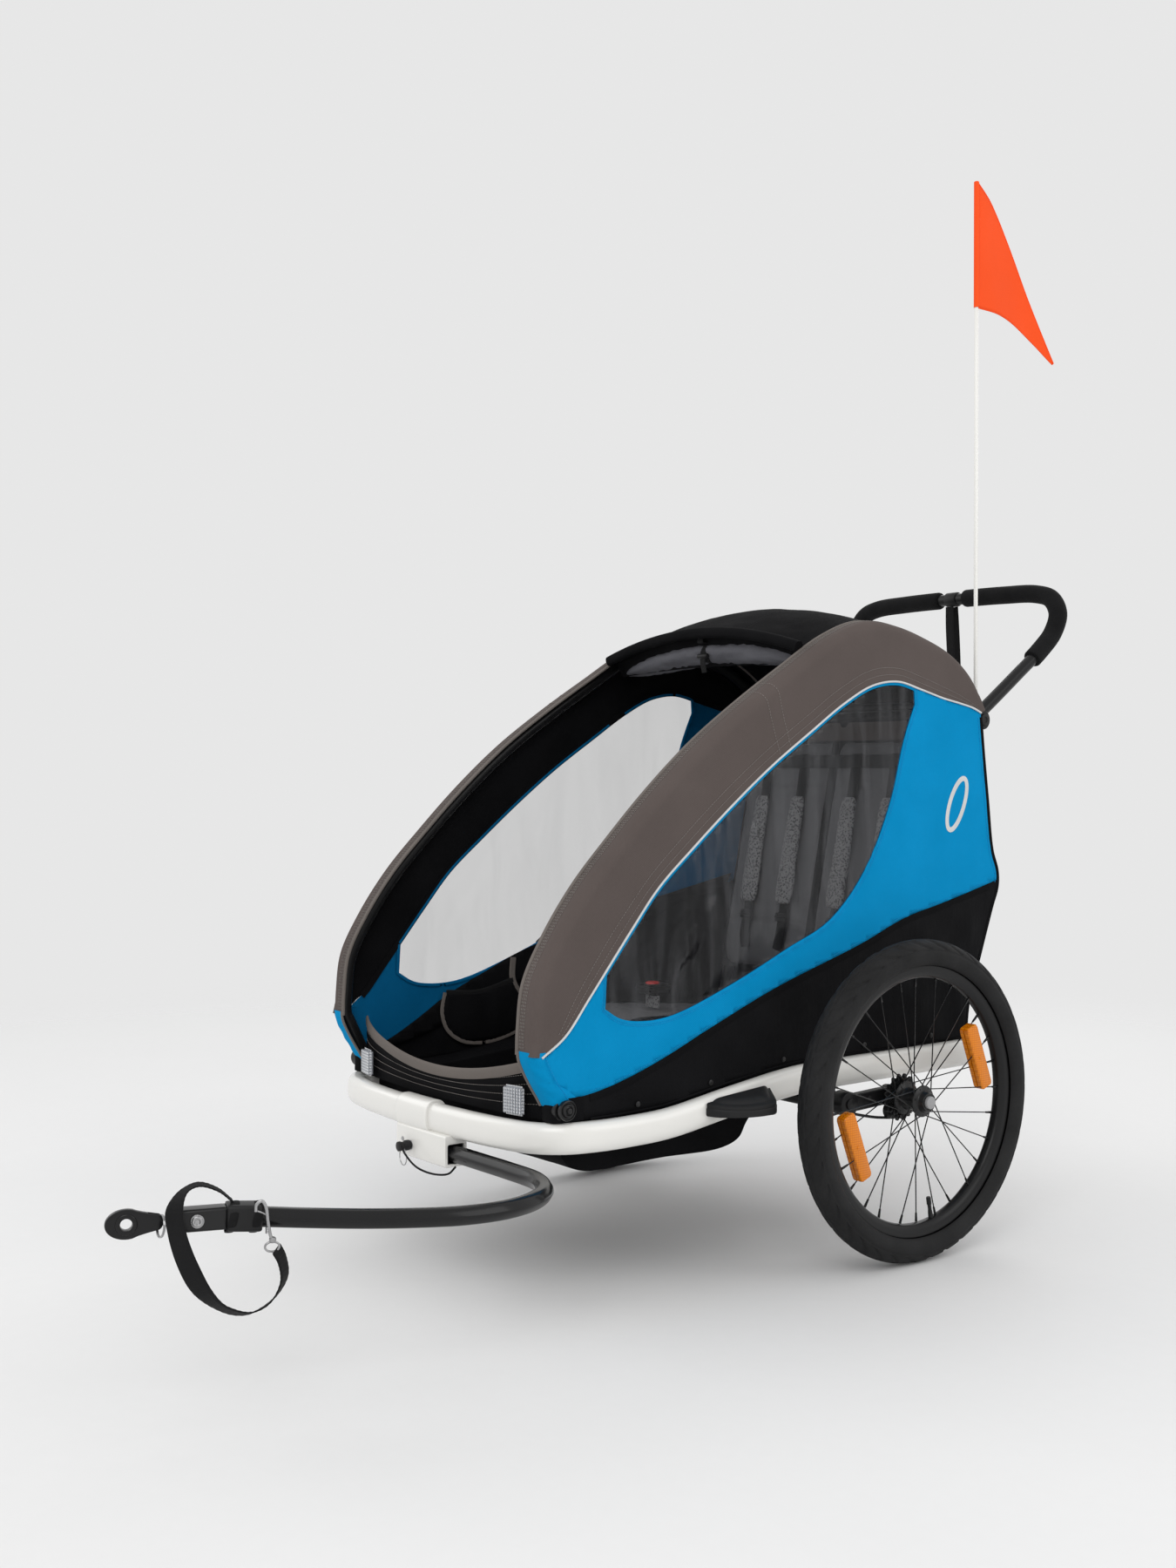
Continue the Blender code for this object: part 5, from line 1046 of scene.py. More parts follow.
# ------------------------------------------------------------ wheels
def tyre(sx):
    """Tyre with a low tread of curved sipes cut as displaced bands."""
    cr = WHEEL_R - TYRE_HALF
    NA = 400
    prof_a = [-52, -40, -28, -16, -6, 4, 12, 15.5, 17.5, 20.5, 23, 27, 31, 35, 39, 43, 47, 51, 55, 59, 63, 67, 71, 74.5, 77, 80, 82.5, 86, 90]
    prof_a = prof_a + [180 - a for a in prof_a[-2::-1]]
    inner = [226 - 272 * k / 5 for k in range(6)]
    bm = bmesh.new()
    rows = []
    for i in range(NA):
        t = 2 * math.pi * i / NA
        row = []
        for a in prof_a:
            ar = math.radians(a)
            off = abs(a - 90)
            cut = 0.0
            side_ = 0.5 if a > 90 else 0.0
            if 15 < off < 64:
                # long curved sipes, set off from one side to the other
                v = (off - 15) / 49.0
                ph = (t * 40 / (2 * math.pi) + side_ + 0.75 * v * v) % 1.0
                if abs(ph - 0.5) < 0.17 - 0.05 * v:
                    cut = 0.0017
            if off < 9:
                ph2 = (t * 40 / (2 * math.pi) + side_ + 0.05) % 1.0
                cut = 0.0011 if ph2 < 0.16 and off > 1 else 0.0
            if 9 <= off < 14:
                cut = 0.0010
            if 69 <= off < 75:
                cut = 0.0007
            r = TYRE_HALF - cut
            x = WHEEL_X + r * math.cos(ar)
            rr = max(cr + r * math.sin(ar), RIM_FLANGE_R + 0.0004)
            row.append(bm.verts.new((sx * x, rr * math.cos(t), AXLE_Z + rr * math.sin(t))))
        for a in inner:
            ar = math.radians(a)
            x = WHEEL_X + (TYRE_HALF - 0.005) * math.cos(ar)
            rr = max(cr + 0.0010 + (TYRE_HALF - 0.005) * math.sin(ar), RIM_FLANGE_R + 0.0004)
            row.append(bm.verts.new((sx * x, rr * math.cos(t), AXLE_Z + rr * math.sin(t))))
        rows.append(row)
    m_ = len(rows[0])
    for i in range(NA):
        a, b = rows[i], rows[(i + 1) % NA]
        for k in range(m_):
            bm.faces.new((a[k], a[(k + 1) % m_], b[(k + 1) % m_], b[k]))
    return obj("tyre", bm, 0)


def rim(sx):
    half_out = [(0.0120, RIM_FLANGE_R), (0.0124, RIM_FLANGE_R - 0.0015), (0.0121, RIM_FLANGE_R - 0.0030), (0.0118, 0.2010), (0.0112, 0.1982), (0.0096, 0.1950), (0.0072, 0.1918), (0.0040, 0.1902), (0.0, 0.1897)]
    half_in = [(0.0098, RIM_FLANGE_R), (0.0070, 0.1945)]
    prof = [(WHEEL_X + x, r) for x, r in half_out] + [(WHEEL_X - x, r) for x, r in half_out[-2::-1]]
    prof += [(WHEEL_X - x, r) for x, r in half_in] + [(WHEEL_X + x, r) for x, r in half_in[::-1]]
    return lathe_x(prof, (0, AXLE_Z), sx, 144)


def gear_mesh(sx, x0, x1, teeth, r0, r1, ri):
    bm = bmesh.new()
    outer, inner = [], []
    pts = []
    for k in range(teeth):
        for f, r in ((0.00, r0), (0.20, r1 - 0.001), (0.28, r1), (0.44, r1), (0.52, r1 - 0.001), (0.72, r0), (0.86, r0)):
            a = 2 * math.pi * (k + f) / teeth
            pts.append((a, r))
    rows = []
    for x, which in ((x0, 0), (x0, 1), (x1, 1), (x1, 0)):
        rows.append([bm.verts.new((sx * x, (r if which else ri) * math.cos(a), AXLE_Z + (r if which else ri) * math.sin(a))) for a, r in pts])
    m_ = len(pts)
    for a, b in zip(rows, rows[1:] + rows[:1]):
        for k in range(m_):
            bm.faces.new((a[k], a[(k + 1) % m_], b[(k + 1) % m_], b[k]))
    return obj("gear", bm)


for side, sx in (("left", 1.0), ("right", -1.0)):
    w = "wheel_" + side
    t_ob = tyre(sx)
    put(t_ob, "tyre_rubber_" + side, "rubber", w, ["tyre_" + side], angle=42)
    put(rim(sx), "rim_band_" + side, "tube", w, ["rim_" + side], angle=35)
    # bead line between tyre and rim
    put(ring((sx * (WHEEL_X + 0.0148), 0, AXLE_Z), (1, 0, 0), RIM_FLANGE_R + 0.0035, 0.0008, 144, 8), "bead_outer_" + side, "rubber", w)
    # hub
    hub = lathe_x([(0.3545, 0.0), (0.3545, 0.0150), (0.3550, 0.0155), (0.3658, 0.0150), (0.3665, 0.0262), (0.3670, 0.0268), (0.3690, 0.0268), (0.3700, 0.0258), (0.3722, 0.0176), (0.3745, 0.0165),
                   (0.3960, 0.0165), (0.3985, 0.0178), (0.4003, 0.0236), (0.4010, 0.0243), (0.4030, 0.0243), (0.4038, 0.0234), (0.4056, 0.0168), (0.4075, 0.0155), (0.4140, 0.0150),
                   (HUB_END_X, 0.0142), (HUB_END_X, 0.0108), (0.4120, 0.0105), (0.4120, 0.0)], (0, AXLE_Z), sx, 64)
    g1 = gear_mesh(sx, 0.3556, 0.3590, 16, 0.0318, 0.0370, 0.012)
    g2 = gear_mesh(sx, 0.3600, 0.3625, 24, 0.0290, 0.0330, 0.012)
    g3 = gear_mesh(sx, 0.3632, 0.3652, 16, 0.0250, 0.0290, 0.012)
    put(join([hub, g1, g2, g3]), "hub_shell_" + side, "plastic_gloss", w, ["hub_" + side], angle=30, bevel=0.0)
    put(rod((sx * 0.4118, 0, AXLE_Z), (sx * BUTTON_END_X, 0, AXLE_Z), 0.0098, 40, 0.0014), "hub_cap_" + side, "grey_plastic", "button_" + side, ["hub_button_" + side])
    # spokes and nipples
    bits, nips = [], []
    for k in range(SPOKES):
        outer = k % 2 == 0
        ld = (k // 2) % 2 == 0
        x_hub = (0.4020 if outer else 0.3680) + (0.0012 if ld else -0.0012)
        x_rim = WHEEL_X + (0.0022 if outer else -0.0022) + (0.0012 if ld else -0.0012)
        a_rim = 2 * math.pi * k / SPOKES
        a_hub = a_rim + math.radians(62 if ld else -62)
        r_hub, r_rim = 0.0205 if outer else 0.0225, 0.1893
        p0 = Vector((sx * x_hub, r_hub * math.cos(a_hub), AXLE_Z + r_hub * math.sin(a_hub)))
        p1 = Vector((sx * x_rim, r_rim * math.cos(a_rim), AXLE_Z + r_rim * math.sin(a_rim)))
        bits.append(rod(p0, p1, 0.00095, 8))
        bits.append(rod(p0 - Vector((sx * 0.0016, 0, 0)), p0 + Vector((sx * 0.0016, 0, 0)), 0.0018, 8, 0.0004))
        nips.append(rod(p1.lerp(p0, 0.075), p1, 0.0016, 8, 0.0003, 0.0021))
    put(join(bits), "spoke_set_" + side, "bar", w, ["spokes_" + side])
    put(join(nips), "nipples_" + side, "bar", w, ["spokes_" + side])
    # amber reflectors with their clips
    refl, clips = [], []
    for a in (math.radians(201), math.radians(21)):
        er = Vector((0, math.cos(a), math.sin(a)))
        et = Vector((0, -math.sin(a), math.cos(a)))
        c = Vector((0, 0, AXLE_Z)) + er * 0.150
        outl = [(-0.62, -1), (0.62, -1), (0.88, -0.97), (1, -0.90), (1, 0.90), (0.88, 0.97), (0.62, 1), (-0.62, 1), (-0.88, 0.97), (-1, 0.90), (-1, -0.90), (-0.88, -0.97)]
        for sgn in (1.0, -1.0):
            x_in, x_out = WHEEL_X + sgn * 0.0012, WHEEL_X + sgn * 0.0095
            rings = []
            for x, k in ((x_in, 0.0), (x_out - sgn * 0.0022, 0.0), (x_out - sgn * 0.0006, 0.0010), (x_out, 0.0022)):
                rings.append([Vector((sx * x, 0, 0)) + c + er * (u * (0.0125 - k)) + et * (v * (0.054 - k)) for u, v in outl])
            refl.append(loft(rings))
        clips.append(rod(c + Vector((sx * (WHEEL_X + 0.0085), 0, 0)), c + Vector((sx * (WHEEL_X + 0.0103), 0, 0)), 0.0034, 20, 0.0006))
        for v in (-0.0505, 0.0505):
            cc = c + et * v
            clips.append(rod(cc + Vector((sx * (WHEEL_X - 0.0098), 0, 0)), cc + Vector((sx * (WHEEL_X + 0.0098), 0, 0)), 0.0022, 14, 0.0004))
    put(join(refl), "wheel_reflectors_" + side, "amber", w, ["spokes_" + side], angle=28)
    put(join(clips), "reflector_clips_" + side, "amber", w)
    # valve
    va = math.radians(-80)
    vd = Vector((0, math.cos(va), math.sin(va)))
    vc = Vector((sx * WHEEL_X, 0, AXLE_Z))
    put(turned(vc + vd * 0.1915, -vd, [(0, 0.0), (0, 0.0040), (0.010, 0.0036), (0.014, 0.0030), (0.022, 0.0030), (0.0225, 0.0038), (0.033, 0.0038), (0.0345, 0.0030), (0.0345, 0)], 20), "valve_" + side, "plastic", w)
    # arm that carries the wheel
    apy, apz = ARM_PIVOT
    bits = [rod((sx * 0.3190, apy, apz), (sx * 0.3440, apy, apz), 0.0190, 40, 0.0015),
            rod((sx * 0.3435, apy, apz), (sx * 0.3470, apy, apz), 0.0085, 28, 0.0010)]
    link = [Vector((sx * 0.3330, apy + 0.0, apz)), Vector((sx * 0.3330, apy * 0.75, apz)), Vector((sx * 0.3330, apy * 0.25, AXLE_Z)), Vector((sx * 0.3330, 0, AXLE_Z))]
    bits.append(sweep(link, [(0.0130, 0.0060), (0.0115, 0.0075), (-0.0115, 0.0075), (-0.0130, 0.0060), (-0.0130, -0.0060), (-0.0115, -0.0075), (0.0115, -0.0075), (0.0130, -0.0060)], (0, 0, 1)))
    bits.append(rod((sx * 0.3240, 0, AXLE_Z), (sx * 0.3500, 0, AXLE_Z), 0.0160, 40, 0.0012))
    bits.append(rod((sx * 0.3380, -0.008, AXLE_Z - 0.022), (sx * 0.3500, -0.008, AXLE_Z - 0.022), 0.0130, 32, 0.0012))
    bits.append(rod((sx * 0.3490, 0, AXLE_Z), (sx * 0.3540, 0, AXLE_Z), 0.0080, 24))
    put(join(bits), "arm_casting_" + side, "tube", "arm_" + side, ["suspension_arm_" + side], angle=35, bevel=0.0)
    put(join([rod((sx * 0.3470, -0.060, AXLE_Z + 0.004), (sx * 0.3478, -0.060, AXLE_Z + 0.004), 0.0040, 6),
              tube(spline([(sx * 0.3420, -0.008, AXLE_Z - 0.034), (sx * 0.336, -0.040, AXLE_Z - 0.030), (sx * 0.324, -0.090, AXLE_Z - 0.018), (sx * 0.305, -0.100, AXLE_Z - 0.014)], 8), 0.0022, (0, 0, 1), 10)]),
        "brake_cable_" + side, "plastic", "arm_" + side)


# ================================================================ soft parts
random.seed(11)
TOP = [(-0.655, 0.368), (-0.6535, 0.405), (-0.645, 0.465), (-0.612, 0.527), (-0.560, 0.597), (-0.495, 0.664), (-0.420, 0.735),
       (-0.335, 0.805), (-0.245, 0.866), (-0.150, 0.924), (-0.060, 0.976), (0.020, 1.003), (0.090, 0.998), (0.155, 0.982),
       (0.215, 0.960), (0.262, 0.929), (0.290, 0.896), (0.304, 0.866)]
LOW = [(-0.640, 0.366), (-0.600, 0.392), (-0.559, 0.440), (-0.520, 0.487), (-0.480, 0.535), (-0.430, 0.592), (-0.361, 0.650),
       (-0.285, 0.710), (-0.205, 0.768), (-0.120, 0.822), (-0.045, 0.868), (0.020, 0.898), (0.080, 0.906), (0.135, 0.895),
       (0.190, 0.882), (0.235, 0.874), (0.268, 0.867), (0.288, 0.8595)]
top_line = flat(TOP, 8)
low_line = flat(LOW, 8)
top2 = flat(TOP, 2)


def inward(line, i, d):
    a = line[max(i - 1, 0)]
    b = line[min(i + 1, len(line) - 1)]
    t = Vector((b[0] - a[0], b[1] - a[1], 0)).normalized()
    return (line[i][0] + t.y * d, line[i][1] - t.x * d)


def wob(y, z, s=0.0, f=30.0):
    return noise.noise(Vector((y * f, z * f, s)))


def mats(ob, keys, test):
    """Give faces further materials: test(centre, normal) gives the slot index."""
    for k in keys:
        ob.data.materials.append(M[k])
    for p in ob.data.polygons:
        p.material_index = test(p.center, p.normal)
    return ob


def folds(ob):
    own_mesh(ob)
    return ob


def grid_cut(bm, axis, lo, hi, step):
    k = lo + step
    while k < hi - step * 0.2:
        co, no = [0, 0, 0], [0, 0, 0]
        co[axis], no[axis] = k, 1
        bmesh.ops.bisect_plane(bm, geom=list(bm.verts) + list(bm.edges) + list(bm.faces), plane_co=co, plane_no=no, dist=1e-6)
        k += step


def shell_yz(solid, step, drop=None):
    """Gridded single skin from a slab: keeps the face at +x."""
    bm = bmesh.new()
    bm.from_mesh(baked(solid))
    bpy.data.objects.remove(solid, do_unlink=True)
    xs = max(v.co.x for v in bm.verts)
    bmesh.ops.delete(bm, geom=[f for f in bm.faces if not all(abs(v.co.x - xs) < 1e-6 for v in f.verts)], context="FACES")
    bmesh.ops.dissolve_limit(bm, angle_limit=0.001, verts=bm.verts, edges=bm.edges)
    ys = [v.co.y for v in bm.verts]
    zs = [v.co.z for v in bm.verts]
    grid_cut(bm, 1, min(ys), max(ys), step)
    grid_cut(bm, 2, min(zs), max(zs), step)
    bmesh.ops.triangulate(bm, faces=[f for f in bm.faces if len(f.verts) > 4])
    return bm


def edge_tree(lines):
    pts = []
    for l in lines:
        for a, b in zip(l, l[1:]):
            n = max(1, int(math.hypot(b[0] - a[0], b[1] - a[1]) / 0.003))
            pts += [(a[0] + (b[0] - a[0]) * k / n, a[1] + (b[1] - a[1]) * k / n) for k in range(n)]
    from mathutils.kdtree import KDTree
    t = KDTree(len(pts))
    for i, p in enumerate(pts):
        t.insert((0, p[0], p[1]), i)
    t.balance()
    return lambda y, z: t.find((0, y, z))[2]


def thicken(bm, t, name, sx=1.0):
    if sx < 0:
        for v in bm.verts:
            v.co.x *= -1
    # make every normal point outwards, then add the inner skin
    for f in bm.faces:
        f.normal_update()
        if f.normal.x * sx < 0:
            f.normal_flip()
    me = bpy.data.meshes.new(name)
    bm.to_mesh(me)
    ob = bpy.data.objects.new(name, me)
    bpy.context.scene.collection.objects.link(ob)
    s = ob.modifiers.new("s", "SOLIDIFY")
    s.thickness = t
    s.offset = -1
    baked(ob)
    return ob


# ---------------------------------------------------------------- outlines
REAR = [(0.2890, 0.8520), (0.2950, 0.798), (0.3070, 0.709), (0.3190, 0.625), (0.3330, 0.588), (0.3330, 0.562),
        (0.3190, 0.529), (0.2850, 0.442), (0.2580, 0.370), (0.2500, 0.3105)]
upper = [(p[0] + 0.0003, p[1] - 0.0006) for p in low_line[8:]]
lower = flat([(0.10, 0.3100), (-0.10, 0.3100), (-0.17, 0.3085), (-0.30, 0.2930), (-0.42, 0.2755), (-0.49, 0.2725), (-0.555, 0.2722)], 4)
front = [(-0.5700, 0.2722), (-0.5775, 0.3000), (-0.6000, 0.3180), (-0.6270, 0.3300), (-0.6400, 0.3600)]
rear_edge = flat(REAR, 5)
side_loop = upper + rear_edge + lower + front
BLUE_LINE = flat([(-0.681, 0.303), (-0.629, 0.302), (-0.538, 0.310), (-0.442, 0.336), (-0.324, 0.381), (-0.199, 0.427), (-0.006, 0.484), (0.097, 0.520),
                  (0.204, 0.543), (0.310, 0.568), (0.345, 0.577)], 5)
win_low = flat([(-0.528, 0.424), (-0.500, 0.408), (-0.458, 0.401), (-0.400, 0.405), (-0.280, 0.443), (-0.170, 0.487), (-0.075, 0.527),
                (0.004, 0.603), (0.063, 0.711), (0.095, 0.811), (0.128, 0.884)], 5)


def window_outline(d):
    up = []
    n = len(low_line)
    for i in range(n):
        a = low_line[max(i - 1, 0)]
        b = low_line[min(i + 1, n - 1)]
        t = Vector((b[0] - a[0], b[1] - a[1], 0)).normalized()
        q = (low_line[i][0] + t.y * 0.006, low_line[i][1] - t.x * 0.006)
        if -0.532 < q[0] < 0.122:
            up.append(q)
    loop = [Vector((a, b, 0)) for a, b in up[1:] + win_low[::-1][1:]]
    out = []
    m_ = len(loop)
    for i, p in enumerate(loop):
        t = (loop[(i + 1) % m_] - loop[i - 1]).normalized()
        out.append((p.x + t.y * d, p.y - t.x * d))
    return out


win0 = window_outline(0.0)
PX = SLEEVE_X - 0.0012
edges_blue = edge_tree([side_loop + side_loop[:1], win0 + win0[:1], BLUE_LINE])
edges_win = edge_tree([win0 + win0[:1]])


def step01(x, a, b):
    f = min(1.0, max(0.0, (x - a) / (b - a)))
    return f * f * (3 - 2 * f)


def blue_x(y, z, sd=0.0):
    d = edges_blue(y, z)
    a = 1 - math.exp(-d / 0.028)
    front_ = 1 + 2.4 * (1 - step01(y, -0.60, -0.44))
    g = 1 - math.exp(-d / 0.010)
    x = a * (0.0020 + 0.0026 * wob(y, z, sd, 7.0)) + g * 0.0008 * front_ * wob(y * 1.6 + z * 0.7, z * 0.25, sd + 3, 48.0) * math.exp(-d / 0.035)
    u = y + 0.55 * z
    x += g * front_ * 0.0006 * math.sin(u * 210 + 3 * wob(y, z, 5, 12)) * math.exp(-d / 0.014)
    return x


def black_x(y, z, sd=0.0):
    d = edges_blue(y, z)
    a = 1 - math.exp(-d / 0.020)
    x = a * (0.0015 + 0.0062 * wob(y * 1.0 + z * 0.55, z * 0.28, sd + 9, 17.0) + 0.0034 * wob(y - z * 0.9, z * 0.5 + y * 0.3, sd + 2, 26.0))
    return max(-0.0035, x)


def film_x(y, z, sd=0.0):
    d = edges_win(y, z)
    a = 1 - math.exp(-d / 0.022)
    low_ = 1.0 + 1.2 * (1 - step01(y, -0.36, -0.10))
    u = y * 0.62 + z * 0.78
    v = -y * 0.78 + z * 0.62
    x = a * low_ * (0.0022 * (1 - abs(2 * wob(u * 0.28, v, sd, 20.0))) + 0.0014 * wob(u * 0.5, v, sd + 4, 44.0)) - a * 0.0015
    return x


def pieces_of(region, hole):
    s = slab_yz(side_loop, PX - 0.010, PX)
    r = slab_yz(region, PX - 0.05, PX + 0.05)
    cut(s, [r], "INTERSECT")
    if hole:
        cut(s, [slab_yz(win0, PX - 0.05, PX + 0.05)])
    return s


above = BLUE_LINE + [(0.345, 1.0), (-0.70, 1.0), (-0.70, 0.303)]
below = BLUE_LINE + [(0.345, 0.25), (-0.70, 0.25), (-0.70, 0.303)]
flat_area = {}


def poly_area(faces):
    return sum(f.calc_area() for f in faces)


bm_blue = shell_yz(pieces_of(above, True), 0.0115)
bm_black = shell_yz(pieces_of(below, False), 0.0105)
bm_win = shell_yz(slab_yz(window_outline(0.0004), PX - 0.010, PX), 0.0095)
area_blue, area_black, area_win = (poly_area(b.faces) for b in (bm_blue, bm_black, bm_win))

P_x = lambda y, z, f, sx, sd: sx * (PX + f(y, z, sd))


def on_panel(points, f, sx, sd, lift=0.0):
    return [Vector((sx * (PX + lift + f(y, z, sd)), y, z)) for y, z in points]


def shifted(line, d):
    """(y, z) line moved d to its left."""
    out = []
    for i, p in enumerate(line):
        a, b = line[max(i - 1, 0)], line[min(i + 1, len(line) - 1)]
        t = Vector((b[0] - a[0], b[1] - a[1])).normalized()
        out.append((p[0] - t.y * d, p[1] + t.x * d))
    return out


def tape(points, x, half_w, t, sx, name="tape"):
    """Flat tape lying in the side's plane along a (y, z) line."""
    path = [Vector((sx * (x(y, z) if callable(x) else x), y, z)) for y, z in points]
    T = tangents(path)
    rings = []
    for p, d in zip(path, T):
        w = Vector((sx, 0, 0)).cross(d).normalized()
        n = Vector((sx, 0, 0))
        rings.append([p + w * a + n * b for a, b in ((half_w, -t), (half_w, t * 0.5), (half_w * 0.8, t), (0, t * 1.05), (-half_w * 0.8, t), (-half_w, t * 0.5), (-half_w, -t), (0, -t))])
    return loft(rings, name)


near_up = edge_tree([upper])
for side, sx in (("left", 1.0), ("right", -1.0)):
    sd = 0.0 if sx > 0 else 31.0
    for key, src, f, t, mat, inner, slot in (("blue", bm_blue, blue_x, 0.0011, "blue", "blue_in", "blue_fabric"), ("lower", bm_black, black_x, 0.0012, "lower_cloth", "black_cloth", "black_fabric"),
                                             ("film", bm_win, film_x, 0.0007, "film", None, "window_film")):
        b = src.copy()
        for v in b.verts:
            v.co.x = PX + f(v.co.y, v.co.z, sd) - (0.0004 if key == "film" else 0.0)
        ob = thicken(b, t, key, sx)
        b.free()
        reps = {"blue": ["side_panel_" + side], "lower": ["side_panel_" + side], "film": ["window_" + side]}[key]
        # The far window takes the lighter copy of the film with weaker streaks: painted light.
        m_key = "film_far_lit_copy" if key == "film" and sx < 0 else mat
        ob = put(ob, {"blue": "side_blue_", "lower": "side_lower_", "film": "side_window_"}[key] + side, m_key, "trailer", reps, angle=None)
        # On the blue piece, faces turned into the cabin take the darker copy of the blue: painted shade.
        if key == "blue":
            mats(ob, [inner, "black_cloth"], lambda c, n, s=sx: 2 if near_up(c.y, c.z) < 0.018 and edges_win(c.y, c.z) < 0.014 else 0 if n.x * s > 0.0 else 1)
        elif inner:
            mats(ob, [inner], lambda c, n, s=sx: 0 if n.x * s > 0.0 else 1)
        folds(ob)
    # seams
    thr = []
    win_loop = win0 + win0[:1]
    for off in (0.0036, 0.0066):
        line = shifted(win_loop, off)
        thr.append(stitches(on_panel(line, blue_x, sx, sd, 0.0002), (sx, 0, 0)))
    q = [p for p in shifted(BLUE_LINE, 0.0044) if -0.570 < p[0] < 0.318]
    thr.append(stitches(on_panel(q, blue_x, sx, sd, 0.0004), (sx, 0, 0)))
    q = shifted(rear_edge, -0.0085)[:26]
    thr.append(stitches(on_panel(q, blue_x, sx, sd, 0.0002), (sx, 0, 0)))
    threads = put(join(thr), "side_stitches_" + side, "thread_blue", "trailer")
    folds(threads)
    strip = [p for p in shifted(BLUE_LINE, -0.0056) if -0.566 < p[0] < 0.316]
    seam = tape(strip, lambda y, z: PX + black_x(y, z, sd) + 0.0002, 0.0054, 0.0006, sx)
    hem = tube([Vector((sx * (PX - 0.0004), y, z)) for y, z in shifted(lower, 0.0)], 0.0020, (1, 0, 0), 10)
    rear_tape = sweep([Vector((sx * (PX - 0.0006), y, z)) for y, z in rear_edge], [(a, b * 1.0) for a, b in oval(0.0040, 0.0017, 16, 2.6)], (0, 1, 0))
    put_seam = put(join([seam, hem, rear_tape]), "side_binding_" + side, "black_cloth", "trailer", angle=50)
    folds(put_seam)
    # hem rolled round the window inside the cabin, in the darker copy of the blue: painted shade
    roll = sweep([Vector((sx * (PX - 0.0022), y, z)) for y, z in shifted(win_loop, 0.0030)], oval(0.0030, 0.0011, 12, 2.4), (0, 1, 0), caps=False)
    wr = put(roll, "window_hem_" + side, "blue_in", "trailer", angle=50)
    mats(wr, ["black_cloth"], lambda c, n: 1 if near_up(c.y, c.z) < 0.020 else 0)
    folds(wr)
    it = tape(upper, PX - 0.0026, 0.0055, 0.0004, sx)
    it = put(it, "seam_tape_" + side, "black_cloth", "trailer", angle=50)
    folds(it)

# black lining low on the inside, with a bound pocket on it
LINING = flat([(-0.5750, 0.3070), (-0.5480, 0.3160), (-0.4910, 0.3460), (-0.4390, 0.3770), (-0.3490, 0.4170), (-0.2940, 0.4400), (-0.1980, 0.4700), (-0.0800, 0.5050), (0.0500, 0.5300), (0.2200, 0.5650)], 6)
LINING = [(y, min(z, 0.99 * z + 0.004)) for y, z in LINING]
lin_loop = LINING + [(p[0], p[1] - 0.006) for p in BLUE_LINE[::-1] if -0.560 < p[0] < 0.215]
POCKET = [(-0.4380, 0.3840), (-0.4440, 0.3520), (-0.4340, 0.3230), (-0.4060, 0.3020), (-0.3650, 0.2950), (-0.3200, 0.3000), (-0.2750, 0.3150), (-0.2560, 0.3280)]
V_TAPE = [(-0.2990, 0.4350), (-0.3000, 0.3960), (-0.2780, 0.3600), (-0.2560, 0.3300)]
HEM = [(-0.4380, 0.3840), (-0.3700, 0.3800), (-0.3000, 0.3960)]
for side, sx in (("left", 1.0), ("right", -1.0)):
    bml = shell_yz(slab_yz(lin_loop, 0.2600, 0.2700), 0.012)
    near = edge_tree([lin_loop + lin_loop[:1]])
    for v in bml.verts:
        d = near(v.co.y, v.co.z)
        v.co.x = 0.2738 - (1 - math.exp(-d / 0.018)) * (0.0012 + 0.0022 * wob(v.co.y, v.co.z * 0.4, 8 + sx, 20.0))
    ln = put(thicken(bml, 0.0009, "lining", sx), "inner_lining_" + side, "black_cloth", "trailer", angle=None)
    bml.free()
    folds(ln)
    lo_, up_, v_ = flat(POCKET, 6), flat(HEM, 8), flat(V_TAPE, 8)
    loop = lo_ + [q for q in v_[::-1] if q[1] < 0.3955][1:] + up_[::-1][1:-1]
    bmp = shell_yz(slab_yz(loop, 0.2600, 0.2700), 0.009)
    near = edge_tree([loop + loop[:1]])
    for v in bmp.verts:
        d = near(v.co.y, v.co.z)
        v.co.x = 0.2700 - (1 - math.exp(-d / 0.022)) * (0.0075 + 0.0055 * wob(v.co.y, v.co.z * 0.25, 4 + sx, 34.0))
    pk = thicken(bmp, 0.0010, "pocket", sx)
    bmp.free()
    pk = put(pk, "inner_pocket_" + side, "black_cloth", "trailer", angle=None)
    folds(pk)
    b1 = sweep([Vector((sx * 0.2700, y, z)) for y, z in lo_], oval(0.0062, 0.0012, 14, 3.0), (0, 1, 0.01))
    b2 = sweep([Vector((sx * 0.2696, y, z)) for y, z in v_], oval(0.0062, 0.0012, 14, 3.0), (0, 1, 0.01))
    b3 = sweep([Vector((sx * 0.2694, y, z)) for y, z in up_], oval(0.0050, 0.0014, 14, 2.6), (0, 0, 1))
    pb_ = put(join([b1, b2]), "pocket_binding_" + side, "taupe_bind", "trailer", angle=50)
    folds(pb_)
    pt = put(b3, "pocket_hem_" + side, "webbing", "trailer", angle=50)
    folds(pt)

# ---------------------------------------------------------------- sleeves
hoop_c = [inward(top_line, i, 0.0165) for i in range(len(top_line))]


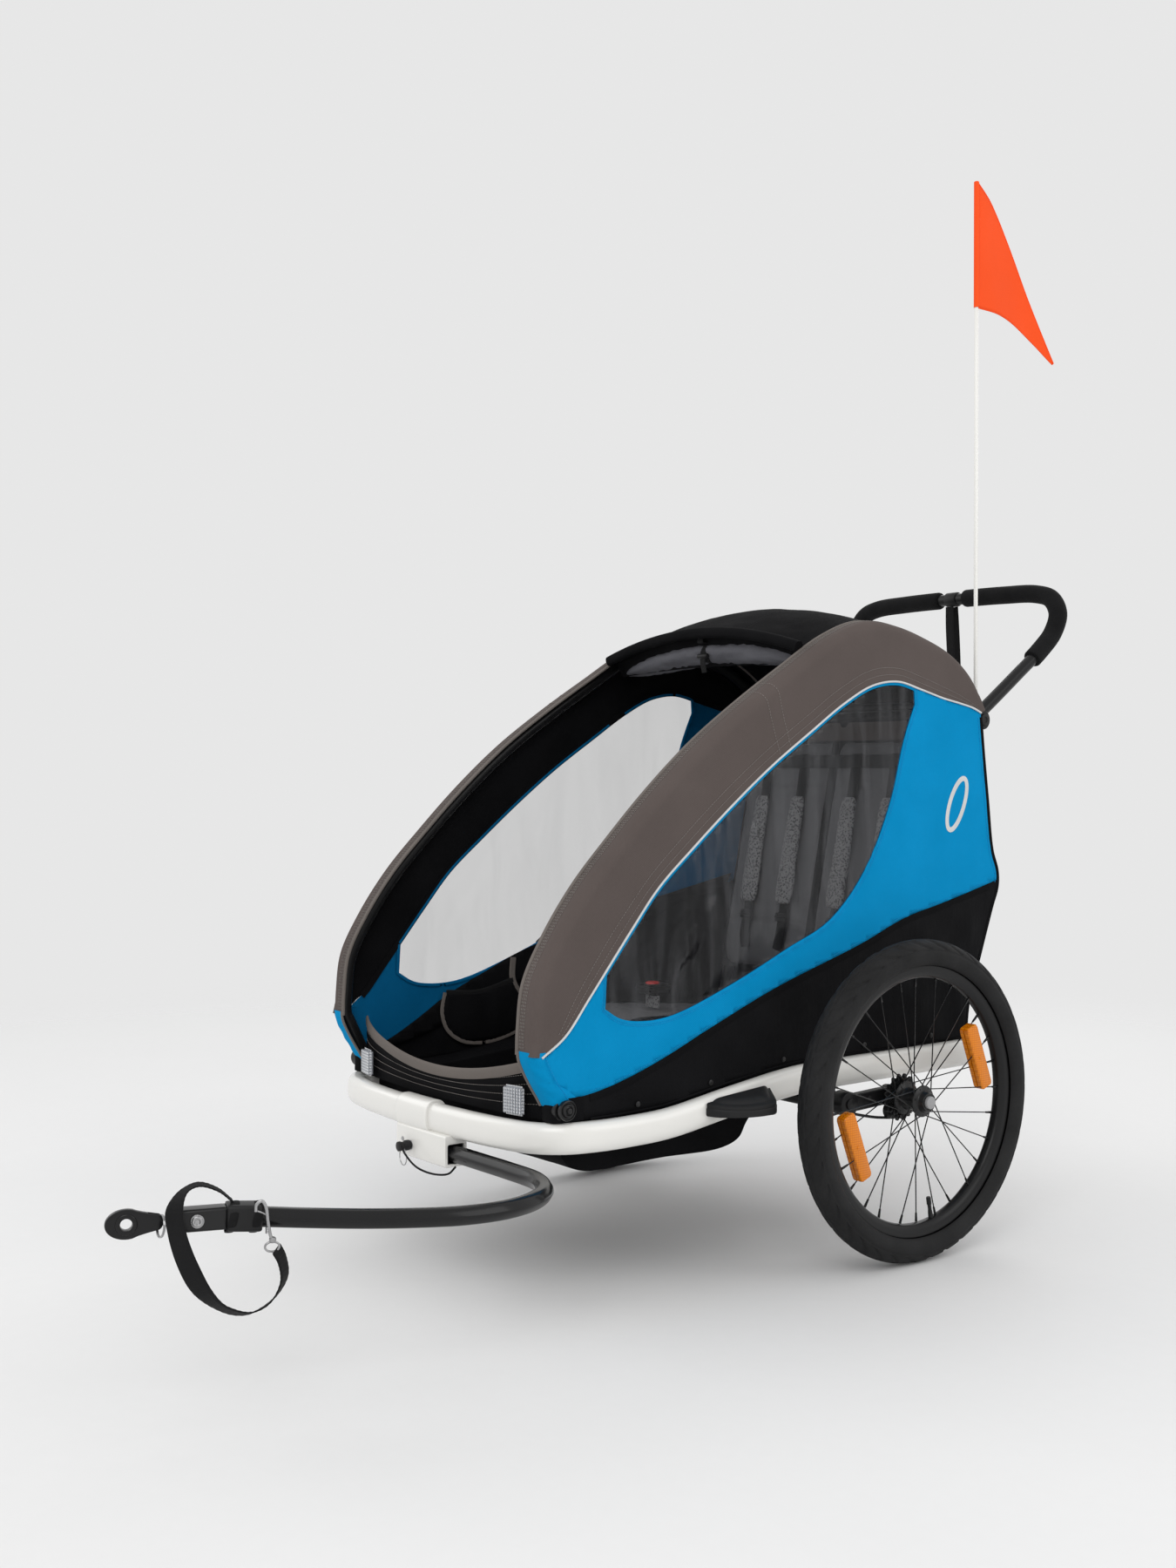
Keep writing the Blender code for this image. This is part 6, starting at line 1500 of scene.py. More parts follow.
for side, sx in (("left", 1.0), ("right", -1.0)):
    sd = 0.0 if sx > 0 else 17.0
    outer, inner = [], []
    NF = 14
    for i, (tp, lw) in enumerate(zip(top_line, low_line)):
        u = i / (len(top_line) - 1)
        c = Vector((0, *hoop_c[i]))
        tpv = Vector((0, *tp))
        up_ = (tpv - c).normalized()
        lwv = Vector((0, *lw))
        sec = [Vector((0.2405, tpv.y, tpv.z)) - up_ * 0.0002, Vector((0.2470, tpv.y, tpv.z)) - up_ * 0.0001, Vector((0.2540, tpv.y, tpv.z))]
        span = (lwv - tpv).length
        rad = min(0.0165, span * 0.45)
        cc = tpv - up_ * rad
        for k in range(1, 8):
            a = math.radians(90 - 90 * k / 8)
            sec.append(Vector((0.2785 - rad + rad * math.cos(a), 0, 0)) + cc + up_ * rad * math.sin(a))
        p0 = Vector((0.2785, cc.y, cc.z))
        p1 = Vector((0.2786, lwv.y, lwv.z))
        for k in range(NF + 1):
            f = k / NF
            p = p0.lerp(p1, f)
            p.x += -0.0016 * math.sin(math.pi * f) * min(1, span / 0.06) + 0.0006 * wob(p.y, p.z, sd, 18.0) * math.sin(math.pi * f)
            p.x += 0.00035 * math.exp(-((1 - f) * span) / 0.008) * math.sin(u * 620)
            sec.append(p)
        outer.append([Vector((sx * q.x, q.y, q.z)) for q in sec])
        inn = []
        for k, q in enumerate(sec):
            if k < 3:
                inn.append(q - up_ * 0.0012)
            elif k < 10:
                a = math.radians(90 - 90 * (k - 2) / 8)
                inn.append(q - Vector((math.cos(a), 0, 0)) * 0.0012 - up_ * math.sin(a) * 0.0012)
            else:
                inn.append(q - Vector((0.0012, 0, 0)))
        inner.append([Vector((sx * q.x, q.y, q.z)) for q in inn])
    ob = loft([o + n_[::-1] for o, n_ in zip(outer, inner)])
    sl = put(ob, "sleeve_cloth_" + side, "taupe", "hoop", ["sleeve_" + side], angle=50)
    mats(sl, ["black_cloth"], lambda c, n, s=sx: 1 if n.x * s < -0.25 or (n.z < -0.2 and abs(c.x) < 0.2775) else 0)
    rows = []
    for x, k in ((0.2436, 0), (0.2466, 1), (0.2496, 1), (0.2526, 2), (0.2556, 3)):
        path = [Vector((sx * x, o[min(k, 2)].y, o[min(k, 2)].z)) for o in outer[2:]]
        upn = lambda p: (0, 0.35, 1)
        rows.append(stitches(path, (0, -0.5, 0.8), lift=0.0003))
    for back_ in (3, 5):
        rows.append(stitches([o[-back_] for o in outer[8:]], (sx, 0, 0), lift=0.0003))
    # cross seam near the roof's front edge
    for i in (66, 68):
        rows.append(stitches([q for q in outer[i]], (sx * 0.6, -0.5, 0.6), lift=0.0003))
    put(join(rows), "sleeve_stitches_" + side, "thread_grey", "hoop")
    bind = sweep([Vector((sx * 0.2406, o[0].y, o[0].z)) for o in outer], oval(0.0024, 0.0036, 16, 2.4), (0, -0.4, 1))
    bind2 = put(join([bind]), "sleeve_binding_" + side, "taupe_bind", "hoop", angle=50)
    pp = [Vector((sx * 0.2790, y, z)) for y, z in low_line]
    put(tube(pp, 0.0017, (1, 0, 0), 12), "sleeve_piping_" + side, "piping", "hoop")

# ---------------------------------------------------------------- hoop tubes
hoop_mid = [inward(top2, i, 0.0165) for i in range(0, len(top2) - 2, 2)]
foot = flat([(HOOP_PIVOT[0] - 0.003, HOOP_PIVOT[1] + 0.006), (-0.622, 0.334), hoop_mid[0]], 3)[:-1]
hoop_yz = flat(foot + hoop_mid + [(0.2905, 0.8630)], 4)
CROWN, HALF_ROOF = 0.036, 0.2395


def top_at(y):
    for i in range(20, len(top_line) - 1):
        if top_line[i][0] <= y <= top_line[i + 1][0]:
            f = (y - top_line[i][0]) / (top_line[i + 1][0] - top_line[i][0])
            return i, f
    return len(top_line) - 2, 1.0


def roof_p(y, x, d):
    i, f = top_at(y)
    a, b = inward(top_line, i, d), inward(top_line, min(i + 1, len(top_line) - 1), d)
    return Vector((x, a[0] + (b[0] - a[0]) * f, a[1] + (b[1] - a[1]) * f + CROWN * (1 - (x / HALF_ROOF) ** 2)))


roof2 = [i for i, (y, z) in enumerate(top2) if y > -0.115 and y < 0.2905 and i > 15]
y_first, y_last = top2[roof2[0]][0], top2[roof2[-1]][0]
i0_y = top2[roof2[1]][0]
bits = []
for sx in (1.0, -1.0):
    bits.append(tube([Vector((sx * HOOP_X, y, z)) for y, z in hoop_yz], HOOP_R - 0.0001, (1, 0, 0), 24))
    bits.append(turned((sx * 0.2510, HOOP_PIVOT[0], HOOP_PIVOT[1]), (sx, 0, 0), [(0, 0), (0, 0.0155), (0.0010, 0.0165), (0.0250, 0.0165), (0.0260, 0.0155), (0.0260, 0)], 40))
bowp = [roof_p(i0_y, 0.245 * math.sin(math.pi / 2 * k / 10), SKIN + 0.0090) - Vector((0, 0, 0.0015)) for k in range(-10, 11)]
be = min(hoop_yz, key=lambda q: abs(q[0] - i0_y))
bits.append(tube([Vector((-HOOP_X, be[0], be[1]))] + bowp + [Vector((HOOP_X, be[0], be[1]))], 0.0080, (0, 1, 0), 20))
bits.append(rod((-HOOP_X, 0.2825, 0.8740), (HOOP_X, 0.2825, 0.8740), 0.0080, 24))
put(join(bits), "hoop_tube", "tube", "hoop", ["hoop_frame"])

foot_c = [Vector((0, y, z)) for y, z in flat([(-0.6010, 0.2995), (-0.6080, 0.3120), (-0.6220, 0.3340), (-0.6330, 0.3540), hoop_c[0], hoop_c[4]], 6)]
back_y = [(0.272, -0.5700), (0.3000, -0.5740), (0.3180, -0.5960), (0.3300, -0.6210), (0.3600, -0.6350), (0.3720, -0.6330)]


def lerp_table(tab_, z):
    for (a, p), (b_, q) in zip(tab_, tab_[1:]):
        if z <= b_:
            return p + (q - p) * max(0.0, (z - a)) / (b_ - a)
    return tab_[-1][1]


for side, sx in (("left", 1.0), ("right", -1.0)):
    rings = []
    FTn = tangents(foot_c)
    keep_ = [k for k, p in enumerate(foot_c) if p.z > 0.3015 and p.z < 0.3745]
    for k in keep_:
        p = foot_c[k]
        fwd = Vector((0, -FTn[k].z, FTn[k].y)).normalized()
        r = 0.0170
        yb = lerp_table(back_y, p.z)
        dep = max(0.0015, yb - p.y)
        sec = [Vector((0.2430, 0, 0)) + p + fwd * (r - 0.0004), Vector((0.2520, 0, 0)) + p + fwd * r]
        for j in range(0, 9):
            a = math.radians(90 - 90 * j / 8)
            pk_ = 0.0007 * math.sin(p.z * 300 + j) * math.sin(math.pi * j / 8)
            sec.append(Vector((0.2790 - r + (r + pk_) * math.cos(a), 0, 0)) + p + fwd * (r + pk_) * math.sin(a))
        for j in range(1, 9):
            f = j / 8
            sec.append(Vector((0.2792 - 0.0006 * f + 0.0009 * math.sin(math.pi * f) * wob(p.z * 1.4, f * 0.05, 4 + sx, 60.0), 0, 0)) + p + Vector((0, dep * f, 0)))
        o = [Vector((sx * q.x, q.y, q.z)) for q in sec]
        inn = [Vector((sx * (q.x - (0.0011 if m__ > 3 else 0.0)), q.y + (0.0011 if m__ <= 9 else 0.0), q.z)) for m__, q in enumerate(sec)]
        rings.append(o + inn[::-1])
    put(loft(rings), "foot_wrap_" + side, "blue", "hoop", angle=50)
    e1 = [r_[0] + Vector((0, -0.0002, 0)) for r_ in rings]
    put(sweep(e1, oval(0.0030, 0.0017, 14, 2.4), (1, 0, 0)), "foot_binding_" + side, "taupe_bind", "hoop", angle=50)
    st_ = [r_[11] + Vector((0.0, 0.0045, 0)) for r_ in rings[1:-1]]
    put(stitches(st_, (sx, 0, 0), lift=0.0004), "foot_stitches_" + side, "thread_blue", "hoop")
    # corner cloth in front of the pivot
    cp = spline([(0.2400, -0.6118, 0), (0.2560, -0.6185, 0), (0.2680, -0.6175, 0), (0.2765, -0.6080, 0), (0.2788, -0.5940, 0), (0.2788, -0.5680, 0)], 8)
    CT = tangents(cp)
    rings = []
    for i_, p in enumerate(cp):
        n_ = Vector((CT[i_].y, -CT[i_].x, 0)).normalized()
        zt = 0.3070 - 0.0015 * i_ / len(cp)
        o, inn = [], []
        for j in range(9):
            v = j / 8
            q = Vector((p.x, p.y, 0.2722 + (zt - 0.2722) * v)) + n_ * (0.0010 * wob(p.x + p.y, v * 0.05, 3, 50.0) * math.sin(math.pi * v))
            o.append(Vector((sx * q.x, q.y, q.z)))
            q2 = q - n_ * 0.0012
            inn.append(Vector((sx * q2.x, q2.y, q2.z)))
        rings.append(o + inn[::-1])
    put(loft(rings), "corner_cloth_" + side, "black_cloth", "trailer", angle=50)
    # ledge between the floor and the side, over the frame tube
    low_z = [(-0.5900, 0.2722), (-0.5550, 0.2722), (-0.49, 0.2725), (-0.42, 0.2755), (-0.30, 0.2930), (-0.17, 0.3085), (-0.10, 0.3100), (0.30, 0.3100)]
    in_z = [(-0.5900, 0.2680), (-0.4400, 0.2680), (-0.3000, 0.2810), (-0.1680, 0.2830), (0.30, 0.2815)]
    rings = []
    for k in range(66):
        y = -0.588 + 0.850 * k / 65
        zo, zi = lerp_table(low_z, y) + 0.0030, lerp_table(in_z, y) + 0.0015
        o, inn = [], []
        for j in range(9):
            v = j / 8
            x = 0.2442 + (0.2772 - 0.2442) * v
            z = zi + (zo - zi) * math.sin(v * math.pi / 2) ** 0.8 + 0.0010 * wob(x, y, 5, 30.0) * math.sin(math.pi * v)
            o.append(Vector((sx * x, y, z)))
            inn.append(Vector((sx * x, y, z - 0.0012)))
        rings.append(o + inn[::-1])
    put(loft(rings), "ledge_cloth_" + side, "black_cloth", "trailer", angle=50)

# ---------------------------------------------------------------- roof
NX, NYR = 56, 64
ys = [y_first + (y_last - y_first) * k / NYR for k in range(NYR + 1)]


def roof_off(x, y):
    e = min(1.0, (y - y_first) / 0.05, (y_last - y) / 0.05)
    s = 0.0
    for cx in (-0.085, 0.085):
        s -= 0.0016 * math.exp(-((x - cx) / 0.004) ** 2)
    return max(0.0, e) * (0.0022 * wob(x, y * 0.6, 3, 13.0) + 0.0010 * wob(x * 0.5, y, 8, 45.0)) + s


rings = []
for y in ys:
    o, n_ = [], []
    for k in range(NX + 1):
        x = HALF_ROOF * math.sin(math.pi / 2 * (2 * k / NX - 1))
        p = roof_p(y, x, 0.0004)
        p.z += roof_off(x, y)
        o.append(p)
        n_.append(p - Vector((0, 0, 0.0013)))
    rings.append(o + n_[::-1])
roof = put(loft(rings), "roof_cloth", "black_cloth", "hoop", ["roof_panel"], angle=50)
th = []
for cx in (-0.089, -0.081, 0.081, 0.089):
    th.append(stitches([roof_p(y, cx, 0.0004) + Vector((0, 0, roof_off(cx, y))) for y in ys], (0, 0, 1), lift=0.0003))
for y in (y_first + 0.010, y_first + 0.015, y_last - 0.012):
    th.append(stitches([roof_p(y, HALF_ROOF * 0.985 * math.sin(math.pi / 2 * (k / 30 - 1)), 0.0004) + Vector((0, 0, roof_off(0.2, y))) for k in range(61)], (0, 0, 1), lift=0.0003))
put(join(th), "roof_stitches", "thread_black", "hoop")
rb = [sweep([roof_p(y_first, HALF_ROOF * math.sin(math.pi / 2 * (k / 24 - 1)), -0.0062) for k in range(49)], oval(0.0092, 0.0084, 20, 2.3), (0, 0, 1))]
rb.append(sweep([roof_p(y_last, HALF_ROOF * math.sin(math.pi / 2 * (k / 24 - 1)), 0.0010) for k in range(49)], oval(0.0028, 0.0040, 16, 2.3), (0, 0, 1)))
put(join(rb), "roof_binding", "black_cloth", "hoop", angle=50)
# shallow valance hanging from the front bow behind the roll
NVX = 48
rings = []
for j in range(9):
    v = j / 8
    o, n_ = [], []
    for k in range(NVX + 1):
        x = 0.2360 * math.sin(math.pi / 2 * (2 * k / NVX - 1))
        p = roof_p(y_first + 0.004, x, 0.0030)
        dz = 0.050 * v * (1 - 0.55 * (x / 0.236) ** 2)
        p += Vector((0, 0.004 + 0.016 * v + 0.0016 * v * wob(x, v * 0.03, 2, 40.0), -dz))
        o.append(p)
        n_.append(p + Vector((0, 0.0011, 0)))
    rings.append(o + n_[::-1])
put(loft(rings), "front_valance", "black_cloth", "hoop", angle=50)

rings = []
for j in range(7):
    v = j / 6
    o, n_ = [], []
    for k in range(NVX + 1):
        x = 0.2110 * (2 * k / NVX - 1)
        p = roof_p(y_last, x, 0.0006)
        z = p.z + (0.8655 - p.z) * v
        q = Vector((x, 0.2915 + 0.0012 * v * wob(x, z, 2, 30.0), z))
        o.append(q)
        n_.append(q + Vector((0, 0.0011, 0)))
    rings.append(o + n_[::-1])
put(loft(rings), "rear_valance", "black_cloth", "hoop", angle=50)

# ---------------------------------------------------------------- rolled cover
i0 = roof2[1]
path = [Vector((0.234 * k / 30, top2[i0][0] - 0.008, top2[i0][1] - 0.042 + 0.027 * (1 - (0.234 * k / 30 / 0.24) ** 2))) for k in range(-30, 31)]
T = tangents(path)
rings = []
NR2 = 56
for i, p in enumerate(path):
    u = i / (len(path) - 1)
    ee = abs(2 * u - 1)
    a0 = 0.0205 * (1 - 0.80 * ee ** 4) * (1 - 0.10 * math.exp(-((u - 0.5) / 0.020) ** 2))
    b0 = 0.0285 * (1 - 0.62 * ee ** 5) * (1 - 0.08 * math.exp(-((u - 0.5) / 0.020) ** 2))
    t = T[i]
    B = (Vector((0, 0, 1)) - t * t.z).normalized()
    C = t.cross(B)
    row = []
    for k in range(NR2):
        th_ = 2 * math.pi * k / NR2
        c, s = math.cos(th_), math.sin(th_)
        r = 1 + 0.10 * wob(u * 3.4 + 0.15 * math.sin(th_), th_ * 0.16, 1, 9.0) + 0.055 * wob(u * 7 + th_ * 0.3, th_ * 0.3, 6, 12.0)
        r += 0.05 * math.sin(4 * th_ + 5.0 * u + 2.0 * wob(u, 0.2, 3, 6.0))
        if abs(th_ - 3.9) < 0.10:
            r *= 0.90
        row.append(p + B * a0 * c * r + C * b0 * s * r)
    rings.append(row)
roll_ob = loft(rings)
rolled = put(roll_ob, "rolled_cover_cloth", "roll_cloth", "hoop", ["rolled_cover"], angle=60)
pm = path[30]
rings = []
for k in range(40):
    a = 2 * math.pi * k / 40
    e = Vector((0, math.sin(a), math.cos(a)))
    c = pm + Vector((0, 0.0262 * math.sin(a), 0.0186 * math.cos(a) + 0.0004))
    rings.append([c + Vector((w, 0, 0)) + e * h for w, h in ((0.0075, 0.0), (0.0070, 0.0016), (-0.0070, 0.0016), (-0.0075, 0.0), (-0.0070, -0.0006), (0.0070, -0.0006))])
rings.append([p.copy() for p in rings[0]])
rs = loft(rings, caps=False)
tog = rod(pm + Vector((-0.012, -0.0285, -0.006)), pm + Vector((0.012, -0.0285, -0.006)), 0.0042, 20, 0.0014)
tail = sweep(spline([pm + Vector((0, -0.0260, 0.002)), pm + Vector((0.001, -0.0300, -0.014)), pm + Vector((0.002, -0.0270, -0.034))], 6), oval(0.0065, 0.0009, 12, 3), (1, 0, 0))
hang = sweep(spline([roof_p(y_first + 0.002, 0.0, 0.0030), roof_p(y_first, 0.0, 0.0110) + Vector((0, -0.004, 0)), pm + Vector((0, -0.020, 0.0165))], 6), oval(0.0070, 0.0009, 12, 3), (1, 0, 0))
put(join([rs, tail, hang]), "cover_strap", "webbing", "hoop", angle=50)
put(tog, "cover_toggle", "plastic", "hoop")

# ---------------------------------------------------------------- front panel
fp = spline([(-0.2465, -0.6060, 0), (-0.2300, -0.6130, 0), (-0.1900, -0.623, 0), (-0.10, -0.632, 0), (0, -0.635, 0),
             (0.10, -0.632, 0), (0.1900, -0.623, 0), (0.2300, -0.6130, 0), (0.2465, -0.6060, 0)], 8)
FT = tangents(fp)
fnorm = [Vector((t.y, -t.x, 0)).normalized() for t in FT]
ftop = [min(0.318 + 0.70 * p.x * p.x, 0.362) for p in fp]
NZ = 26
SEW = (0.24, 0.42, 0.60, 0.78)
rings = []
for i, p in enumerate(fp):
    o, n_ = [], []
    for j in range(NZ + 1):
        v = j / NZ
        z = 0.2722 + (ftop[i] - 0.2722) * v
        q = 0.0
        for s in SEW:
            q -= 0.0011 * math.exp(-((v - s) / 0.035) ** 2)
        q += 0.0012 * wob(p.x * 0.8, z, 4, 26.0) * math.sin(math.pi * v)
        o.append(Vector((p.x, p.y, z)) + fnorm[i] * (0.0012 + q))
        n_.append(Vector((p.x, p.y, z)) + fnorm[i] * (-0.0002 + q))
    rings.append(o + n_[::-1])
fpan = put(loft(rings), "front_cloth", "black_cloth", "trailer", ["front_panel"], angle=50)
th = []
for s in SEW:
    th.append(stitches([Vector((p.x, p.y, 0.2722 + (ftop[i] - 0.2722) * s)) + fnorm[i] * 0.0003 for i, p in enumerate(fp)], (0, -1, 0), lift=0.0004))
put(join(th), "front_stitches", "thread_grey", "trailer")
rings = []
for i, p in enumerate(fp):
    c = Vector((p.x, p.y, ftop[i] - 0.0055))
    rings.append([c + fnorm[i] * a + Vector((0, 0, b)) for a, b in ((0.0022, -0.0080), (0.0027, -0.0060), (0.0027, 0.0035), (0.0020, 0.0068), (0.0, 0.0080), (-0.0014, 0.0068), (-0.0020, 0.0035), (-0.0020, -0.0060), (-0.0014, -0.0080), (0.0003, -0.0080))])
put(loft(rings), "front_binding", "taupe_bind", "trailer", angle=50)

# cloth between the front panel and the floor
fpx = sorted((p.x, p.y) for p in fp)


def fp_y(x):
    for (xa, ya), (xb, yb) in zip(fpx, fpx[1:]):
        if x <= xb:
            return ya + (yb - ya) * max(0.0, x - xa) / max(1e-6, xb - xa)
    return fpx[-1][1]


rings = []
for k in range(-30, 31):
    x = 0.2442 * k / 30
    y0, o = fp_y(x) + 0.0022, []
    for j in range(9):
        v = j / 8
        y = y0 + (-0.5836 - y0) * v
        o.append(Vector((x, y, 0.2742 + (0.2690 - 0.2742) * v - 0.0016 * math.sin(math.pi * v) * (1 + 0.8 * wob(x, y * 0.5, 3, 26.0)))))
    rings.append(o + [p - Vector((0, 0, 0.0012)) for p in o[::-1]])
put(loft(rings), "front_ledge_cloth", "black_cloth", "trailer", angle=50)

# ---------------------------------------------------------------- floor
tl = flat([(-0.585, 0.268), (-0.583, 0.222), (-0.570, 0.202), (-0.540, 0.1905), (-0.500, 0.1890), (-0.400, 0.1900), (-0.275, 0.1885), (-0.240, 0.2000), (-0.226, 0.2200), (-0.200, 0.2470), (-0.168, 0.2800), (-0.05, 0.2810), (0.150, 0.2800)], 8)
rings = []
for k in range(-24, 25):
    x = 0.245 * k / 24
    o, n_ = [], []
    for i, (y, z) in enumerate(tl):
        a, b = tl[max(i - 1, 0)], tl[min(i + 1, len(tl) - 1)]
        t = Vector((b[0] - a[0], b[1] - a[1])).normalized()
        nn = Vector((0, -t.y, t.x))
        q = 0.0012 * wob(x, y + z, 2, 22.0) * (1 - (k / 24) ** 6)
        o.append(Vector((x, y, z)) + nn * q)
        n_.append(Vector((x, y, z)) + nn * (q + 0.0018))
    rings.append(o + n_[::-1])
fl_ = loft(rings)
walls = []
wall = [(-0.585, 0.268)] + [q for q in tl if q[0] < -0.167 and q[1] < 0.2795][1:] + [(-0.168, 0.283), (-0.30, 0.281), (-0.44, 0.268)]
for sx in (1.0, -1.0):
    bmw = shell_yz(slab_yz(wall, 0.235, 0.2447), 0.014)
    near = edge_tree([wall + wall[:1]])
    for v in bmw.verts:
        v.co.x = 0.2447 + (1 - math.exp(-near(v.co.y, v.co.z) / 0.02)) * 0.0022 * wob(v.co.y, v.co.z, sx, 18.0)
    walls.append(thicken(bmw, 0.0016, "wall", sx))
    bmw.free()
edge_b = [sweep([Vector((sx * 0.2450, y, z)) for y, z in [(-0.585, 0.268)] + [(-0.44, 0.2685), (-0.30, 0.281), (-0.168, 0.283)]], oval(0.0030, 0.0018, 12), (0, 0, 1)) for sx in (1.0, -1.0)]
put(join([fl_] + walls + edge_b), "floor_cloth", "black_cloth", "trailer", ["floor_tub"], angle=50)
# rubbery tread mat in the footwell
mat_b = []
for k in range(11):
    y = -0.515 + 0.025 * k
    mat_b.append(box((-0.205, y - 0.0035, 0.1915), (0.205, y + 0.0035, 0.1955), 0.0012, 2))
put(join(mat_b), "floor_ribs", "guard", "trailer")

# cloth that closes the floor behind the seat
gap_l = flat([(0.1480, 0.2812), (0.1640, 0.2930), (0.1880, 0.3130), (0.2100, 0.3140)], 4)
rings = []
for k in range(-20, 21):
    x = 0.2442 * k / 20
    o = [Vector((x, y, z - 0.0020 * math.sin(math.pi * i_ / (len(gap_l) - 1)) * (1 + wob(x, y, 6, 20.0)))) for i_, (y, z) in enumerate(gap_l)]
    rings.append(o + [p + Vector((0.0, 0.0006, 0.0012)) for p in o[::-1]])
put(loft(rings), "rear_floor_cloth", "black_cloth", "trailer", angle=50)

# ---------------------------------------------------------------- seat and back pads
back_dir = Vector((0, BACK_TOP[0] - BACK_PIVOT[0], BACK_TOP[1] - BACK_PIVOT[1]))
BACK_LEN = back_dir.length
back_dir.normalize()
back_n = Vector((0, -back_dir.z, back_dir.y))


def on_back(x, r, d=0.0):
    return Vector((x, BACK_PIVOT[0], BACK_PIVOT[1])) + back_dir * r + back_n * d


seat_top = flat([(-0.2600, 0.330), (-0.2550, 0.3440), (-0.2400, 0.3500), (-0.19, 0.3500), (-0.05, 0.3395), (0.100, 0.3250), (0.1260, 0.3190)], 6)
pads = []


def pad(rings, name, voxel=0.0055):
    ob = loft(rings, name)
    r = ob.modifiers.new("v", "REMESH")
    r.mode = "VOXEL"
    r.voxel_size = voxel
    baked(ob)
    pads.append(ob)
    return ob


def rounded(width, thick, r):
    pts = []
    for cx, cy, a0 in ((width - r, thick - r, 0), (r, thick - r, 90), (r, r, 180), (width - r, r, 270)):
        for k in range(5):
            a = math.radians(a0 + 22.5 * k)
            pts.append((cx + r * math.cos(a), cy + r * math.sin(a)))
    return pts


seat_pads, back_pads, shoulder = [], [], []
for sx in (1.0, -1.0):
    line = even([Vector((0, y, z)) for y, z in seat_top], 0.010)
    T = tangents(line)
    rings = []
    for i, p in enumerate(line):
        n_ = Vector((0, -T[i].z, T[i].y)) * (1 if T[i].y > 0 else 1)
        e = min(1.0, 0.35 + min(i, len(line) - 1 - i) * 0.35)
        prof = rounded(0.2240, 0.0160 * e, 0.0050 * e)
        rings.append([Vector((sx * (0.0075 + a), p.y, p.z)) + n_ * (b - 0.0160 * e) for a, b in prof])
    seat_pads.append(pad(rings, "seat_pad"))
    rings = []
    for k in range(46):
        r = 0.060 + (0.490 - 0.060) * k / 45
        e = min(1.0, 0.35 + min(k, 45 - k) * 0.35)
        low = 0.0140
        top_ = 0.0335 if r > 0.10 else 0.0190 + (r - 0.060) * 0.36
        prof = rounded(0.2080, (top_ - low) * e, 0.0050 * e)
        rings.append([on_back(sx * (0.0075 + a), r, low + b) for a, b in prof])
    back_pads.append(pad(rings, "back_pad"))
for cx in (0.110, -0.110):
    for dx in (0.046, -0.046):
        rings = []
        for k in range(31):
            r = 0.182 + (0.385 - 0.182) * k / 30
            e = math.sqrt(max(0.02, min(1.0, min(k, 30 - k) / 3.0)))
            w = 0.0235 * (0.70 + 0.30 * e) * (1 - 0.18 * (k / 30))
            prof = rounded(2 * w, 0.0075, 0.0032)
            rings.append([on_back(cx + dx + a - w, r, 0.0412 + b) for a, b in prof])
        shoulder.append(pad(rings, "shoulder_pad", 0.0042))

SEW_SEAT = [0.055, 0.110, 0.165, 0.220, 0.275, 0.330]


def seam_depth(ob, kind):
    """Vertices that stay put: the outer piping and the quilting seams."""
    held_ = []
    for v in ob.data.vertices:
        c = v.co
        if kind == "seat":
            ax = abs(c.x)
            if ax < 0.0125 or ax > 0.2265:
                held_.append(v.index)
                continue
            s = c.y + 0.262
            if any(abs(s - q) < 0.0034 for q in SEW_SEAT) or c.y > 0.118 or c.y < -0.256:
                held_.append(v.index)
        elif kind == "back":
            rel = c - on_back(0, 0, 0)
            r = rel.dot(back_dir)
            ax = abs(c.x)
            if ax < 0.0125 or ax > 0.2105 or r < 0.066 or r > 0.484 or abs(r - 0.400) < 0.0034 or (abs(ax - 0.110) > 0.0 and abs(r - 0.150) < 0.0034):
                held_.append(v.index)
            elif rel.dot(back_n) < 0.016:
                held_.append(v.index)
        else:
            rel = c - on_back(0, 0, 0)
            if rel.dot(back_n) < 0.0425:
                held_.append(v.index)
    return held_


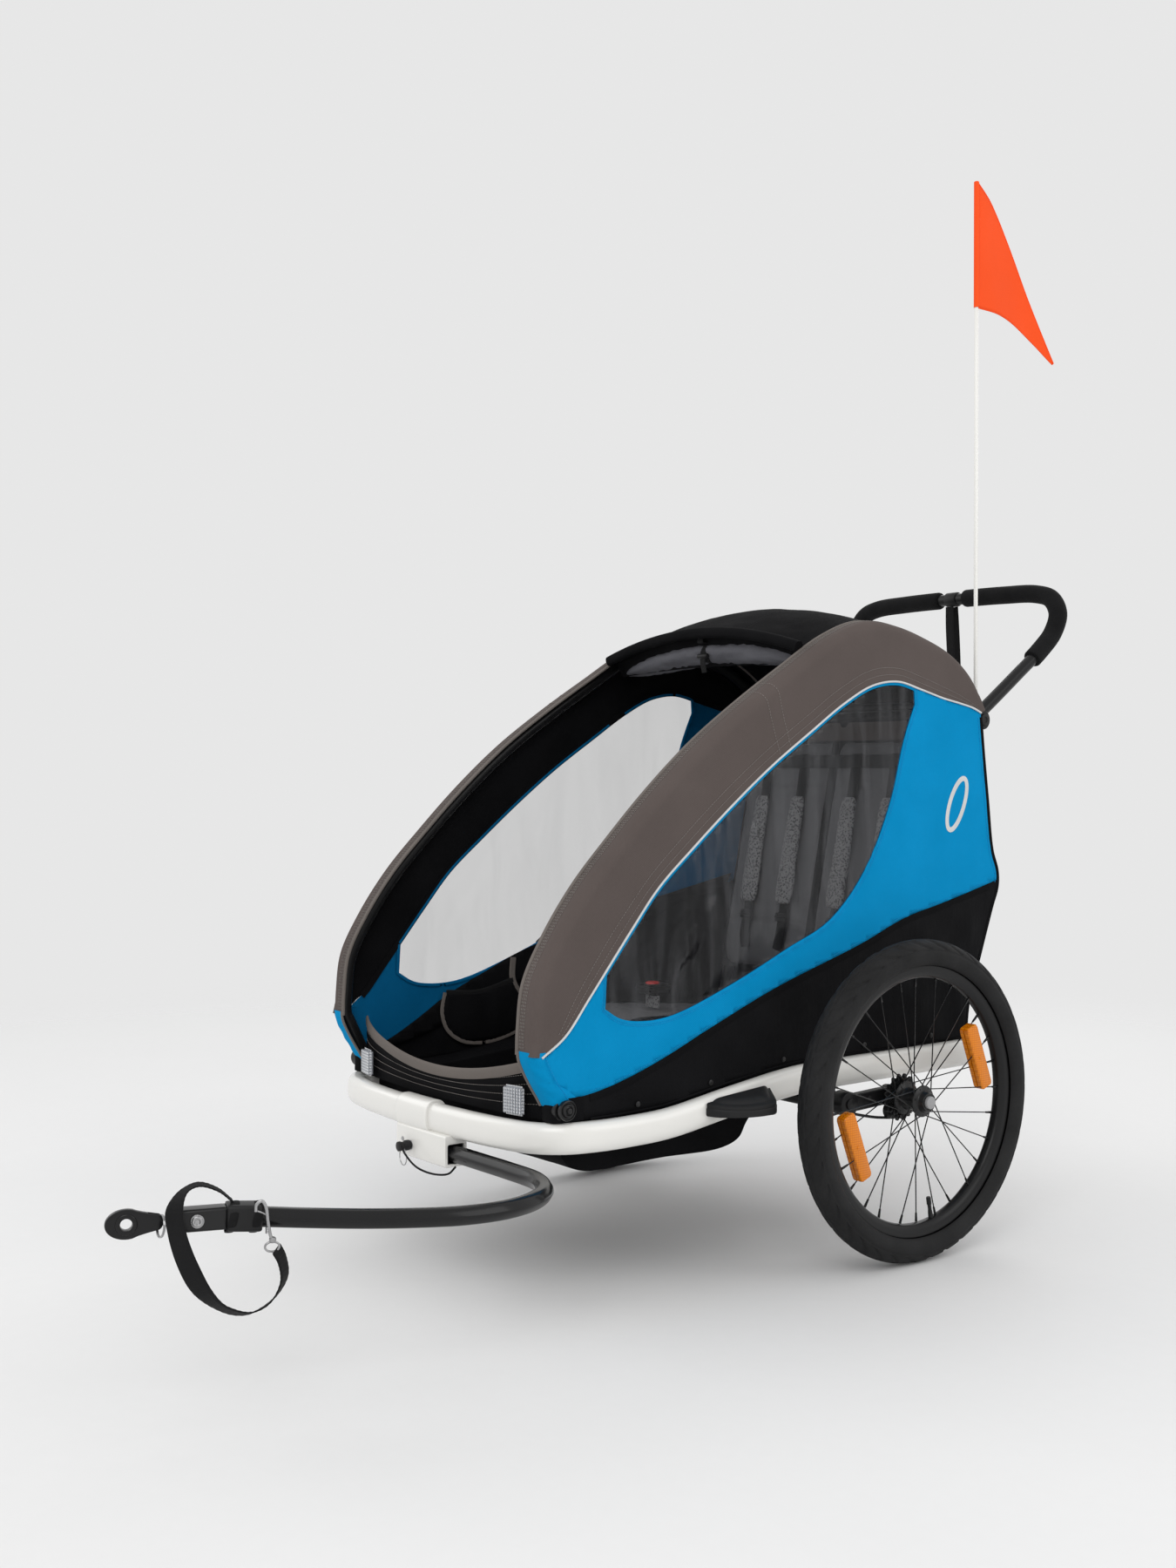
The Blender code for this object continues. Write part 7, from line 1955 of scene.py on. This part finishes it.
def puff(obs, kinds, caps):
    start = [[v.co.copy() for v in o.data.vertices] for o in obs]
    for o, kind in zip(obs, kinds):
        g = o.vertex_groups.new(name="held")
        g.add(seam_depth(o, kind), 1.0, "REPLACE")
        c = o.modifiers.new("c", "CLOTH")
        s = c.settings
        s.quality = 4
        s.mass = 0.25
        s.tension_stiffness = s.compression_stiffness = 12.0
        s.shear_stiffness = 4.0
        s.bending_stiffness = 0.35
        s.use_pressure = True
        s.uniform_pressure_force = 4.0
        s.effector_weights.gravity = 0.0
        s.vertex_group_mass = "held"
        s.pin_stiffness = 1.0
        c.point_cache.frame_start = 1
        c.point_cache.frame_end = 20
    sc = bpy.context.scene
    for f in range(1, 21):
        sc.frame_set(f)
    dg = bpy.context.evaluated_depsgraph_get()
    new = [[v.co.copy() for v in o.evaluated_get(dg).data.vertices] for o in obs]
    for o, a, b, cap in zip(obs, start, new, caps):
        o.modifiers.clear()
        o.vertex_groups.clear()
        for v, p, q in zip(o.data.vertices, a, b):
            d = q - p
            L = d.length
            if L > cap:
                d *= cap / L
            v.co = p + d
    sc.frame_set(1)
    for o in obs:
        bm_ = bmesh.new()
        bm_.from_mesh(o.data)
        for _ in range(3):
            bmesh.ops.smooth_vert(bm_, verts=bm_.verts, factor=0.5, use_axis_x=True, use_axis_y=True, use_axis_z=True)
        bm_.to_mesh(o.data)
        bm_.free()
    for o, kind in zip(obs, kinds):
        # quilting seams pull the top skin in a little
        for v in o.data.vertices:
            c = v.co
            if kind == "seat":
                s = c.y + 0.262
                d = min(abs(s - q) for q in SEW_SEAT)
                c.z -= 0.0022 * math.exp(-(d / 0.0045) ** 2) * (1 if 0.012 < abs(c.x) < 0.228 else 0)
                c.z += 0.0008 * wob(c.x, c.y * 0.5, 5, 26.0)
            elif kind == "back":
                rel = c - on_back(0, 0, 0)
                r = rel.dot(back_dir)
                d = min(abs(r - 0.400), abs(r - 0.150))
                if rel.dot(back_n) > 0.018:
                    c -= back_n * 0.0022 * math.exp(-(d / 0.0045) ** 2)
                    c += back_n * 0.0006 * wob(c.x, c.z, 7, 55.0)
        s = o.modifiers.new("s", "SUBSURF")
        s.levels = s.render_levels = 1
        baked(o)


puff(pads, ["seat", "back"] * 2 + ["shoulder"] * 4, [0.0045, 0.0045] * 2 + [0.0025] * 4)
for i, (ob, side) in enumerate(zip(seat_pads, ("left", "right"))):
    put(ob, "seat_pad_" + side, "grey_cloth", "trailer", ["seat_cushion"], angle=None)
for i, (ob, side) in enumerate(zip(back_pads, ("left", "right"))):
    put(ob, "back_pad_" + side, "grey_cloth", "backrest", ["seat_back"], angle=None)
for ob, nm in zip(shoulder, ("left_outer", "left_inner", "right_inner", "right_outer")):
    put(ob, "shoulder_pad_" + nm, "mesh_pad", "backrest", ["harness"], angle=None)

# seat base cloth, skirt and the dark dividers
rings = []
skirt = flat([(-0.2480, 0.2905), (-0.2520, 0.3120), (-0.2560, 0.3290), (-0.2400, 0.3335), (-0.19, 0.3335), (-0.05, 0.3225), (0.100, 0.3080), (0.1270, 0.3020)], 8)
for k in range(-20, 21):
    x = 0.234 * k / 20
    o, n_ = [], []
    for i, (y, z) in enumerate(skirt):
        a, b = skirt[max(i - 1, 0)], skirt[min(i + 1, len(skirt) - 1)]
        t = Vector((b[0] - a[0], b[1] - a[1])).normalized()
        nn = Vector((0, t.y, -t.x))
        q = 0.0012 * wob(x, y * 0.6 + z, 6, 20.0)
        o.append(Vector((x, y, z)) + nn * (0.0014 + q))
        n_.append(Vector((x, y, z)) + nn * q)
    rings.append(o + n_[::-1])
base = loft(rings)
divs = [ribbon([Vector((0, y, z + 0.0010)) for y, z in seat_top[2:-1]], 0.0090, (1, 0, 0), 0.0022)]
for sx in (1.0, -1.0):
    divs.append(sweep([Vector((sx * 0.2305, y, z - 0.0075)) for y, z in seat_top[1:-1]], oval(0.0082, 0.0030, 16, 2.4), (0, 0, 1)))
put(join([base] + divs), "seat_sling", "black_cloth", "trailer", ["seat_cushion"], angle=50)
divs = [ribbon([on_back(0, r, 0.0310) for r in [0.066 + 0.418 * k / 24 for k in range(25)]], 0.0095, (1, 0, 0), 0.0024)]
panel_b = []
for k in range(-20, 21):
    x = 0.216 * k / 20
    o, n_ = [], []
    for j in range(31):
        r = 0.062 + 0.470 * j / 30
        q = 0.0012 * wob(x, r, 6, 18.0)
        o.append(on_back(x, r, 0.0140 + q))
        n_.append(on_back(x, r, 0.0124 + q))
    panel_b.append(o + n_[::-1])
divs.append(loft(panel_b))
for sx in (1.0, -1.0):
    divs.append(sweep([on_back(sx * 0.2155, r, 0.0235) for r in [0.062 + 0.428 * k / 24 for k in range(25)]], oval(0.0085, 0.0030, 16, 2.4), back_n))
put(join(divs), "back_dividers", "black_cloth", "backrest", ["seat_back"], angle=50)

rings = []
for k in range(-24, 25):
    x = 0.2100 * k / 24
    o, n_ = [], []
    for j in range(13):
        r = 0.492 + 0.034 * j / 12
        q = 0.0010 * wob(x, r, 9, 30.0)
        o.append(on_back(x, r, 0.0165 - 0.002 * j / 12 + q))
        n_.append(on_back(x, r, 0.0148 - 0.002 * j / 12 + q))
    rings.append(o + n_[::-1])
put(loft(rings), "back_header", "taupe", "backrest", angle=50)

# ---------------------------------------------------------------- harness
bits, plast = [], []
for cx in (0.110, -0.110):
    for dx in (0.046, -0.046):
        x = cx + dx
        lo_r = [on_back(x - dx * 0.10, 0.100, 0.0375), on_back(x, 0.122, 0.0400), on_back(x, 0.185, 0.0390), on_back(x, 0.28, 0.0388), on_back(x, 0.385, 0.0392), on_back(x, 0.425, 0.0400), on_back(x, 0.462, 0.0405)]
        bits.append(ribbon(spline(lo_r, 6), 0.0120, (1, 0, 0), 0.0014))
        plast.append(box((-0.0150, -0.0080, -0.0022), (0.0150, 0.0080, 0.0022), 0.0016, 3))
        fr = Matrix((Vector((1, 0, 0)), back_dir, back_n)).transposed().to_4x4()
        fr.translation = on_back(x, 0.160, 0.0430)
        plast[-1].data.transform(fr)
        plast.append(rod(on_back(x - 0.0140, 0.160, 0.0462), on_back(x + 0.0140, 0.160, 0.0462), 0.0017, 14, 0.0004))
bits.append(ribbon([on_back(-0.170 + 0.34 * k / 16, 0.448, 0.0425) for k in range(17)], 0.0120, back_dir, 0.0016))
put(join(bits), "harness_webbing", "webbing", "backrest", ["harness"], angle=50)
put(join(plast), "harness_adjusters", "plastic", "backrest", ["harness"])

for side, sx in (("left", 1.0), ("right", -1.0)):
    cx = sx * 0.110
    body_ = box((cx - 0.022, -0.140, 0.3760), (cx + 0.022, -0.090, 0.3912), 0.0045, 4)
    cut(body_, [rod((cx, -0.115, 0.3840), (cx, -0.115, 0.40), 0.0129, 36)])
    slots_ = [box((cx + q - 0.0035, -0.092, 0.3810), (cx + q + 0.0035, -0.086, 0.3870), 0.001, 2) for q in (-0.012, 0.012)]
    put(join([body_] + slots_), "buckle_" + side, "plastic_gloss", "trailer", ["crotch_buckle_" + side])
    web = ribbon(spline([(cx, -0.1150, 0.3480), (cx, -0.1146, 0.3600), (cx, -0.1156, 0.3700), (cx, -0.1150, 0.3790)], 6), 0.0124, (1, 0, 0), 0.0022)
    cov = sweep(spline([(cx, -0.1150, 0.3495), (cx, -0.1150, 0.3600), (cx, -0.1150, 0.3700)], 5), oval(0.0170, 0.0052, 24, 2.6), (1, 0, 0))
    put(join([web]), "buckle_webbing_" + side, "webbing", "trailer", angle=50)
    put(cov, "buckle_sleeve_" + side, "mesh_pad", "trailer", angle=50)
    put(turned((cx, -0.115, 0.3875), (0, 0, 1), [(0, 0), (0, 0.0122), (0.0050, 0.0122), (0.0062, 0.0114), (0.0066, 0.0095), (0.0058, 0.0050), (0.0054, 0)], 40), "button_cap_" + side, "red", "release_" + side, ["buckle_button_" + side])

# ---------------------------------------------------------------- back frame
u_pts = spline([on_back(BACK_X, 0.0), on_back(BACK_X, 0.15), on_back(BACK_X, 0.30), on_back(BACK_X, BACK_LEN - 0.06), on_back(BACK_X - 0.004, BACK_LEN - 0.026),
                on_back(BACK_X - 0.026, BACK_LEN - 0.004), on_back(BACK_X - 0.06, BACK_LEN), on_back(0.0, BACK_LEN),
                on_back(-BACK_X + 0.06, BACK_LEN), on_back(-BACK_X + 0.026, BACK_LEN - 0.004), on_back(-BACK_X + 0.004, BACK_LEN - 0.026),
                on_back(-BACK_X, BACK_LEN - 0.06), on_back(-BACK_X, 0.30), on_back(-BACK_X, 0.15), on_back(-BACK_X, 0.0)], 6)
bk = [sweep(u_pts, circle(0.0105, 24), back_n), tube([on_back(-BACK_X, 0.0), on_back(BACK_X, 0.0)], 0.0095, (0, 0, 1), 24)]
for x in (BACK_X, -BACK_X):
    bk.append(rod(on_back(x - math.copysign(0.012, x), 0.0), on_back(x + math.copysign(0.012, x), 0.0), 0.0125, 28, 0.0012))
put(join(bk), "back_tube", "tube", "backrest", ["back_frame"])

# ---------------------------------------------------------------- luggage bag
bag_line = flat([(0.2900, 0.8180), (0.2940, 0.7980), (0.3050, 0.7090), (0.3170, 0.6190), (0.3318, 0.5880), (0.3318, 0.5660), (0.3170, 0.5290), (0.2850, 0.4420),
                 (0.2580, 0.3700), (0.2480, 0.3260), (0.2350, 0.3205), (0.1880, 0.3205)], 8)
front_l = flat([(0.1820, 0.3240), (0.2100, 0.4700), (0.2450, 0.6500), (0.2770, 0.8180)], 10)
NB = 40
rings = []
for k in range(NB + 1):
    x = -0.2310 + 0.4620 * k / NB
    edge_f = 1 - (abs(x) / 0.231) ** 4
    row = []
    for (y, z) in bag_line:
        e = min(1.0, (0.825 - z) / 0.06) * min(1.0, max(0.1, (z - 0.318) / 0.08))
        sag = 0.0075 * edge_f * math.sin(math.pi * min(1.0, max(0.0, (0.815 - z) / 0.50))) * (y > 0.24)
        q = 0.0034 * e * edge_f * wob(x * 0.9, z, 14, 14.0) + 0.0016 * e * wob(x, z * 0.6, 3, 38.0) * edge_f
        row.append(Vector((x, y + sag * 0.75 + q, z - 0.004 * edge_f * (z < 0.33))))
    row += [Vector((x, y, z)) for y, z in front_l]
    rings.append(row)
m_open = len(bag_line) + len(front_l)
bm = bmesh.new()
rowsb = [[bm.verts.new(p) for p in r] for r in rings]
for a, b in zip(rowsb, rowsb[1:]):
    for k in range(m_open - 1):
        bm.faces.new((a[k], a[k + 1], b[k + 1], b[k]))
nl = len(bag_line)
for row in (rowsb[0], rowsb[-1]):
    # side walls: join matching points of the outer and the front line
    of, fr_ = row[:nl][::-1], row[nl:]
    i = j = 0
    while i < len(of) - 1 or j < len(fr_) - 1:
        if j < len(fr_) - 1 and (i == len(of) - 1 or fr_[j + 1].co.z <= of[i + 1].co.z):
            bm.faces.new((of[i], fr_[j], fr_[j + 1]))
            j += 1
        else:
            bm.faces.new((of[i], fr_[j], of[i + 1]))
            i += 1
bmesh.ops.recalc_face_normals(bm, faces=bm.faces)
me = bpy.data.meshes.new("bag")
bm.to_mesh(me)
bm.free()
bag = bpy.data.objects.new("bag", me)
bpy.context.scene.collection.objects.link(bag)
s = bag.modifiers.new("s", "SOLIDIFY")
s.thickness = 0.0013
s.offset = -1
bag = put(bag, "bag_cloth", "black_cloth", "trailer", ["luggage_bag"], angle=55)
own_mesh(bag)
hemp = [Vector((-0.2300, 0.2772, 0.8180)), Vector((-0.2300, 0.2900, 0.8180))] + [Vector((-0.2300 + 0.46 * k / 20, 0.2906, 0.8180)) for k in range(1, 20)] + [Vector((0.2300, 0.2900, 0.8180)), Vector((0.2300, 0.2772, 0.8180))]
hm = sweep(hemp, oval(0.0042, 0.0018, 14, 2.4), (0, 0, 1))
seams_b = []
for x in (-0.150, 0.150):
    seams_b.append(ribbon([Vector((x, y + 0.0038 + 0.0075 * 0.75 * (1 - (abs(x) / 0.231) ** 4) * math.sin(math.pi * min(1.0, max(0.0, (0.815 - z) / 0.50))), z)) for y, z in bag_line[1:58]], 0.0100, (1, 0, 0), 0.0014))
bh = put(join([hm] + seams_b), "bag_binding", "webbing", "trailer", angle=50)
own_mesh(bh)

# cloth between the bag and each side
by_z = sorted((z, y) for y, z in bag_line if y > 0.2400)


def at_z(table, z):
    for (za, ya), (zb, yb) in zip(table, table[1:]):
        if z <= zb:
            return ya + (yb - ya) * max(0.0, z - za) / max(1e-6, zb - za)
    return table[-1][1]


edge_z = sorted((z, y) for y, z in rear_edge)
for side, sx in (("left", 1.0), ("right", -1.0)):
    rings = []
    for k in range(61):
        z = 0.3240 + (0.8060 - 0.3240) * k / 60
        ya, yb = at_z(edge_z, z) - 0.0022, at_z(by_z, z) - 0.0040
        o, n_ = [], []
        for j in range(9):
            u = j / 8
            p = Vector((0.2756 + (0.2318 - 0.2756) * u, ya + (yb - ya) * u - 0.0065 * math.sin(math.pi * u) - 0.0045 * math.sin(math.pi * u) * wob(z * 1.3, u * 0.04, 7 + sx, 24.0), z))
            o.append(Vector((sx * p.x, p.y, p.z)))
            n_.append(Vector((sx * p.x, p.y - 0.0012, p.z)))
        rings.append(o + n_[::-1])
    gs = put(loft(rings), "rear_gusset_" + side, "black_cloth", "trailer", angle=50)
    folds(gs)

# plain outline badge on each rear blue field
for side, sx in (("left", 1.0), ("right", -1.0)):
    sd = 0.0 if sx > 0 else 31.0
    cy, cz = 0.225, 0.705
    loop = []
    for k in range(49):
        a = 2 * math.pi * k / 48
        loop.append((cy + 0.019 * math.cos(a) + 0.016 * math.sin(a), cz + 0.043 * math.sin(a)))
    t_ = tape(loop, lambda y, z: PX + blue_x(y, z, sd) + 0.0003, 0.0042, 0.0003, sx)
    bd = put(t_, "badge_" + side, "piping", "trailer", angle=50)
    folds(bd)




# ---------------------------------------------------------------- floor
fm = Mat("floor_pale", (0.80, 0.80, 0.80), 0.75, Specular_IOR_Level=0.1)
fm.link("Base Color", fm.vary(0.010, 1.5, 40.0))
fm.link("Roughness", fm.range(fm.noise(3.0, 3.0), 0.68, 0.82))
xyz = fm.node("ShaderNodeSeparateXYZ")
fm.set(xyz.inputs[0], fm.co)
far_ = fm.math("SQRT", fm.math("ADD", fm.math("MULTIPLY", xyz.outputs[0], xyz.outputs[0]), fm.math("MULTIPLY", xyz.outputs[1], xyz.outputs[1])))
fm.link("Alpha", fm.range(far_, 1.0, 0.0, 1.3, 3.6))
bmf = bmesh.new()
bmesh.ops.create_grid(bmf, x_segments=8, y_segments=8, size=4.0)
floor = obj("floor", bmf)
floor.location = (0, 0, -0.0005)
floor.data.materials.append(fm.m)
